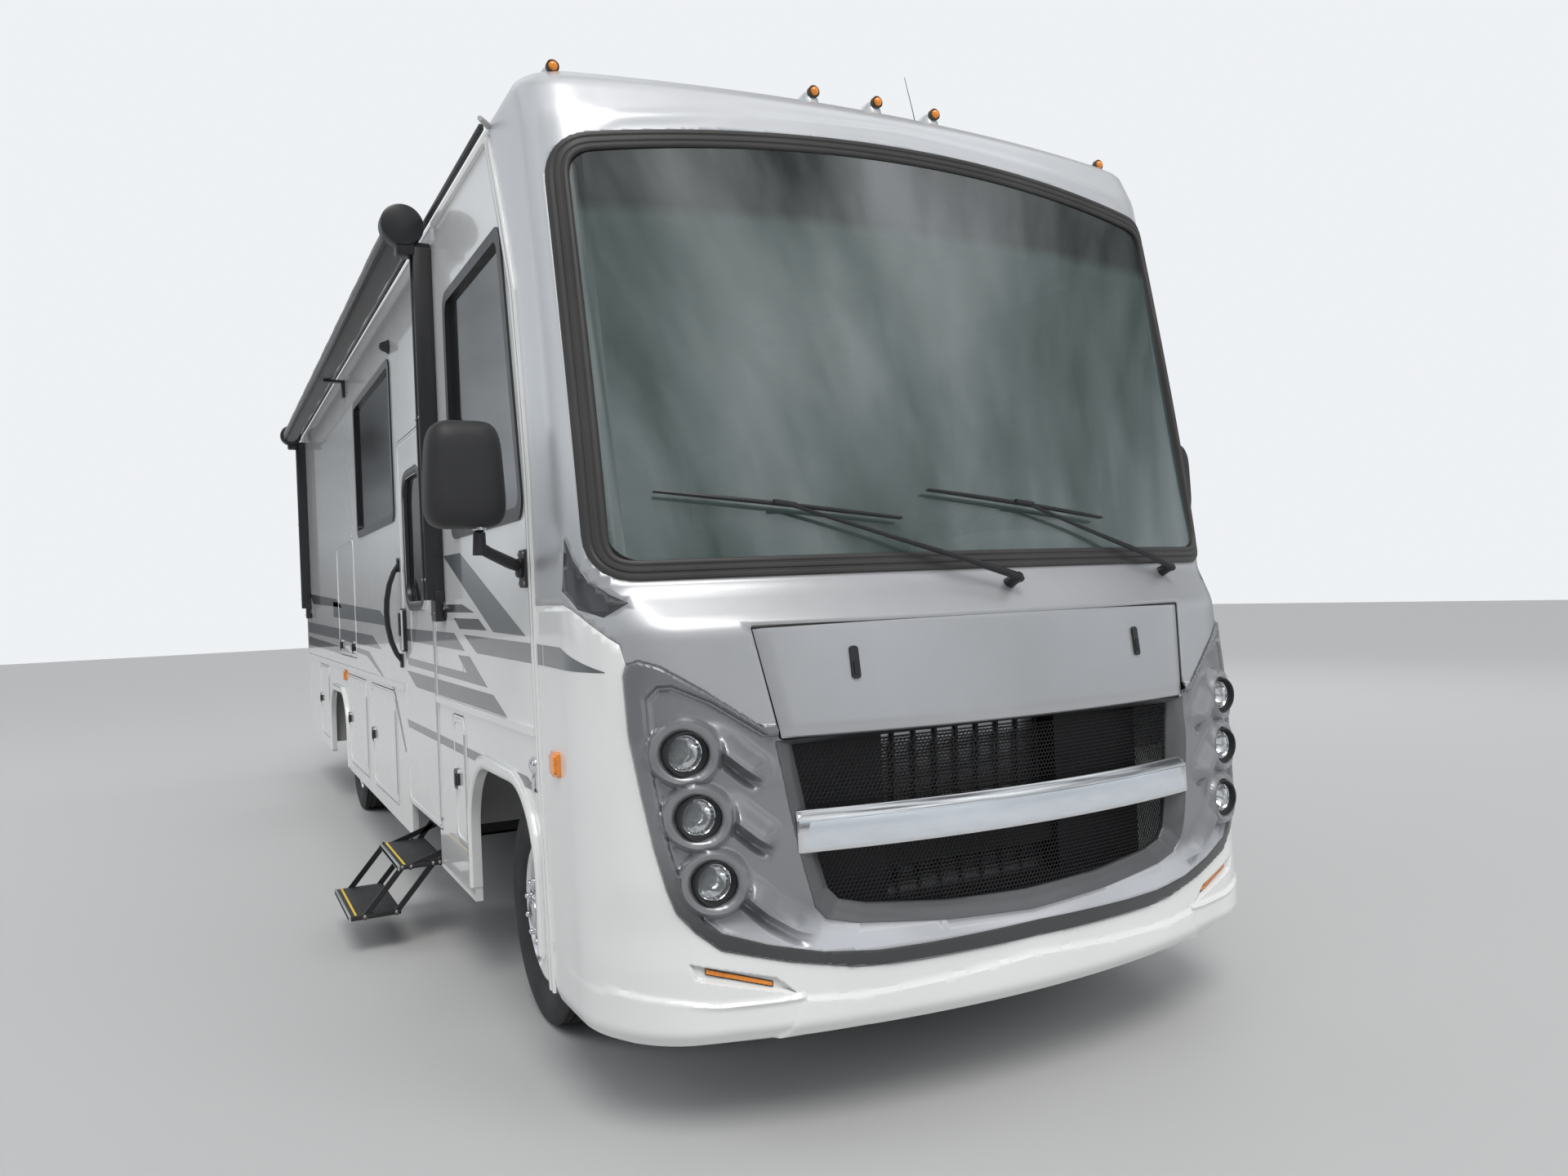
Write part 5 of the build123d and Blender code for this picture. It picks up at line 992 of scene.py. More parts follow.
# %% Hexagonal mesh by Geometry Nodes
CELL = 0.0137
rows = []
for k, z in enumerate(np.arange(0.6, 1.145, CELL * math.sqrt(3) / 2)):
    x = np.arange(-0.8, 0.8, CELL) + (CELL / 2 if k % 2 else 0)
    rows.append(np.stack([x, np.full(len(x), z)], -1))
centres = np.vstack(rows)
opening = np.array(both(GRILLE_IN))
keep = inside(centres, opening) & (off_line(centres, opening, True)[0] > 0.001)
keep &= (centres[:, 1] < BAR_LOW) | (centres[:, 1] > BAR_HIGH)
centres = centres[keep]
print(len(centres), "cells in the grille mesh")


def node_tree(name, inputs):
    """A Geometry Nodes tree with named inputs; returns tree, input node and output node."""
    tree = bpy.data.node_groups.new(name, "GeometryNodeTree")
    tree.interface.new_socket("Geometry", in_out="INPUT", socket_type="NodeSocketGeometry")
    for label, kind, value in inputs:
        tree.interface.new_socket(label, in_out="INPUT", socket_type=kind).default_value = value
    tree.interface.new_socket("Geometry", in_out="OUTPUT", socket_type="NodeSocketGeometry")
    return tree, tree.nodes.new("NodeGroupInput"), tree.nodes.new("NodeGroupOutput")


def grown(name, points, tree, settings, material, body="coach", directions=None):
    """Evaluates a tree on bare points and keeps the result as a plain finished object."""
    seed = bpy.data.meshes.new(name + "_points")
    seed.from_pydata((np.array(points) + ORIGIN).tolist(), [], [])
    if directions is not None:
        layer = seed.attributes.new("heading", "FLOAT_VECTOR", "POINT")
        layer.data.foreach_set("vector", np.array(directions, float).ravel())
    host = bpy.data.objects.new(name + "_points", seed)
    bpy.context.scene.collection.objects.link(host)
    modifier = host.modifiers.new("growth", "NODES")
    modifier.node_group = tree
    for socket in tree.interface.items_tree:
        if socket.in_out == "INPUT" and socket.name in settings:
            modifier[socket.identifier] = settings[socket.name]
    bpy.context.view_layer.update()
    mesh = bpy.data.meshes.new_from_object(host.evaluated_get(bpy.context.evaluated_depsgraph_get()))
    mesh.name = name
    host.modifiers.remove(modifier)
    bpy.data.objects.remove(host)
    bpy.data.meshes.remove(seed)
    mesh.materials.clear()
    settled(name, mesh, material, body)
    print(name, len(mesh.polygons), "faces")


hex_tree, gate, result = node_tree("hexagonal mesh", [("Cell radius", "NodeSocketFloat", 0.007),
        ("Wire", "NodeSocketFloat", 0.0012), ("Material", "NodeSocketMaterial", None)])
hexagon = add_node(hex_tree, "GeometryNodeCurvePrimitiveCircle", {"Resolution": 6})
wire = add_node(hex_tree, "GeometryNodeCurvePrimitiveCircle", {"Resolution": 3})
solid = add_node(hex_tree, "GeometryNodeCurveToMesh")
turn = add_node(hex_tree, "GeometryNodeTransform", {"Rotation": (0, 0, math.pi / 6)})
place = add_node(hex_tree, "GeometryNodeInstanceOnPoints", {"Rotation": (math.pi / 2, 0, 0)})
realize = add_node(hex_tree, "GeometryNodeRealizeInstances")
coat = add_node(hex_tree, "GeometryNodeSetMaterial")
wire_up(hex_tree, (gate, "Cell radius", hexagon, "Radius"), (gate, "Wire", wire, "Radius"),
        (hexagon, "Curve", solid, "Curve"), (wire, "Curve", solid, "Profile Curve"),
        (solid, "Mesh", turn, "Geometry"), (gate, "Geometry", place, "Points"),
        (turn, "Geometry", place, "Instance"), (place, "Instances", realize, "Geometry"),
        (realize, "Geometry", coat, "Geometry"), (gate, "Material", coat, "Material"),
        (coat, "Geometry", result, "Geometry"))
grown("grille_mesh", skin_at(centres, -0.054), hex_tree, {"Cell radius": CELL / math.sqrt(3) - 0.0002,
        "Wire": 0.0015, "Material": MATERIALS["satin_black"][0]}, "satin_black")

# %% [markdown]
# Behind the mesh stand the cooling pack and its side baffles. The hood closes the gap above with a
# black seal, a dark return along its low edge and two flush pull latches.

# %% Cooling pack, hood skin and latches
fins = [block((-0.335, 0.384, z), (0.335, 0.398, z + 0.0035), 0) for z in np.arange(0.6, 1.09, 0.011)]
fins += [block((x - 0.006, 0.38, 0.585), (x + 0.006, 0.392, 1.1), 0.002, 1)
         for x in np.linspace(-0.34, 0.34, 9)]
piece("cooling_fins", fins, "cast_iron")
baffles = [block(low, high, 0.002, 1) for low, high in (
    ((-0.72, 0.3, 0.575), (-0.352, 0.306, 1.135)), ((0.352, 0.3, 0.575), (0.72, 0.306, 1.135)),
    ((-0.352, 0.3, 1.112), (0.352, 0.392, 1.118)), ((-0.352, 0.3, 0.548), (0.352, 0.392, 0.554)),
    ((-0.735, 0.105, 0.572), (0.735, 0.384, 0.579)),
    ((-0.356, 0.3, 0.548), (-0.35, 0.392, 1.118)), ((0.35, 0.3, 0.548), (0.356, 0.392, 1.118)))]
piece("cooling_baffles", baffles, "grained_black")

count = 67
hood_grid_x = np.linspace(-1, 1, count)
hood_grid_z = np.concatenate([[0, 0.006, 0.014, 0.026, 0.05], np.linspace(0.09, 0.93, 18),
        [0.96, 0.984, 1]])
rows_out, rows_in = [], []
for t in hood_grid_z:
    half = HOOD[0][0] + (HOOD[1][0] - HOOD[0][0]) * t
    z = HOOD[0][1] + (HOOD[1][1] - HOOD[0][1]) * t
    edge = min(t, 1 - t) * (HOOD[1][1] - HOOD[0][1])
    sag = 0.01 * t * (1 - hood_grid_x ** 2)
    spots = np.stack([hood_grid_x * half, np.full(count, z) + sag], -1)
    rim = np.minimum(edge, (1 - np.abs(hood_grid_x)) * half)
    roll = -0.007 * (1 - soft(rim, 0, 0.007)) ** 2 - 0.0015
    lip = -0.004 * (1 - soft(edge, 0, 0.03)) * (t < 0.5)
    rows_out.append(skin_at(spots, roll + lip))
    rows_in.append(skin_at(spots, -0.02))
points = np.concatenate(rows_out + rows_in)
faces = grid_faces(len(hood_grid_z), count)
shift = len(hood_grid_z) * count
faces += [tuple(reversed([i + shift for i in f])) for f in grid_faces(len(hood_grid_z), count)]
rim_walk = list(range(count)) + [count * k + count - 1 for k in range(1, len(hood_grid_z))]
rim_walk += [shift - 1 - k for k in range(1, count)]
rim_walk += [count * k for k in range(len(hood_grid_z) - 2, 0, -1)]
for a, b in zip(rim_walk, rim_walk[1:] + rim_walk[:1]):
    faces.append((b, a, a + shift, b + shift))
piece("hood_skin", [(points, faces)], "silver_paint", body="hood", smooth=40, stands_for=("hood_panel",))
latches = []
for sign in (-1, 1):
    pill = card(-0.013, -0.048, 0.013, 0.048, 0.012, 6)
    spot = skin_at([(sign * 0.552, 1.36)], 0)[0]
    tilt = 0.046 / 0.32
    latches.append(plate(pill, lambda a, b, d: (sign * 0.552 + a, spot[1] - d + b * tilt + sign * a * 0.17,
            1.36 + b), -0.012, 0.006, 0.003))
    inner = card(-0.007, -0.034, 0.007, 0.006, 0.006, 5)
    latches.append(plate(inner, lambda a, b, d: (sign * 0.552 + a, spot[1] - d + b * tilt, 1.36 + b), 0.004,
                         0.0085, 0.0015))
piece("hood_latches", latches, "satin_black", body="hood")
gap_top = np.array(even([(x, 1.476 + 0.01 * (1 - (x / 0.84) ** 2)) for x in np.linspace(-0.84, 0.84, 30)],
                        2))
seal_path = skin_at([(x, z + 0.0032) for x, z in gap_top], -0.006)
piece("hood_seal", [tube(seal_path, 0.0042, 8)], "screen_rubber")

# %% [markdown]
# ## Headlamps
# Each of the three lamps a side is a dark tube let into the fascia, a bright faceted bowl, a small
# projector lens in its middle and a clear domed cover.

# %% Lamp modules
tubes, bowls, lenses, cores = [], [], [], []
for sign in (-1, 1):
    for x, z in LAMPS:
        y = float(skin_at([(x, z)], 0)[0, 1])
        centre = (sign * x, y - 0.002, z)
        tubes.append(lathe([(-0.012, LAMP_HOLE + 0.004), (-0.012, 0.058), (0.003, 0.057), (0.008, 0.0535),
                            (0.012, 0.0515), (0.075, 0.05), (0.078, 0.062), (0.0, 0.064)], centre, 64, 1))
        bowl = [(0.014, 0.05), (0.016, 0.0485), (0.026, 0.045), (0.037, 0.037), (0.046, 0.027),
                (0.052, 0.018), (0.056, 0.0165), (0.06, 0.048)]
        bowls.append(lathe(bowl, centre, 24, 1))
        bowls.append(lathe([(0.011, 0.053), (0.0095, 0.0515), (0.011, 0.05), (0.016, 0.0495),
                            (0.016, 0.0525)], centre, 64, 1))
        cores.append(lathe([(0.03, POLE), (0.031, 0.007), (0.034, 0.012), (0.039, 0.0155), (0.056, 0.0162),
                            (0.056, POLE)], centre, 32, 1))
        dome = [(0.0045, POLE), (0.0052, 0.018), (0.0072, 0.034), (0.01, 0.0445), (0.013, 0.0494),
                (0.0145, 0.0494), (0.012, 0.044), (0.0092, 0.034), (0.0072, 0.018), (0.0065, POLE)]
        lenses.append(lathe(dome, centre, 48, 1))
piece("lamp_tubes", tubes, "grained_black", stands_for=("headlamps",))
piece("lamp_bowls", bowls, "lamp_chrome", smooth=12)
piece("lamp_cores", cores, "dark_glass")
piece("lamp_lenses", lenses, "clear_lens")
print("six lamp modules")

# %% Turn signals in the bumper and the five roof markers
signals, pockets, sockets = [], [], []


def pulled_in(outline, reach):
    """A closed (x, z) outline moved inwards by a distance."""
    step = np.roll(outline, -1, axis=0) - np.roll(outline, 1, axis=0)
    step /= np.hypot(*step.T)[:, None]
    inward = np.stack([-step[:, 1], step[:, 0]], -1)
    towards = np.sign(((outline.mean(0) - outline) * inward).sum(-1)).sum()
    return outline + inward * reach * (1 if towards > 0 else -1)


for sign in (-1, 1):
    outline = walk(on_side(SIGNAL, sign), 0.01, True)
    rim_lift = relief(outline)
    floor = pulled_in(outline, 0.005)
    pockets.append(ring([skin_at(*row) for row in ((outline, rim_lift - 0.006), (outline, rim_lift),
            (pulled_in(outline, 0.0012), rim_lift - 0.003), (floor, rim_lift - 0.015),
            (shrunk(floor), -0.026), (shrunk(floor), -0.04), (outline, rim_lift - 0.03))]))
    strip = walk([(sign * x, z) for x, z in ((0.85, 0.457), (1.036, 0.511), (1.036, 0.531), (0.85, 0.474))],
                 0.012, True)
    frame_lift = relief(strip)
    sockets.append(ring([skin_at(*row) for row in ((strip, frame_lift - 0.034), (strip, frame_lift - 0.012),
            (pulled_in(strip, 0.0022), frame_lift - 0.0115), (pulled_in(strip, 0.0026),
            frame_lift - 0.034))]))
    lens = pulled_in(strip, 0.0024)
    signals.append(ring([skin_at(*row) for row in ((lens, frame_lift - 0.034), (lens, frame_lift - 0.0125),
            (pulled_in(strip, 0.005), frame_lift - 0.0105), (shrunk(lens), -0.0215),
            (shrunk(lens), -0.04))]))
    for k in range(1, 14):
        x, z = 0.85 + 0.186 * k / 14, 0.4655 + 0.0555 * k / 14
        ends = skin_at([(sign * x, z - 0.0062), (sign * x, z + 0.0062)],
                       relief(np.array([(sign * x, z)] * 2)) - 0.0105)
        signals.append(tube(ends, 0.0015, 6))
band_screws = [lathe([(0.001, POLE), (0.001, 0.0085), (-0.003, 0.008), (-0.006, 0.005), (-0.007, POLE)],
                     (x, float(skin_at([(x, 0.514)], 0)[0, 1]) + 0.0072, 0.514), 24, 1)
               for x in (-0.091, 0.091)]
piece("bumper_band_screws", band_screws, "polished_alloy")
piece("signal_pockets", pockets, "white_gelcoat")
piece("signal_frames", sockets, "satin_black")
piece("turn_signals", signals, "amber_plastic", stands_for=("marker_lamps",))
housings, domes, collars = [], [], []
spin = np.linspace(0, 2 * math.pi, 29)[:-1]
along = np.cos(spin)
stretch = np.where(along > 0, 0.085, 0.038)
for x, y, z in ((-1.167, 0.854, 3.297), (-0.258, 0.744, 3.322), (0.0, 0.736, 3.323), (0.258, 0.744, 3.322),
                (1.167, 0.854, 3.297)):
    loops = []
    for share, height in ((1.0, -0.016), (1.0, 0.0), (0.93, 0.012), (0.8, 0.024), (0.62, 0.034),
                          (0.4, 0.04), (0.02, 0.042)):
        loops.append(np.stack([x + 0.034 * share * np.sin(spin), y + 0.01 + stretch * share * along,
                               z + height - 0.006 - 0.12 * (0.1 - stretch * share * along)], -1))
    housings.append(ring(loops + [shrunk(loops[0])]))
    front = np.array((x, y - 0.026, z + 0.01))
    collars.append(lathe([(0.0, 0.021), (-0.006, 0.0215), (-0.009, 0.019), (-0.006, 0.0165), (0.01, 0.0165),
                          (0.01, 0.021)], front, 32, 1))
    domes.append(lathe([(0.004, 0.0166), (-0.008, 0.016), (-0.015, 0.0125), (-0.0185, 0.007),
                        (-0.0195, POLE), (0.004, POLE)], front, 32, 1))
piece("roof_marker_housings", housings, "pearl_silver", smooth=50)
piece("roof_marker_collars", collars, "screen_rubber")
piece("roof_marker_lenses", domes, "amber_plastic")

# %% [markdown]
# ## Windscreen gasket, wipers and mirrors
# The glass is held by a wide ribbed rubber gasket. The wiper arms are pressed channels over a
# flat blade, and the mirror heads taper towards the top inside a matte black shell.

# %% Windscreen gasket
loop = np.array(SCREEN_LOOP)
dense = []
for a, b in zip(loop, np.roll(loop, -1, axis=0)):
    count = max(1, int(np.hypot(*(b - a)) / 0.03))
    dense.append(a + (b - a) * np.arange(count)[:, None] / count)
dense = np.vstack(dense)
tangent = np.roll(dense, -1, axis=0) - np.roll(dense, 1, axis=0)
tangent /= np.hypot(*tangent.T)[:, None]
inward = np.stack([-tangent[:, 1], tangent[:, 0]], -1)
if not inside(dense[:1] + inward[:1] * 0.03, loop)[0]:
    inward = -inward
section = [(-0.004, -0.016), (-0.004, 0.001), (0.0, 0.006), (0.006, 0.0078), (0.012, 0.007),
           (0.016, 0.0035), (0.019, 0.0035), (0.022, 0.0072), (0.028, 0.008), (0.034, 0.0072),
           (0.037, 0.0035), (0.04, 0.0035), (0.043, 0.006), (0.048, 0.0066), (0.053, 0.0045), (0.056, 0.0),
           (0.056, -0.016)]
gasket = [skin_at(dense + inward * inset, lift) for inset, lift in section]
piece("windscreen_gasket", [ring(gasket)], "screen_rubber", stands_for=("windshield_seal",), smooth=30)

# %% Wipers
WIPERS = [(0.06, 1.572, -0.3, 1.782, -1.05, 1.88), (0.86, 1.59, 0.54, 1.78, -0.19, 1.872)]
wiper_parts = []
for px, pz, x0, z0, x1, z1 in WIPERS:
    share = np.linspace(0, 1, 25)
    line = np.stack([x0 + (x1 - x0) * share, z0 + (z1 - z0) * share], -1)
    for lift, radius in ((0.0165, 0.0045), (0.027, 0.006)):
        wiper_parts.append(tube(skin_at(line, lift), radius * (1 - 0.35 * np.abs(share * 2 - 1) ** 3), 8))
    middle = skin_at([((x0 + x1) / 2, (z0 + z1) / 2)], 0.036)[0]
    pivot = skin_at([(px, pz)], 0.0)[0]
    top = pivot + np.array((0, -0.052, 0.02))
    bend = top + (middle - top) * 0.25 + np.array((0, -0.008, 0))
    arm = np.array([top + np.array((0.01, 0.004, -0.01)), top, top + (bend - top) * 0.6, bend,
                    top + (middle - top) * 0.6, middle])
    wiper_parts.append(tube(arm, [0.013, 0.013, 0.0115, 0.009, 0.0065, 0.0055], 10))
    wiper_parts.append(tube([pivot + np.array((0, 0.02, -0.008)), pivot + np.array((0, -0.02, 0.008)),
            top + np.array((0, -0.003, 0.001))], [0.021, 0.018, 0.016], 20))
    reach = np.array(((x1 - x0) * 0.05, 0, (z1 - z0) * 0.05))
    wiper_parts.append(tube([middle - reach, middle + reach], 0.008, 8))
piece("wiper_arms", wiper_parts, "satin_black", stands_for=("wipers",))

# %% Mirrors
MIRROR_IN, MIRROR_OUT = 1.365, float(nodebox("side_mirrors")[1][0])
spin = np.linspace(0, 2 * math.pi, 49)[:-1]


def mirror_loop(y, shrink, low=1.812, high=2.15):
    """Rounded outline of a mirror head: wide at the foot outside, narrower at the top."""
    middle_z, half_z = (low + high) / 2, (high - low) / 2 - shrink
    power = 0.42
    c, s = np.cos(spin), np.sin(spin)
    z = middle_z + half_z * np.sign(s) * np.abs(s) ** power
    taper = 1 - 0.14 * (z - low) / (high - low)
    half_x = ((MIRROR_OUT - MIRROR_IN) / 2 - shrink) * taper
    x = (MIRROR_IN + MIRROR_OUT) / 2 + half_x * np.sign(c) * np.abs(c) ** power
    return np.stack([x, np.full_like(x, y), z], -1)


head = [mirror_loop(y, s) for y, s in ((0.786, 0.09), (0.788, 0.055), (0.796, 0.026), (0.815, 0.008),
        (0.84, 0.001), (0.89, 0.0), (0.906, 0.002), (0.91, 0.008), (0.909, 0.016), (0.898, 0.02),
        (0.89, 0.1))]
arm = [tube([(1.3, 0.968, 1.69), (1.345, 0.94, 1.706), (1.42, 0.885, 1.735), (1.452, 0.868, 1.752)],
            [0.018, 0.02, 0.018, 0.019], 16),
       tube([(1.455, 0.866, 1.728), (1.455, 0.86, 1.8)], [0.022, 0.019], 20),
       block((HALF + 0.001, 0.925, 1.622), (HALF + 0.016, 1.01, 1.748), 0.01),
       block((HALF + 0.01, 0.945, 1.655), (HALF + 0.034, 0.992, 1.72), 0.012)]
piece("mirror_shells", on_both([capped(head), *arm]), "grained_black", stands_for=("side_mirrors",),
      smooth=40)
glass = ring([mirror_loop(y, inset) for y, inset in ((0.9005, 0.024), (0.9005, 0.1), (0.8975, 0.1),
        (0.8975, 0.024))])
piece("mirror_glass", on_both([glass]), "lamp_chrome")
ball = [lathe([(1.798, POLE), (1.8, 0.012), (1.808, 0.021), (1.818, 0.0215), (1.826, 0.0185), (1.83, POLE)],
              (1.455, 0.858, 0), 28, 2)]
piece("mirror_pivots", on_both(ball), "polished_alloy")
screws = [lathe([(HALF + 0.016, POLE), (HALF + 0.016, 0.007), (HALF + 0.018, 0.0065),
                 (HALF + 0.0195, POLE)], (0, y, z), 16, 0) for z in (1.636, 1.734) for y in (0.936, 1.0)]
piece("mirror_screws", on_both(screws), "grey_steel")

# %% [markdown]
# ## Wheels and tyres
# A 19.5 in steel wheel with ten nuts on a 225 mm circle carries a tyre with four circumferential
# grooves and small blocks on its shoulders. One tyre is modelled and copied.

# %% Tyres
TYRE_R = HUB
side_profile = [(0.08, 0.2495), (0.0905, 0.2545), (0.0915, 0.266), (0.099, 0.275), (0.108, 0.286),
                (0.115, 0.3), (0.1195, 0.318), (0.1205, 0.324), (0.1222, 0.326), (0.1225, 0.345),
                (0.121, 0.364), (0.1195, 0.367), (0.1165, 0.382), (0.113, 0.395), (0.108, 0.4065),
                (0.1035, 0.4115)]
tread = []
for x0, x1 in ((0.1, 0.072), (0.062, 0.032), (0.022, -0.022), (-0.032, -0.062), (-0.072, -0.1)):
    tread += [(x0 + 0.0005, "low"), (x0, "top"), ((x0 + x1) / 2, "top"), (x1, "top"), (x1 - 0.0005, "low")]
SIDES = 192
rows = []
crown = lambda x: TYRE_R - 0.0002 - 0.3 * max(0, abs(x) - 0.02) ** 2 / 0.1
for k in range(SIDES):
    row = list(side_profile)
    for x, kind in tread:
        top = crown(x)
        wave = 0.0022 * math.sin(2 * math.pi * (k % 8) / 8)
        cut = abs(x) > 0.066 and k % 4 == 0
        depth = 0.011 if kind == "low" else (0.007 if cut else 0.0)
        row.append((x + (0 if abs(x) > 0.099 else wave), top - depth))
    row += [(-x, r) for x, r in reversed(side_profile)]
    rows.append(row)
angles = 2 * math.pi * np.arange(SIDES) / SIDES
profile = np.array(rows)
tyre_points = np.stack([profile[..., 0], profile[..., 1] * np.cos(angles)[:, None],
                        profile[..., 1] * np.sin(angles)[:, None]], -1)
tyre_faces = grid_faces(SIDES, profile.shape[1], True, True)
TYRES = {"front_tyre_left": ("roll_front_left", [1.038], FRONT_AXLE),
         "front_tyre_right": ("roll_front_right", [-1.038], FRONT_AXLE),
         "rear_tyres_left": ("roll_rear_left", [1.037, 0.758], REAR_AXLE),
         "rear_tyres_right": ("roll_rear_right", [-1.037, -0.758], REAR_AXLE)}
for node, (body, places, axle) in TYRES.items():
    copies = [(tyre_points.reshape(-1, 3) + np.array((x, axle, HUB)), tyre_faces) for x in places]
    piece(node + "_tread", copies, "tyre_rubber", body=body, smooth=30, stands_for=(node,))
print("tyre of", len(tyre_faces), "faces, six times")

# %% Lug nuts and hub covers
nut_tree, gate, result = node_tree("wheel nuts", [("Radius", "NodeSocketFloat", 0.0165),
        ("Length", "NodeSocketFloat", 0.05), ("Material", "NodeSocketMaterial", None)])
cone = add_node(nut_tree, "GeometryNodeMeshCone", {"Vertices": 20, "Side Segments": 1})
cap = add_node(nut_tree, "GeometryNodeMeshUVSphere", {"Segments": 20, "Rings": 10})
flange = add_node(nut_tree, "GeometryNodeMeshCylinder", {"Vertices": 24, "Depth": 0.006})
shrink = add_node(nut_tree, "ShaderNodeMath", {1: 0.72}, operation="MULTIPLY")
wider = add_node(nut_tree, "ShaderNodeMath", {1: 1.35}, operation="MULTIPLY")
up_by = add_node(nut_tree, "ShaderNodeCombineXYZ")
lift_cap = add_node(nut_tree, "GeometryNodeTransform")
joined = add_node(nut_tree, "GeometryNodeJoinGeometry")
heading = add_node(nut_tree, "GeometryNodeInputNamedAttribute", {"Name": "heading"},
                   data_type="FLOAT_VECTOR")
align = add_node(nut_tree, "FunctionNodeAlignRotationToVector")
place = add_node(nut_tree, "GeometryNodeInstanceOnPoints")
realize = add_node(nut_tree, "GeometryNodeRealizeInstances")
soften = add_node(nut_tree, "GeometryNodeSetShadeSmooth")
coat = add_node(nut_tree, "GeometryNodeSetMaterial")
wire_up(nut_tree, (gate, "Radius", cone, "Radius Bottom"), (gate, "Radius", shrink, 0),
        (gate, "Radius", wider, 0), (wider, "Value", flange, "Radius"),
        (shrink, "Value", cone, "Radius Top"), (shrink, "Value", cap, "Radius"),
        (gate, "Length", cone, "Depth"), (gate, "Length", up_by, "Z"),
        (up_by, "Vector", lift_cap, "Translation"), (cap, "Mesh", lift_cap, "Geometry"),
        (cone, "Mesh", joined, "Geometry"), (lift_cap, "Geometry", joined, "Geometry"),
        (flange, "Mesh", joined, "Geometry"), (heading, "Attribute", align, "Vector"),
        (align, "Rotation", place, "Rotation"), (gate, "Geometry", place, "Points"),
        (joined, "Geometry", place, "Instance"), (place, "Instances", realize, "Geometry"),
        (realize, "Geometry", soften, "Geometry"), (soften, "Geometry", coat, "Geometry"),
        (gate, "Material", coat, "Material"), (coat, "Geometry", result, "Geometry"))
STUD_CIRCLE = 0.1125
for sign, side in ((1, "left"), (-1, "right")):
    for prefix, body, x, axle in (("front", "roll_front_", 1.134, FRONT_AXLE),
            ("rear", "roll_rear_", 0.9, REAR_AXLE)):
        spots = [(sign * x, axle + STUD_CIRCLE * math.cos(a), HUB + STUD_CIRCLE * math.sin(a))
                 for a in np.arange(10) * math.pi / 5 + math.pi / 2]
        grown(f"{prefix}_lug_nuts_{side}", spots, nut_tree, {"Radius": 0.0165, "Length": 0.034,
                "Material": MATERIALS["polished_alloy"][0]}, "polished_alloy", body=body + side,
              directions=[(sign, 0, 0)] * 10)
hub_caps = {"roll_front_": (1.152, FRONT_AXLE, [(-0.03, POLE), (-0.03, 0.074), (0.0, 0.072), (0.016, 0.066),
        (0.026, 0.058), (0.03, 0.047), (0.032, 0.03), (0.0325, POLE)]),
            "roll_rear_": (0.975, REAR_AXLE, [(-0.03, POLE), (-0.03, 0.082), (0.0, 0.081), (0.02, 0.077),
        (0.034, 0.066), (0.04, 0.05), (0.042, 0.03), (0.0425, POLE)])}
for body, (x, axle, profile) in hub_caps.items():
    for sign, side in ((1, "left"), (-1, "right")):
        cover = lathe([(a + x, r) for a, r in profile], (0, axle, HUB), 64, 0)
        cover = cover if sign > 0 else mirrored(cover)
        piece(f"{body[5:]}hub_cover_{side}", [cover], "polished_alloy", body=body + side)

# %% [markdown]
# ## Graphics, doors and trim along the sides
# The swept stripes are vinyl on the gelcoat: thin films, each cut where a door begins so that it
# travels with the door. The baggage doors carry a raised rim, a knuckled piano hinge and a black
# paddle latch.


# %% Vinyl stripes
def clip(polygon, axis, limit, keep_low):
    """Part of a polygon on one side of a line."""
    result = []
    for a, b in zip(polygon, polygon[1:] + polygon[:1]):
        in_a = (a[axis] <= limit) == keep_low
        in_b = (b[axis] <= limit) == keep_low
        if in_a:
            result.append(a)
        if in_a != in_b:
            t = (limit - a[axis]) / (b[axis] - a[axis])
            result.append(tuple(a[k] + t * (b[k] - a[k]) for k in (0, 1)))
    return result


def window(polygon, y0, y1, z0, z1):
    for axis, limit, low in ((0, y0, False), (0, y1, True), (1, z0, False), (1, z1, True)):
        polygon = clip(polygon, axis, limit, low) if len(polygon) > 2 else []
    return polygon


# columns: name, body, front y, rear y, bottom z, top z
CURB_PANELS = [("utility_door", "utility", 2.04, 2.29, 0.56, 1.105),
               ("storage_door_1", "storage_1", 3.88, 4.86, 0.47, 1.105),
               ("storage_door_2", "storage_2", 5.08, 6.09, 0.47, 1.105),
               ("storage_door_3", "storage_3", 7.4, 8.18, 0.5, 1.105),
               ("entry_door", "entry", 2.62, 3.515, 0.545, 2.44),
               ("media_door", "media", 5.5, 6.54, 1.24, 2.06)]
ROAD_PANELS = [("storage_door_4", "storage_4", 2.3, 3.5, 0.47, 1.105),
               ("storage_door_5", "storage_5", 7.4, 8.6, 0.5, 1.105)]
SLATE = [
    [(2.353, 1.791), (2.007, 1.788), (1.006, 1.461), (1.471, 1.469)],
    [(1.99, 1.452), (0.812, 1.437), (0.812, 1.371), (1.761, 1.382)],
    [(3.4, 1.462), (2.19, 1.456), (1.989, 1.385), (3.4, 1.4)],
    [(2.123, 1.364), (1.899, 1.365), (1.601, 1.256), (3.4, 1.275), (3.4, 1.312), (1.959, 1.296)],
    [(6.9, 1.64), (4.35, 1.56), (3.95, 1.47), (6.9, 1.52)],
    [(9.2, 1.47), (4.7, 1.405), (4.35, 1.33), (9.2, 1.37)],
]
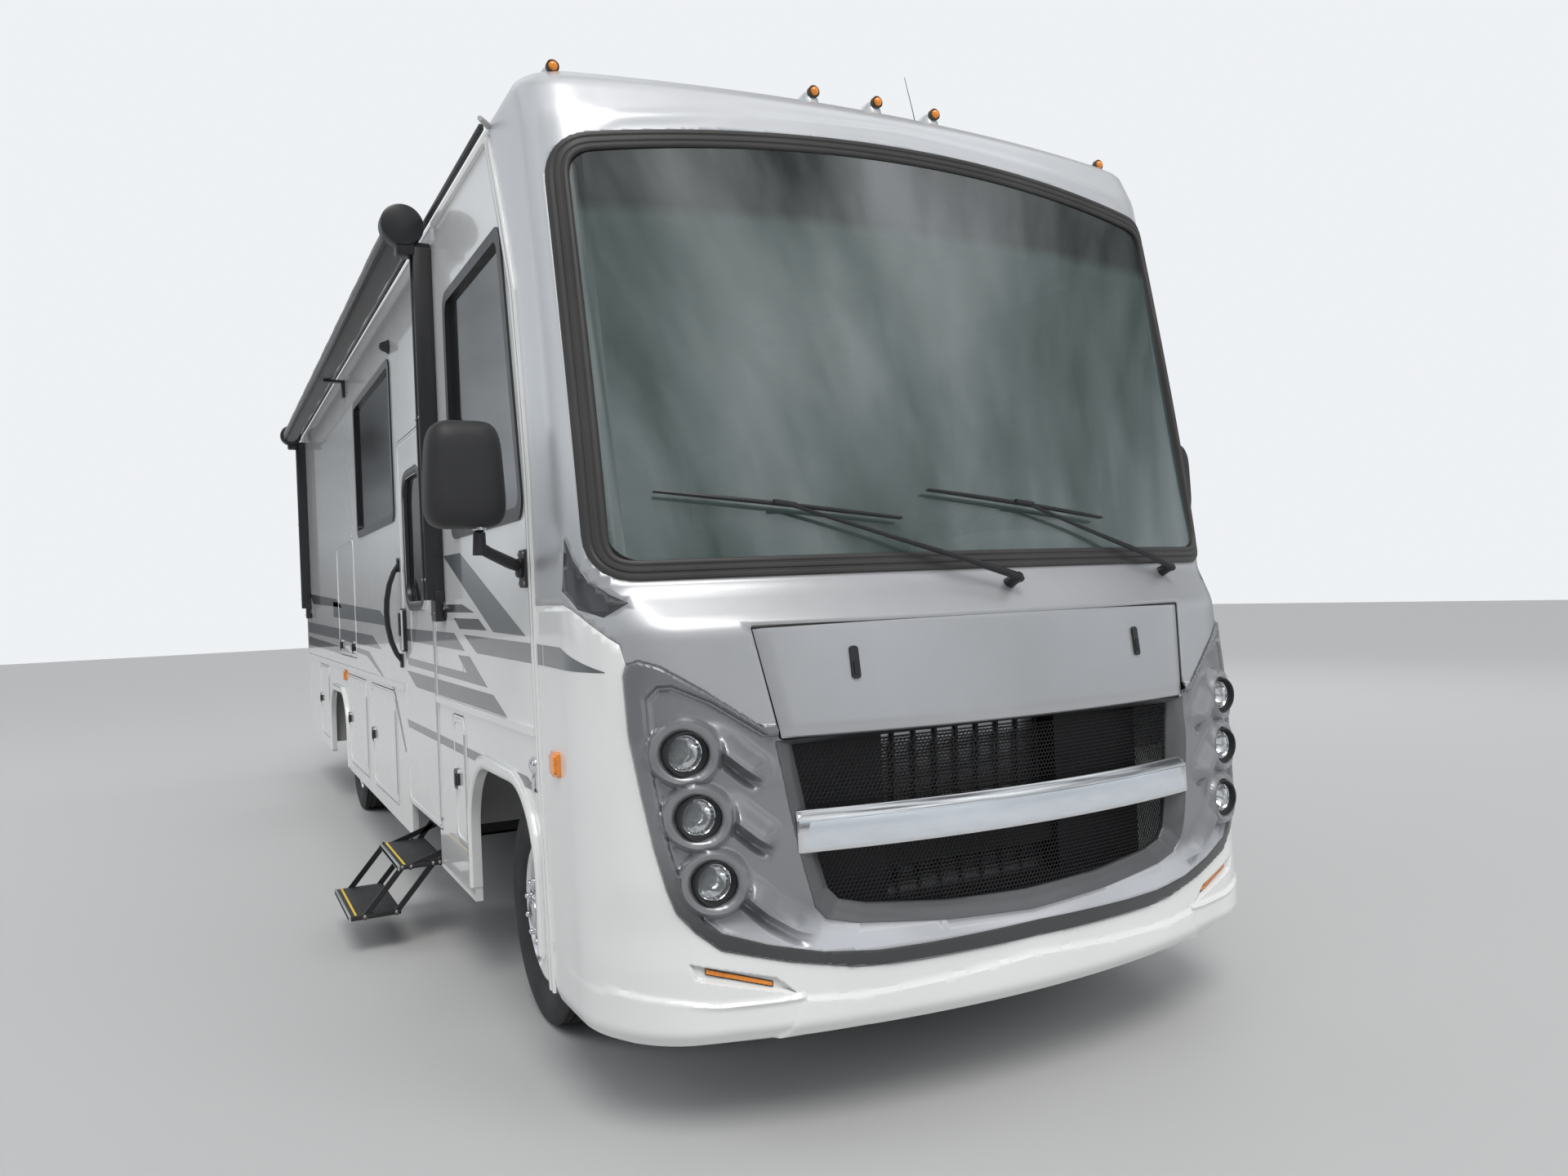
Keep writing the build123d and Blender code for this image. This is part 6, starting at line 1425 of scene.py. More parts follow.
DARK = [
    [(2.62, 1.58), (2.0, 1.576), (1.776, 1.542), (2.5, 1.546)],
    [(2.177, 1.519), (1.708, 1.517), (1.577, 1.474), (2.069, 1.475)],
    [(3.437, 1.243), (1.512, 1.234), (1.312, 1.167), (3.179, 1.17)],
    [(3.486, 0.984), (1.059, 0.986), (0.921, 0.948), (3.456, 0.946)],
    [(9.2, 1.33), (6.1, 1.29), (5.7, 1.235), (9.2, 1.25)],
    [(8.9, 1.735), (6.7, 1.66), (6.3, 1.59), (8.6, 1.64)],
    [(5.9, 1.32), (4.9, 1.3), (4.3, 1.172), (4.38, 1.172), (5.0, 1.27), (5.9, 1.285)],
    [(3.985, 1.13), (3.9, 1.13), (3.56, 0.8), (3.6, 0.8)],
]
FILM = (0.0002, 0.001)
SHY, GAP = 0.002, 0.007  # how far a film stays inside a door, and outside its opening


def on_wall(sign):
    """Puts (along, up, out) on a side wall."""
    return lambda a, b, d: (sign * (HALF + d), a, b)


def enclosed(shape):
    """Twice the area inside a closed outline."""
    return abs(sum(a[0] * b[1] - b[0] * a[1] for a, b in zip(shape, shape[1:] + shape[:1])))


def stripes(name, polygons, material, sign, panels, blanks=()):
    """Films of one colour on one side, cut at the doors and left out over the blanks."""
    shares = {}
    for polygon in polygons:
        rest = [polygon]
        for _, body, y0, y1, z0, z1 in [*panels, *[("", None, *b) for b in blanks]]:
            new_rest = []
            for shape in rest:
                own = window(shape, y0 + SHY, y1 - SHY, z0 + SHY, z1 - SHY)
                if len(own) > 2 and body:
                    shares.setdefault(body, []).append(own)
                edges = [clip(shape, 0, y0 - GAP, True), clip(shape, 0, y1 + GAP, False)]
                middle = clip(clip(shape, 0, y0 - GAP, False), 0, y1 + GAP, True)
                if len(middle) > 2:
                    edges += [clip(middle, 1, z0 - GAP, True), clip(middle, 1, z1 + GAP, False)]
                new_rest += [edge for edge in edges if len(edge) > 2]
            rest = new_rest
        shares.setdefault("coach", []).extend(rest)
    for body, shapes in shares.items():
        parts = [plate(shape, on_wall(sign), *FILM) for shape in shapes if enclosed(shape) > 1e-4]
        if parts:
            piece(f"{name}_{body}", parts, material, body=body)


stripes("curb_slate_stripes", SLATE, "slate_graphic", -1, CURB_PANELS)
stripes("curb_dark_stripes", DARK, "dark_graphic", -1, CURB_PANELS)
slide_blank = [(2.945, 6.055, 1.185, 3.035)]
stripes("road_slate_stripes", SLATE, "slate_graphic", 1, ROAD_PANELS, slide_blank)
stripes("road_dark_stripes", DARK, "dark_graphic", 1, ROAD_PANELS, slide_blank)


def from_side_bent(y, z, sign):
    """u and v of a side place that may lie on the corner."""
    v = np.interp(z, LEVELS[:, 0], WALK)
    _, _, corner, _, _, centre_y, lean, first, second = outline_terms(level_at(v))
    angle = np.arccos(np.clip((centre_y - y) / corner, 0, 1))
    return np.stack([sign * np.where(y < centre_y, first + corner * (angle - lean),
            first + second + y - centre_y), v], -1)


tips = []
for sign in (-1, 1):
    ys = np.linspace(0.8, 0.38, 30)
    high = np.interp(ys, [0.376, 0.61, 0.812], [1.363, 1.433, 1.437])
    low = np.interp(ys, [0.376, 0.812], [1.3615, 1.371])
    loops = []
    for zs, lift in ((high, 0.0001), (high, 0.001), (low, 0.001), (low, 0.0001)):
        uv = from_side_bent(ys, zs, sign)
        loops.append(skin(uv[:, 0], uv[:, 1], lift))
    points = np.concatenate(loops)
    faces = grid_faces(4, 30, True, False)
    faces += [(0, 30, 60, 90), (29, 119, 89, 59)]
    tips.append((points, faces))
piece("stripe_tips_on_the_nose", tips, "slate_graphic")

# %% Door rims, piano hinges and latches
for sign, panels in ((-1, CURB_PANELS), (1, ROAD_PANELS)):
    for node, body, y0, y1, z0, z1 in panels:
        flat = on_wall(sign)

        def frame_loop(inset, lift, radius):
            border = card(y0 + inset, z0 + inset, y1 - inset, z1 - inset, radius, 8)
            return np.array([flat(a, b, lift) for a, b in border])

        rim = [frame_loop(*row) for row in ((0.01, 0.0, 0.055), (0.011, 0.0028, 0.055),
                (0.014, 0.0036, 0.053), (0.026, 0.0036, 0.046), (0.029, 0.0028, 0.045), (0.03, 0.0, 0.044))]
        piece(f"{node}_rim", [ring(rim)], "white_gelcoat", body=body)
        proud = sign * (HALF + 0.004)
        if node == "media_door":
            spots = np.arange(y0 + 0.062, y1 - 0.09, 0.052)
            knuckles = [tube([(proud, a, z1 - 0.007), (proud, a + 0.05, z1 - 0.007)], 0.004, 10)
                        for a in spots]
            latch_spots = [(y0 + 0.16, z0 + 0.07), (y1 - 0.16, z0 + 0.07)]
        else:
            gap = 0.042 if node == "entry_door" else 0.062
            spots = np.arange(z0 + gap, z1 - gap - 0.05, 0.052)
            knuckles = [tube([(proud, y0 + 0.005, b), (proud, y0 + 0.005, b + 0.05)], 0.0054, 10)
                        for b in spots]
            latch_spots = [] if node == "entry_door" else [(y1 - 0.07, (z0 + z1) / 2)]
        piece(f"{node}_hinge", knuckles, "satin_alloy", body=body)
        pads = []
        for a, b in latch_spots:
            outline = card(a - 0.035, b - 0.043, a + 0.035, b + 0.043, 0.026, 6)
            pads.append(plate(outline, flat, 0.0, 0.0125, 0.004))
            inner = card(a - 0.014, b - 0.03, a + 0.014, b + 0.022, 0.012, 5)
            pads.append(plate(inner, flat, 0.01, 0.0165, 0.002))
        if pads:
            piece(f"{node}_latch", pads, "satin_black", body=body)
entry = CURB_PANELS[4]
flat = on_wall(-1)
a0, a1, b0, b1 = entry[3] - 0.11, entry[3] - 0.04, 1.35, 1.56
lock = [plate(card(a0 - 0.004, b0 - 0.008, a1 + 0.004, b1 + 0.008, 0.02, 6), flat, 0.0, 0.02, 0.006),
        plate(card(a0 + 0.012, b0 + 0.075, a1 - 0.012, b1 - 0.015, 0.014, 5), flat, 0.018, 0.034, 0.005),
        lathe([(-HALF - 0.02, POLE), (-HALF - 0.02, 0.014), (-HALF - 0.024, 0.013), (-HALF - 0.026, POLE)],
              (0, (a0 + a1) / 2, b0 + 0.035), 24, 0)]
piece("entry_door_lock", lock, "satin_black", body="entry")
w0, w1, v0, v1 = 2.79, 3.345, 1.56, 2.26
pane_ring = []
for inset, lift, radius in ((-0.004, 0.0, 0.15), (-0.004, 0.008, 0.15), (0.002, 0.012, 0.148),
        (0.034, 0.012, 0.12), (0.04, 0.008, 0.115), (0.044, -0.01, 0.112), (0.04, -0.012, 0.115)):
    border = card(w0 + inset, v0 + inset, w1 - inset, v1 - inset, radius, 10)
    pane_ring.append(np.array([flat(a, b, lift) for a, b in border]))
piece("entry_door_window_frame", [ring(pane_ring)], "satin_black", body="entry")


# %% Seam trims, arch lips and hardware
def wall_bead(path, sign, section):
    """A moulding along a (y, z) path on a side wall."""
    path = np.array(path, float)
    steps = np.gradient(path, axis=0)
    steps /= np.hypot(*steps.T)[:, None]
    side = np.stack([-steps[:, 1], steps[:, 0]], -1)
    rows = [np.stack([np.full(len(path), sign * (HALF + out)), path[:, 0] + side[:, 0] * off,
                      path[:, 1] + side[:, 1] * off], -1) for out, off in section]
    points = np.concatenate(rows)
    count, starts = len(path), [k * len(path) for k in range(len(section))]
    faces = grid_faces(len(section), count, True, False)
    faces += [tuple(starts), tuple(k + count - 1 for k in reversed(starts))]
    return points, faces


trims = []
front_seam = [(0.79, 0.33), (0.822, 0.7), (0.842, 1.1), (0.852, 1.6), (0.858, 2.0), (0.905, 2.35),
              (0.95, 2.62), (1.06, 2.88), (1.215, 3.215)]
seam_line = np.array(even(front_seam, 8))
slim = [(0.0, -0.013), (0.006, -0.013), (0.008, -0.009), (0.008, 0.009), (0.006, 0.013), (0.0, 0.013)]
for sign in (-1, 1):
    trims += [wall_bead(seam_line + np.array((back, 0)), sign, slim) for back in (0.03, 0.062)]
piece("front_seam_trims", trims, "white_gelcoat")
ARCH_LIP = [(-0.03, -0.004), (0.008, -0.004), (0.0155, 0.004), (0.0175, 0.016), (0.017, 0.034),
            (0.013, 0.045), (0.004, 0.05), (0.0, 0.05), (0.0, 0.002), (-0.03, 0.002)]
arches = []
for axle, half in ((FRONT_AXLE, 0.5), (REAR_AXLE, 0.56)):
    turn = np.linspace(0, math.pi / 2, 12)
    line = [(axle - half, 0.42), (axle - half, 0.642)]
    line += [(axle - half + 0.3 - 0.3 * math.cos(a), 0.642 + 0.3 * math.sin(a)) for a in turn[1:]]
    line += [(axle + half - 0.3 + 0.3 * math.sin(a), 0.642 + 0.3 * math.cos(a)) for a in turn]
    line += [(axle + half, 0.42)]
    arches += [wall_bead(line, sign, ARCH_LIP) for sign in (-1, 1)]
piece("wheel_arch_lips", arches, "white_gelcoat", smooth=45)
markers, frames = [], []
for sign in (-1, 1):
    for y, z in ((0.69, 1.072), (6.22, 1.09)):
        uv = from_side_bent(np.array([y]), np.array([z]), sign)
        spot = skin(uv[:, 0], uv[:, 1])[0] if y < 1 else np.array((sign * HALF, y, z))
        x = spot[0]
        outline = card(y - 0.034, z - 0.04, y + 0.034, z + 0.04, 0.012, 5)
        frames.append(plate(outline, lambda a, b, d: (x + sign * d, a, b), -0.006, 0.012, 0.004))
        inner = card(y - 0.024, z - 0.03, y + 0.024, z + 0.03, 0.009, 5)
        markers.append(plate(inner, lambda a, b, d: (x + sign * d, a, b), 0.008, 0.02, 0.007, 3))
piece("side_marker_frames", frames, "amber_plastic")
piece("side_marker_lenses", markers, "amber_plastic")
port = [lathe([(-HALF, POLE), (-HALF, 0.03), (-HALF - 0.004, 0.03), (-HALF - 0.007, 0.026),
               (-HALF - 0.012, 0.024), (-HALF - 0.016, 0.014), (-HALF - 0.017, POLE)],
              (0, 0.965, 1.035), 32, 0),
        tube([(-HALF - 0.003, 0.965, 1.005), (-HALF - 0.006, 0.962, 0.975),
              (-HALF - 0.004, 0.968, 0.945)], 0.006, 10)]
piece("cable_port", port, "polished_alloy")
camera_eye = [lathe([(-HALF, POLE), (-HALF, 0.038), (-HALF - 0.01, 0.036), (-HALF - 0.022, 0.028),
                     (-HALF - 0.036, 0.024), (-HALF - 0.048, 0.014), (-HALF - 0.051, POLE)],
                    (0, 3.63, 2.98), 32, 0)]
piece("side_camera", camera_eye, "grained_black")
low_h, high_h = nodebox("grab_handle")
grip_y = (low_h[1] + high_h[1]) / 2
g0, g1 = float(low_h[2]) + 0.04, float(high_h[2]) - 0.04
bend = np.array([(-HALF - 0.004, grip_y, g0), (-HALF - 0.03, grip_y, g0 + 0.03),
                 (-HALF - 0.058, grip_y, g0 + 0.1), (-HALF - 0.072, grip_y, g0 + 0.19),
                 (-HALF - 0.074, grip_y, (g0 + g1) / 2), (-HALF - 0.072, grip_y, g1 - 0.19),
                 (-HALF - 0.058, grip_y, g1 - 0.1), (-HALF - 0.03, grip_y, g1 - 0.03),
                 (-HALF - 0.004, grip_y, g1)])
smooth_path = np.array([bend[0], *[(bend[k] * 0.25 + bend[k + 1] * 0.5 + bend[min(k + 2, 8)] * 0.25)
        for k in range(7)], bend[-1]])
grip = [tube(smooth_path, [0.013, 0.0135, 0.0145, 0.015, 0.015, 0.015, 0.0145, 0.0135, 0.013], 16)]
for z in (g0, g1):
    grip.append(plate(card(grip_y - 0.022, z - 0.038, grip_y + 0.022, z + 0.038, 0.018, 6),
                      on_wall(-1), 0.0004, 0.012, 0.004))
piece("grab_handle_grip", grip, "satin_black", stands_for=("grab_handle",))

# %% [markdown]
# ## Awning and steps
# The awning arms are extruded channels: web, two flanges and a folding arm nested inside, held by
# screwed brackets. The cloth rolls up on a tube between cast end caps. The entry steps have
# ribbed treads with a yellow strip near their outer edge and a bright nosing.

# %% Awning
low_o, high_o = nodebox("awning_roll")
ROLL_X, ROLL_Z = (low_o[0] + high_o[0]) / 2, (low_o[2] + high_o[2]) / 2
ROLL_R = (high_o[2] - low_o[2]) / 2
channels, caps, screws, folded = [], [], [], []
face = -HALF - 0.0004
deep = face - 0.078
for y, out in ((2.4, -1), (8.85, 1)):
    for a, b in (((deep, y - 0.045, 1.6), (face, y - 0.026, 3.145)),
                 ((deep, y + 0.026, 1.6), (face, y + 0.045, 3.145)),
                 ((face - 0.02, y - 0.03, 1.6), (face, y + 0.03, 3.145))):
        channels.append(block(a, b, 0.004, 2))
    for side in (-1, 1):
        channels.append(block((deep - 0.001, y + side * 0.0355 - 0.004, 1.61),
                              (deep + 0.006, y + side * 0.0355 + 0.004, 3.135), 0.002, 1))
    folded.append(block((deep + 0.012, y - 0.017, 1.7), (face - 0.024, y + 0.017, 3.05), 0.006, 2))
    folded.append(block((deep + 0.004, y - 0.012, 1.9), (deep + 0.016, y + 0.012, 2.9), 0.004, 2))
    channels.append(block((face - 0.044, y - 0.052, 1.505), (face, y + 0.052, 1.64), 0.006, 2))
    channels.append(plate(rounded([(y - 0.075, 1.52), (y + 0.05, 1.52), (y + 0.05, 1.61), (y - 0.01, 1.645),
            (y - 0.075, 1.56)], 0.012, 4), on_wall(-1), 0.0004, 0.01, 0.002))
    channels.append(block((ROLL_X, y - 0.036, ROLL_Z - 0.118), (face, y + 0.036, ROLL_Z - 0.064), 0.01, 2))
    for dy, z in ((-0.03, 1.54), (0.03, 1.54), (-0.03, 1.69), (0.03, 1.69), (-0.03, 2.4), (0.03, 2.4),
                  (-0.058, 1.56)):
        depth = -0.078 if z > 1.65 else (-0.01 if dy < -0.05 else -0.044)
        screws.append(lathe([(0, POLE), (0, 0.0075), (-0.003, 0.007), (-0.0045, 0.0035), (-0.005, POLE)],
                            (face + depth - 0.0005, y + dy * 1.15, z), 16, 0))
    cap_y0, cap_y1 = sorted((y - out * 0.04, y + out * 0.06))
    profile = [(cap_y0, POLE), (cap_y0, 0.08), (cap_y0 + 0.004, 0.088), (cap_y0 + 0.014, 0.0915),
               (cap_y1 - 0.02, 0.0915), (cap_y1 - 0.008, 0.086), (cap_y1 - 0.001, 0.07), (cap_y1, 0.045),
               (cap_y1, POLE)]
    caps.append(lathe(profile, (ROLL_X, 0, ROLL_Z), 48, 1))
    caps.append(block((ROLL_X - 0.03, cap_y0 + 0.008, ROLL_Z - 0.13),
                      (ROLL_X + 0.05, cap_y1 - 0.008, ROLL_Z - 0.06), 0.014, 2))
middle = 5.625
channels.append(block((ROLL_X - 0.022, middle - 0.03, ROLL_Z - ROLL_R - 0.022),
                      (face, middle + 0.03, ROLL_Z - ROLL_R - 0.003), 0.006, 2))
channels.append(block((-HALF - 0.02, middle - 0.03, ROLL_Z - 0.19),
                      (face, middle + 0.03, ROLL_Z - ROLL_R - 0.006), 0.005, 2))
piece("awning_channels", channels + caps, "satin_black", stands_for=("awning_frame",), smooth=30)
piece("awning_folding_arms", folded, "grained_black")
piece("awning_screws", screws, "grey_steel")
spin = np.linspace(0, 2 * math.pi, 61)[:-1]
wraps = []
for y in np.linspace(low_o[1], high_o[1], 65):
    sag = 0.0009 * math.sin(y * 9.0) + 0.0006 * math.sin(y * 23.0)
    r = ROLL_R - 0.0022 + sag + 0.0016 * np.abs(np.sin(spin * 0.5 + 0.6)) ** 6
    wraps.append(np.stack([ROLL_X + r * np.cos(spin), np.full(len(spin), y), ROLL_Z + r * np.sin(spin)], 1))
piece("awning_cloth_roll", [capped(wraps)], "awning_cloth", stands_for=("awning_roll",))
rails = [block((ROLL_X - 0.066, low_o[1] + 0.002, ROLL_Z - 0.05),
               (ROLL_X - 0.05, high_o[1] - 0.002, ROLL_Z - 0.024), 0.005, 2)]
rails.append(block((-HALF - 0.018, 1.3, 3.262), (face, 9.1, 3.286), 0.004, 2))
piece("awning_rails", rails, "satin_black")
spout = [tube([(s * (HALF + 0.002), 1.23, 3.25), (s * (HALF + 0.02), 1.205, 3.25),
               (s * (HALF + 0.046), 1.165, 3.246)], [0.012, 0.011, 0.009], 14) for s in (-1, 1)]
piece("gutter_spouts", spout, "moulded_grey")

# %% Entry steps
STEP_Y0, STEP_Y1 = 2.74, 3.33
treads, ribs, strips, nosings, links, bolts = [], [], [], [], [], []
for outer, inner, top in ((1.47, 1.25, 0.385), (1.69, 1.462, 0.185)):
    treads.append(block((-outer, STEP_Y0, top - 0.024), (-inner, STEP_Y1, top - 0.0025), 0.004, 2))
    for x in np.arange(inner + 0.012, outer - 0.055, 0.009):
        ribs.append(block((-x - 0.0025, STEP_Y0 + 0.012, top - 0.004),
                          (-x + 0.0025, STEP_Y1 - 0.012, top - 0.0004), 0.0012, 1))
    strips.append(block((-outer + 0.027, STEP_Y0 + 0.012, top - 0.004),
                        (-outer + 0.037, STEP_Y1 - 0.012, top), 0.0015, 1))
    nosings.append(block((-outer, STEP_Y0 - 0.002, top - 0.026), (-outer + 0.01, STEP_Y1 + 0.002, top),
                         0.003, 2))
low, top_1, top_2 = 0.478, 0.385, 0.185
for y in (STEP_Y0 + 0.008, STEP_Y1 - 0.008):
    side = -1 if y < 3 else 1
    for x0, z0, x1, z1 in ((1.19, low + 0.008, 1.28, top_1 - 0.012),
                           (1.07, low + 0.008, 1.41, top_1 - 0.014),
                           (1.31, top_1 - 0.012, 1.482, top_2 - 0.012),
                           (1.45, top_1 - 0.012, 1.62, top_2 - 0.012)):
        a, b = np.array((-x0, y, z0)), np.array((-x1, y, z1))
        along = (b - a) / np.linalg.norm(b - a)
        across = np.array((-along[2], 0, along[0])) * 0.013
        corners = [a - across - along * 0.012, b - across + along * 0.012, b + across + along * 0.012,
                   a + across - along * 0.012]
        half = np.array((0, 0.0035, 0))
        points = np.array([c - half for c in corners] + [c + half for c in corners])
        links.append((points, [(3, 2, 1, 0), (4, 5, 6, 7), (0, 1, 5, 4), (1, 2, 6, 5), (2, 3, 7, 6),
                               (3, 0, 4, 7)]))
        for c in (a, b):
            bolts.append(lathe([(side * 0.003, POLE), (side * 0.003, 0.009), (side * 0.008, 0.0085),
                                (side * 0.011, 0.005), (side * 0.012, POLE)], c, 14, 1))
housing = [block((-1.23, STEP_Y0 - 0.04, low), (-0.86, STEP_Y1 + 0.04, low + 0.014), 0.003, 1),
           block((-1.23, STEP_Y0 - 0.04, low), (-0.86, STEP_Y0 - 0.026, 0.5447), 0.003, 1),
           block((-1.23, STEP_Y1 + 0.026, low), (-0.86, STEP_Y1 + 0.04, 0.5447), 0.003, 1)]
piece("step_treads", treads + housing, "frame_black", stands_for=("entry_steps",), smooth=30)
piece("step_ribs", ribs, "grained_black")
piece("step_strips", strips, "safety_yellow")
piece("step_nosings", nosings, "satin_alloy")
piece("step_links", links, "satin_black")
piece("step_bolts", bolts, "grey_steel")

# %% [markdown]
# ## The cab, the roof and the tail
# Through the windscreen one sees padded captain's chairs, the wheel and a moulded dashboard. The
# roof units have louvred shrouds, and the tail has upright oblong lamps in black trims.


# %% Captain's chairs
def cushion(centre, size, crown, tilt=0.0, seams=3, rows=27, columns=25, power=0.3):
    """Padded pad: a superellipse block crowned towards its middle, with stitched channels."""
    a = np.linspace(0, 2 * math.pi, columns * 4 + 1)[:-1]
    b = np.linspace(-math.pi / 2, math.pi / 2, rows)
    sign_pow = lambda t, p: np.sign(t) * np.abs(t) ** p
    ca, sa = sign_pow(np.cos(a), power), sign_pow(np.sin(a), power)
    cb, sb = sign_pow(np.cos(b), 0.5), sign_pow(np.sin(b), 0.7)
    x = size[0] / 2 * ca[None, :] * cb[:, None]
    y = size[1] / 2 * sa[None, :] * cb[:, None]
    z = size[2] / 2 * sb[:, None] * np.ones_like(x)
    fall_x, fall_y = (1 - np.clip(np.abs(v) / (s / 2), 0, 1) ** 2.2
                      for v, s in ((x, size[0]), (y, size[1])))
    z += np.sign(z) * crown * (fall_x * fall_y) * (np.abs(z) > size[2] * 0.2)
    for k in range(seams):
        at = (k + 1) / (seams + 1) * 2 - 1
        dip = 0.01 * np.exp(-((y / (size[1] / 2) - at * 0.8) / 0.03) ** 2)
        z -= np.sign(z) * dip * (np.abs(x) < size[0] * 0.38) * (np.abs(z) > size[2] * 0.25)
    points = np.stack([x, y, z], -1).reshape(-1, 3)
    c, s = math.cos(tilt), math.sin(tilt)
    points = np.stack([points[:, 0], points[:, 1] * c - points[:, 2] * s,
                       points[:, 1] * s + points[:, 2] * c], -1) + np.array(centre)
    return points, grid_faces(rows, columns * 4, False, True)


def soft_subdivision(obj):
    layer = obj.modifiers.new("soft upholstery", "SUBSURF")
    layer.levels = 1
    layer.render_levels = 1


for name, x in (("driver", 0.64), ("passenger", -0.64)):
    pads = [cushion((x, 1.5, 1.405), (0.5, 0.5, 0.125), 0.02),
            cushion((x, 1.85, 1.8), (0.49, 0.6, 0.115), 0.018, tilt=math.radians(80), seams=4),
            cushion((x, 1.925, 2.12), (0.27, 0.11, 0.09), 0.01, tilt=math.radians(80), seams=0)]
    for side in (-1, 1):
        pads.append(cushion((x + side * 0.252, 1.64, 1.62), (0.055, 0.36, 0.06), 0.004, seams=0))
    seat = piece(f"{name}_seat_cushions", pads, "seat_vinyl", modifiers=soft_subdivision,
                 stands_for=("cab_seats",) if x > 0 else (), smooth=60)
    posts = [block((x - 0.17, 1.35, 0.981), (x + 0.17, 1.7, 1.335), 0.02),
             block((x - 0.2, 1.29, 1.315), (x + 0.2, 1.73, 1.345), 0.008)]
    for side in (-1, 1):
        posts.append(tube([(x + side * 0.235, 1.74, 1.45), (x + side * 0.262, 1.775, 1.59)], 0.014, 10))
    piece(f"{name}_seat_base", posts, "grained_black")

# %% Steering wheel and dashboard fittings
steer_joint = next(j for j in frame["joints"] if j["name"] == "steering_wheel_turn")
pin = np.array(steer_joint["pos_m"]) - ORIGIN
axis = np.array(steer_joint["axis"], float)
axis /= np.linalg.norm(axis)
across = np.array((1.0, 0, 0))
upward = np.cross(axis, across)
WHEEL_R = 0.225
turns = np.linspace(0, 2 * math.pi, 73)
rim_points = []
for k, t in enumerate(turns[:-1]):
    out = across * math.cos(t) + upward * math.sin(t)
    for s in np.linspace(0, 2 * math.pi, 13)[:-1]:
        rim_points.append(pin + out * (WHEEL_R + 0.0148 * math.cos(s)) + axis * 0.0148 * math.sin(s))
wheel_parts = [(np.array(rim_points), grid_faces(72, 12, True, True))]
for t in (math.pi / 2 * 3, math.pi * 0.06, math.pi * 0.94):
    out = across * math.cos(t) + upward * math.sin(t)
    wheel_parts.append(tube([pin + out * 0.03, pin + out * 0.12, pin + out * 0.218], [0.024, 0.017, 0.014],
                            12, 0.45))
hub_profile = [(-0.02, POLE), (-0.02, 0.052), (-0.006, 0.06), (0.008, 0.058), (0.017, 0.046),
               (0.0195, 0.02), (0.02, POLE)]
hub_points, hub_faces = lathe(hub_profile, (0, 0, 0), 40, 2)
hub_points = np.array([pin + across * p[0] + upward * p[1] + axis * p[2] for p in hub_points])
wheel_parts.append((hub_points, hub_faces))
piece("steering_wheel_rim", wheel_parts, "grained_black", body="helm", smooth=50,
      stands_for=("steering_wheel",))
vents = []
dash_high = nodebox("dashboard")[1]
for x in (-0.92, -0.56, -0.18, 0.18, 0.92):
    for k in range(6):
        y = 0.5 + 0.012 * k + 0.05 * abs(x)
        vents.append(block((x - 0.11, y, dash_high[2] - 0.0005),
                           (x + 0.11, y + 0.006, dash_high[2] + 0.003), 0.001, 1))
piece("dashboard_vents", vents, "satin_black")
pod = [cushion((0.56, 0.76, dash_high[2] + 0.02), (0.5, 0.26, 0.1), 0.012, seams=0)]
piece("instrument_hood", pod, "dash_vinyl", smooth=60)

# %% Roof units
roof_parts, slats = [], []
ROOF_TOP = float(nodebox("roof")[1][2])
for y, half_x, half_y, height, corner in ((3.3, 0.34, 0.48, 0.32, 0.09), (7.3, 0.34, 0.48, 0.32, 0.09),
        (5.3, 0.26, 0.24, 0.15, 0.06), (8.5, 0.26, 0.24, 0.15, 0.06)):
    loops = []
    for t, share in ((0.0, 0.995), (0.04, 0.995), (0.06, 0.972), (0.35, 0.925), (0.7, 0.865), (0.86, 0.825),
                     (0.95, 0.77), (0.99, 0.66), (1.0, 0.45), (0.998, 0.02)):
        w, l = half_x * share, half_y * share
        loops.append(np.array([(a, y + b, ROOF_TOP + 0.0005 + (height - 0.002) * t)
                               for a, b in card(-w, -l, w, l, min(corner * 2.2, w * 0.9), 9)]))
    roof_parts.append(capped(loops))
    if height > 0.2:
        for side in (-1, 1):
            for k in range(9):
                z = ROOF_TOP + 0.08 + 0.018 * k
                reach = half_x * (0.972 - 0.12 * (0.08 + 0.018 * k) / height)
                slats.append(block((side * reach - 0.01, y - 0.3, z),
                                   (side * reach + 0.006, y + 0.3, z + 0.007), 0.002, 1))
piece("roof_shrouds", roof_parts, "roof_moulding", stands_for=("roof_units",), smooth=40)
piece("roof_shroud_louvres", slats, "moulded_grey")
whip = [tube([(0.42, 1.05, 3.37), (0.43, 1.1, 3.52), (0.45, 1.18, 3.7)], [0.0022, 0.0018, 0.0012], 8),
        lathe([(3.368, POLE), (3.368, 0.02), (3.38, 0.017), (3.396, 0.008), (3.398, POLE)], (0.42, 1.05, 0),
              24, 2)]
piece("radio_antenna", whip, "satin_black")

# %% Tail lamps and rear markers
lamp_low, lamp_high = nodebox("tail_lamps")
FACE = TAIL + 0.0003
OUT = float(lamp_high[1])


def rear_pad(x, z, half_x, half_z, radius, low, high, bevel):
    """Rounded plate on the rear cap."""
    outline = card(x - half_x, z - half_z, x + half_x, z + half_z, radius, 7)
    return plate(outline, lambda a, b, d: (a, d, b), low, high, bevel)


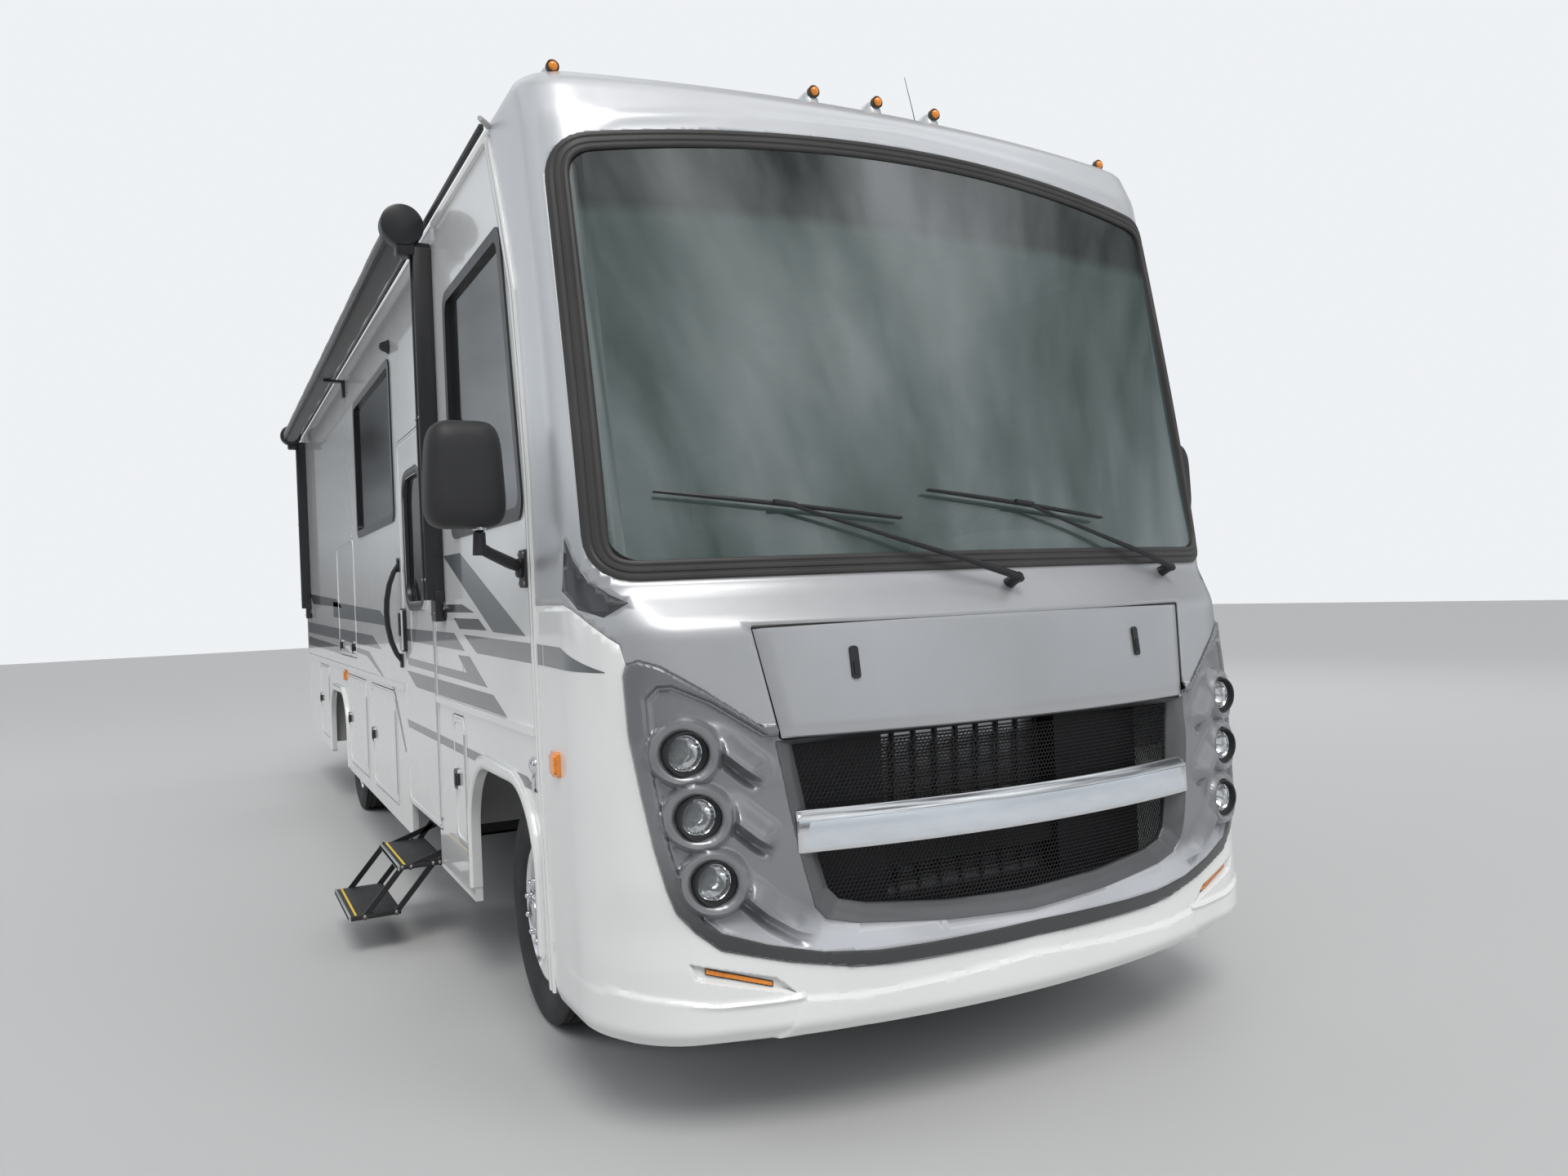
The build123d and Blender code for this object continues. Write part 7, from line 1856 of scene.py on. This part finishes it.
reds, bezels, reflectors, whites = [], [], [], []
for sign in (-1, 1):
    x = sign * 1.04
    for z in (1.33, 1.52):
        bezels.append(rear_pad(x, z, 0.06, 0.09, 0.03, FACE, OUT - 0.006, 0.004))
        lens = reds if z > 1.4 else whites
        lens.append(rear_pad(x, z, 0.05, 0.08, 0.024, FACE + 0.002, OUT, 0.005))
        for k in range(-6, 7):
            lens.append(block((x - 0.04, OUT - 0.002, z + k * 0.0105 - 0.0014),
                              (x + 0.04, OUT - 0.0002, z + k * 0.0105 + 0.0014), 0.0007, 1))
    reflectors.append(rear_pad(x, 0.73, 0.06, 0.03, 0.012, FACE, OUT - 0.003, 0.003))
for x in (-1.0, -0.25, 0.0, 0.25, 1.0):
    reds.append(rear_pad(x, 3.135, 0.04, 0.015, 0.01, FACE, OUT - 0.003, 0.003))
piece("tail_lamp_bezels", bezels, "satin_black", stands_for=("tail_lamps",))
piece("tail_lamp_lenses", reds, "red_plastic")
piece("reverse_lamp_lenses", whites, "lamp_chrome")
piece("rear_reflectors", reflectors, "red_plastic")
print("tail lamps from", [round(float(c), 3) for c in lamp_low], "to",
      [round(float(c), 3) for c in lamp_high])

# %% [markdown]
# ## Paint the remaining solids
# Everything the frame still shows as a plain solid takes its finish here: the walls and doors in
# white gelcoat, running gear in frame black, glass dark.

# %% Finishes for the CAD nodes
NODE_FINISH = {
    "white_gelcoat": "right_wall left_wall side_skirts roof rear_cap front_cap body_trim utility_door "
        "storage_door_1 storage_door_2 storage_door_3 storage_door_4 storage_door_5 "
        "media_door entry_door slide_room",
    "silver_paint": "hood_panel",
    "frame_black": "chassis_frame front_axle rear_axle tow_hitch entry_steps",
    "cast_iron": "engine_block knuckle_left knuckle_right",
    "grey_steel": "exhaust",
    "satin_alloy": "radiator",
    "grained_black": "service_tanks grille side_mirrors wipers grab_handle steering_wheel",
    "satin_black": "window_frames slide_frames awning_frame",
    "screen_rubber": "windshield_seal",
    "screen_glass": "windshield",
    "dark_glass": "window_glass slide_glass entry_door_glass",
    "moulded_grey": "floor storage_boxes_curb storage_boxes_road",
    "roof_moulding": "roof_units",
    "lamp_chrome": "headlamps",
    "amber_plastic": "marker_lamps",
    "red_plastic": "tail_lamps",
    "awning_cloth": "awning_roll",
    "dash_vinyl": "dashboard",
    "seat_vinyl": "cab_seats",
    "cabinet_board": "cabin_furniture",
    "polished_alloy": "front_wheel_left front_wheel_right rear_wheels_left rear_wheels_right",
    "tyre_rubber": "front_tyre_left front_tyre_right rear_tyres_left rear_tyres_right",
}
for finish_name, names in NODE_FINISH.items():
    for node in names.split():
        obj = bpy.data.objects[node]
        obj.data.materials.clear()
        obj.data.materials.append(MATERIALS[finish_name][0])
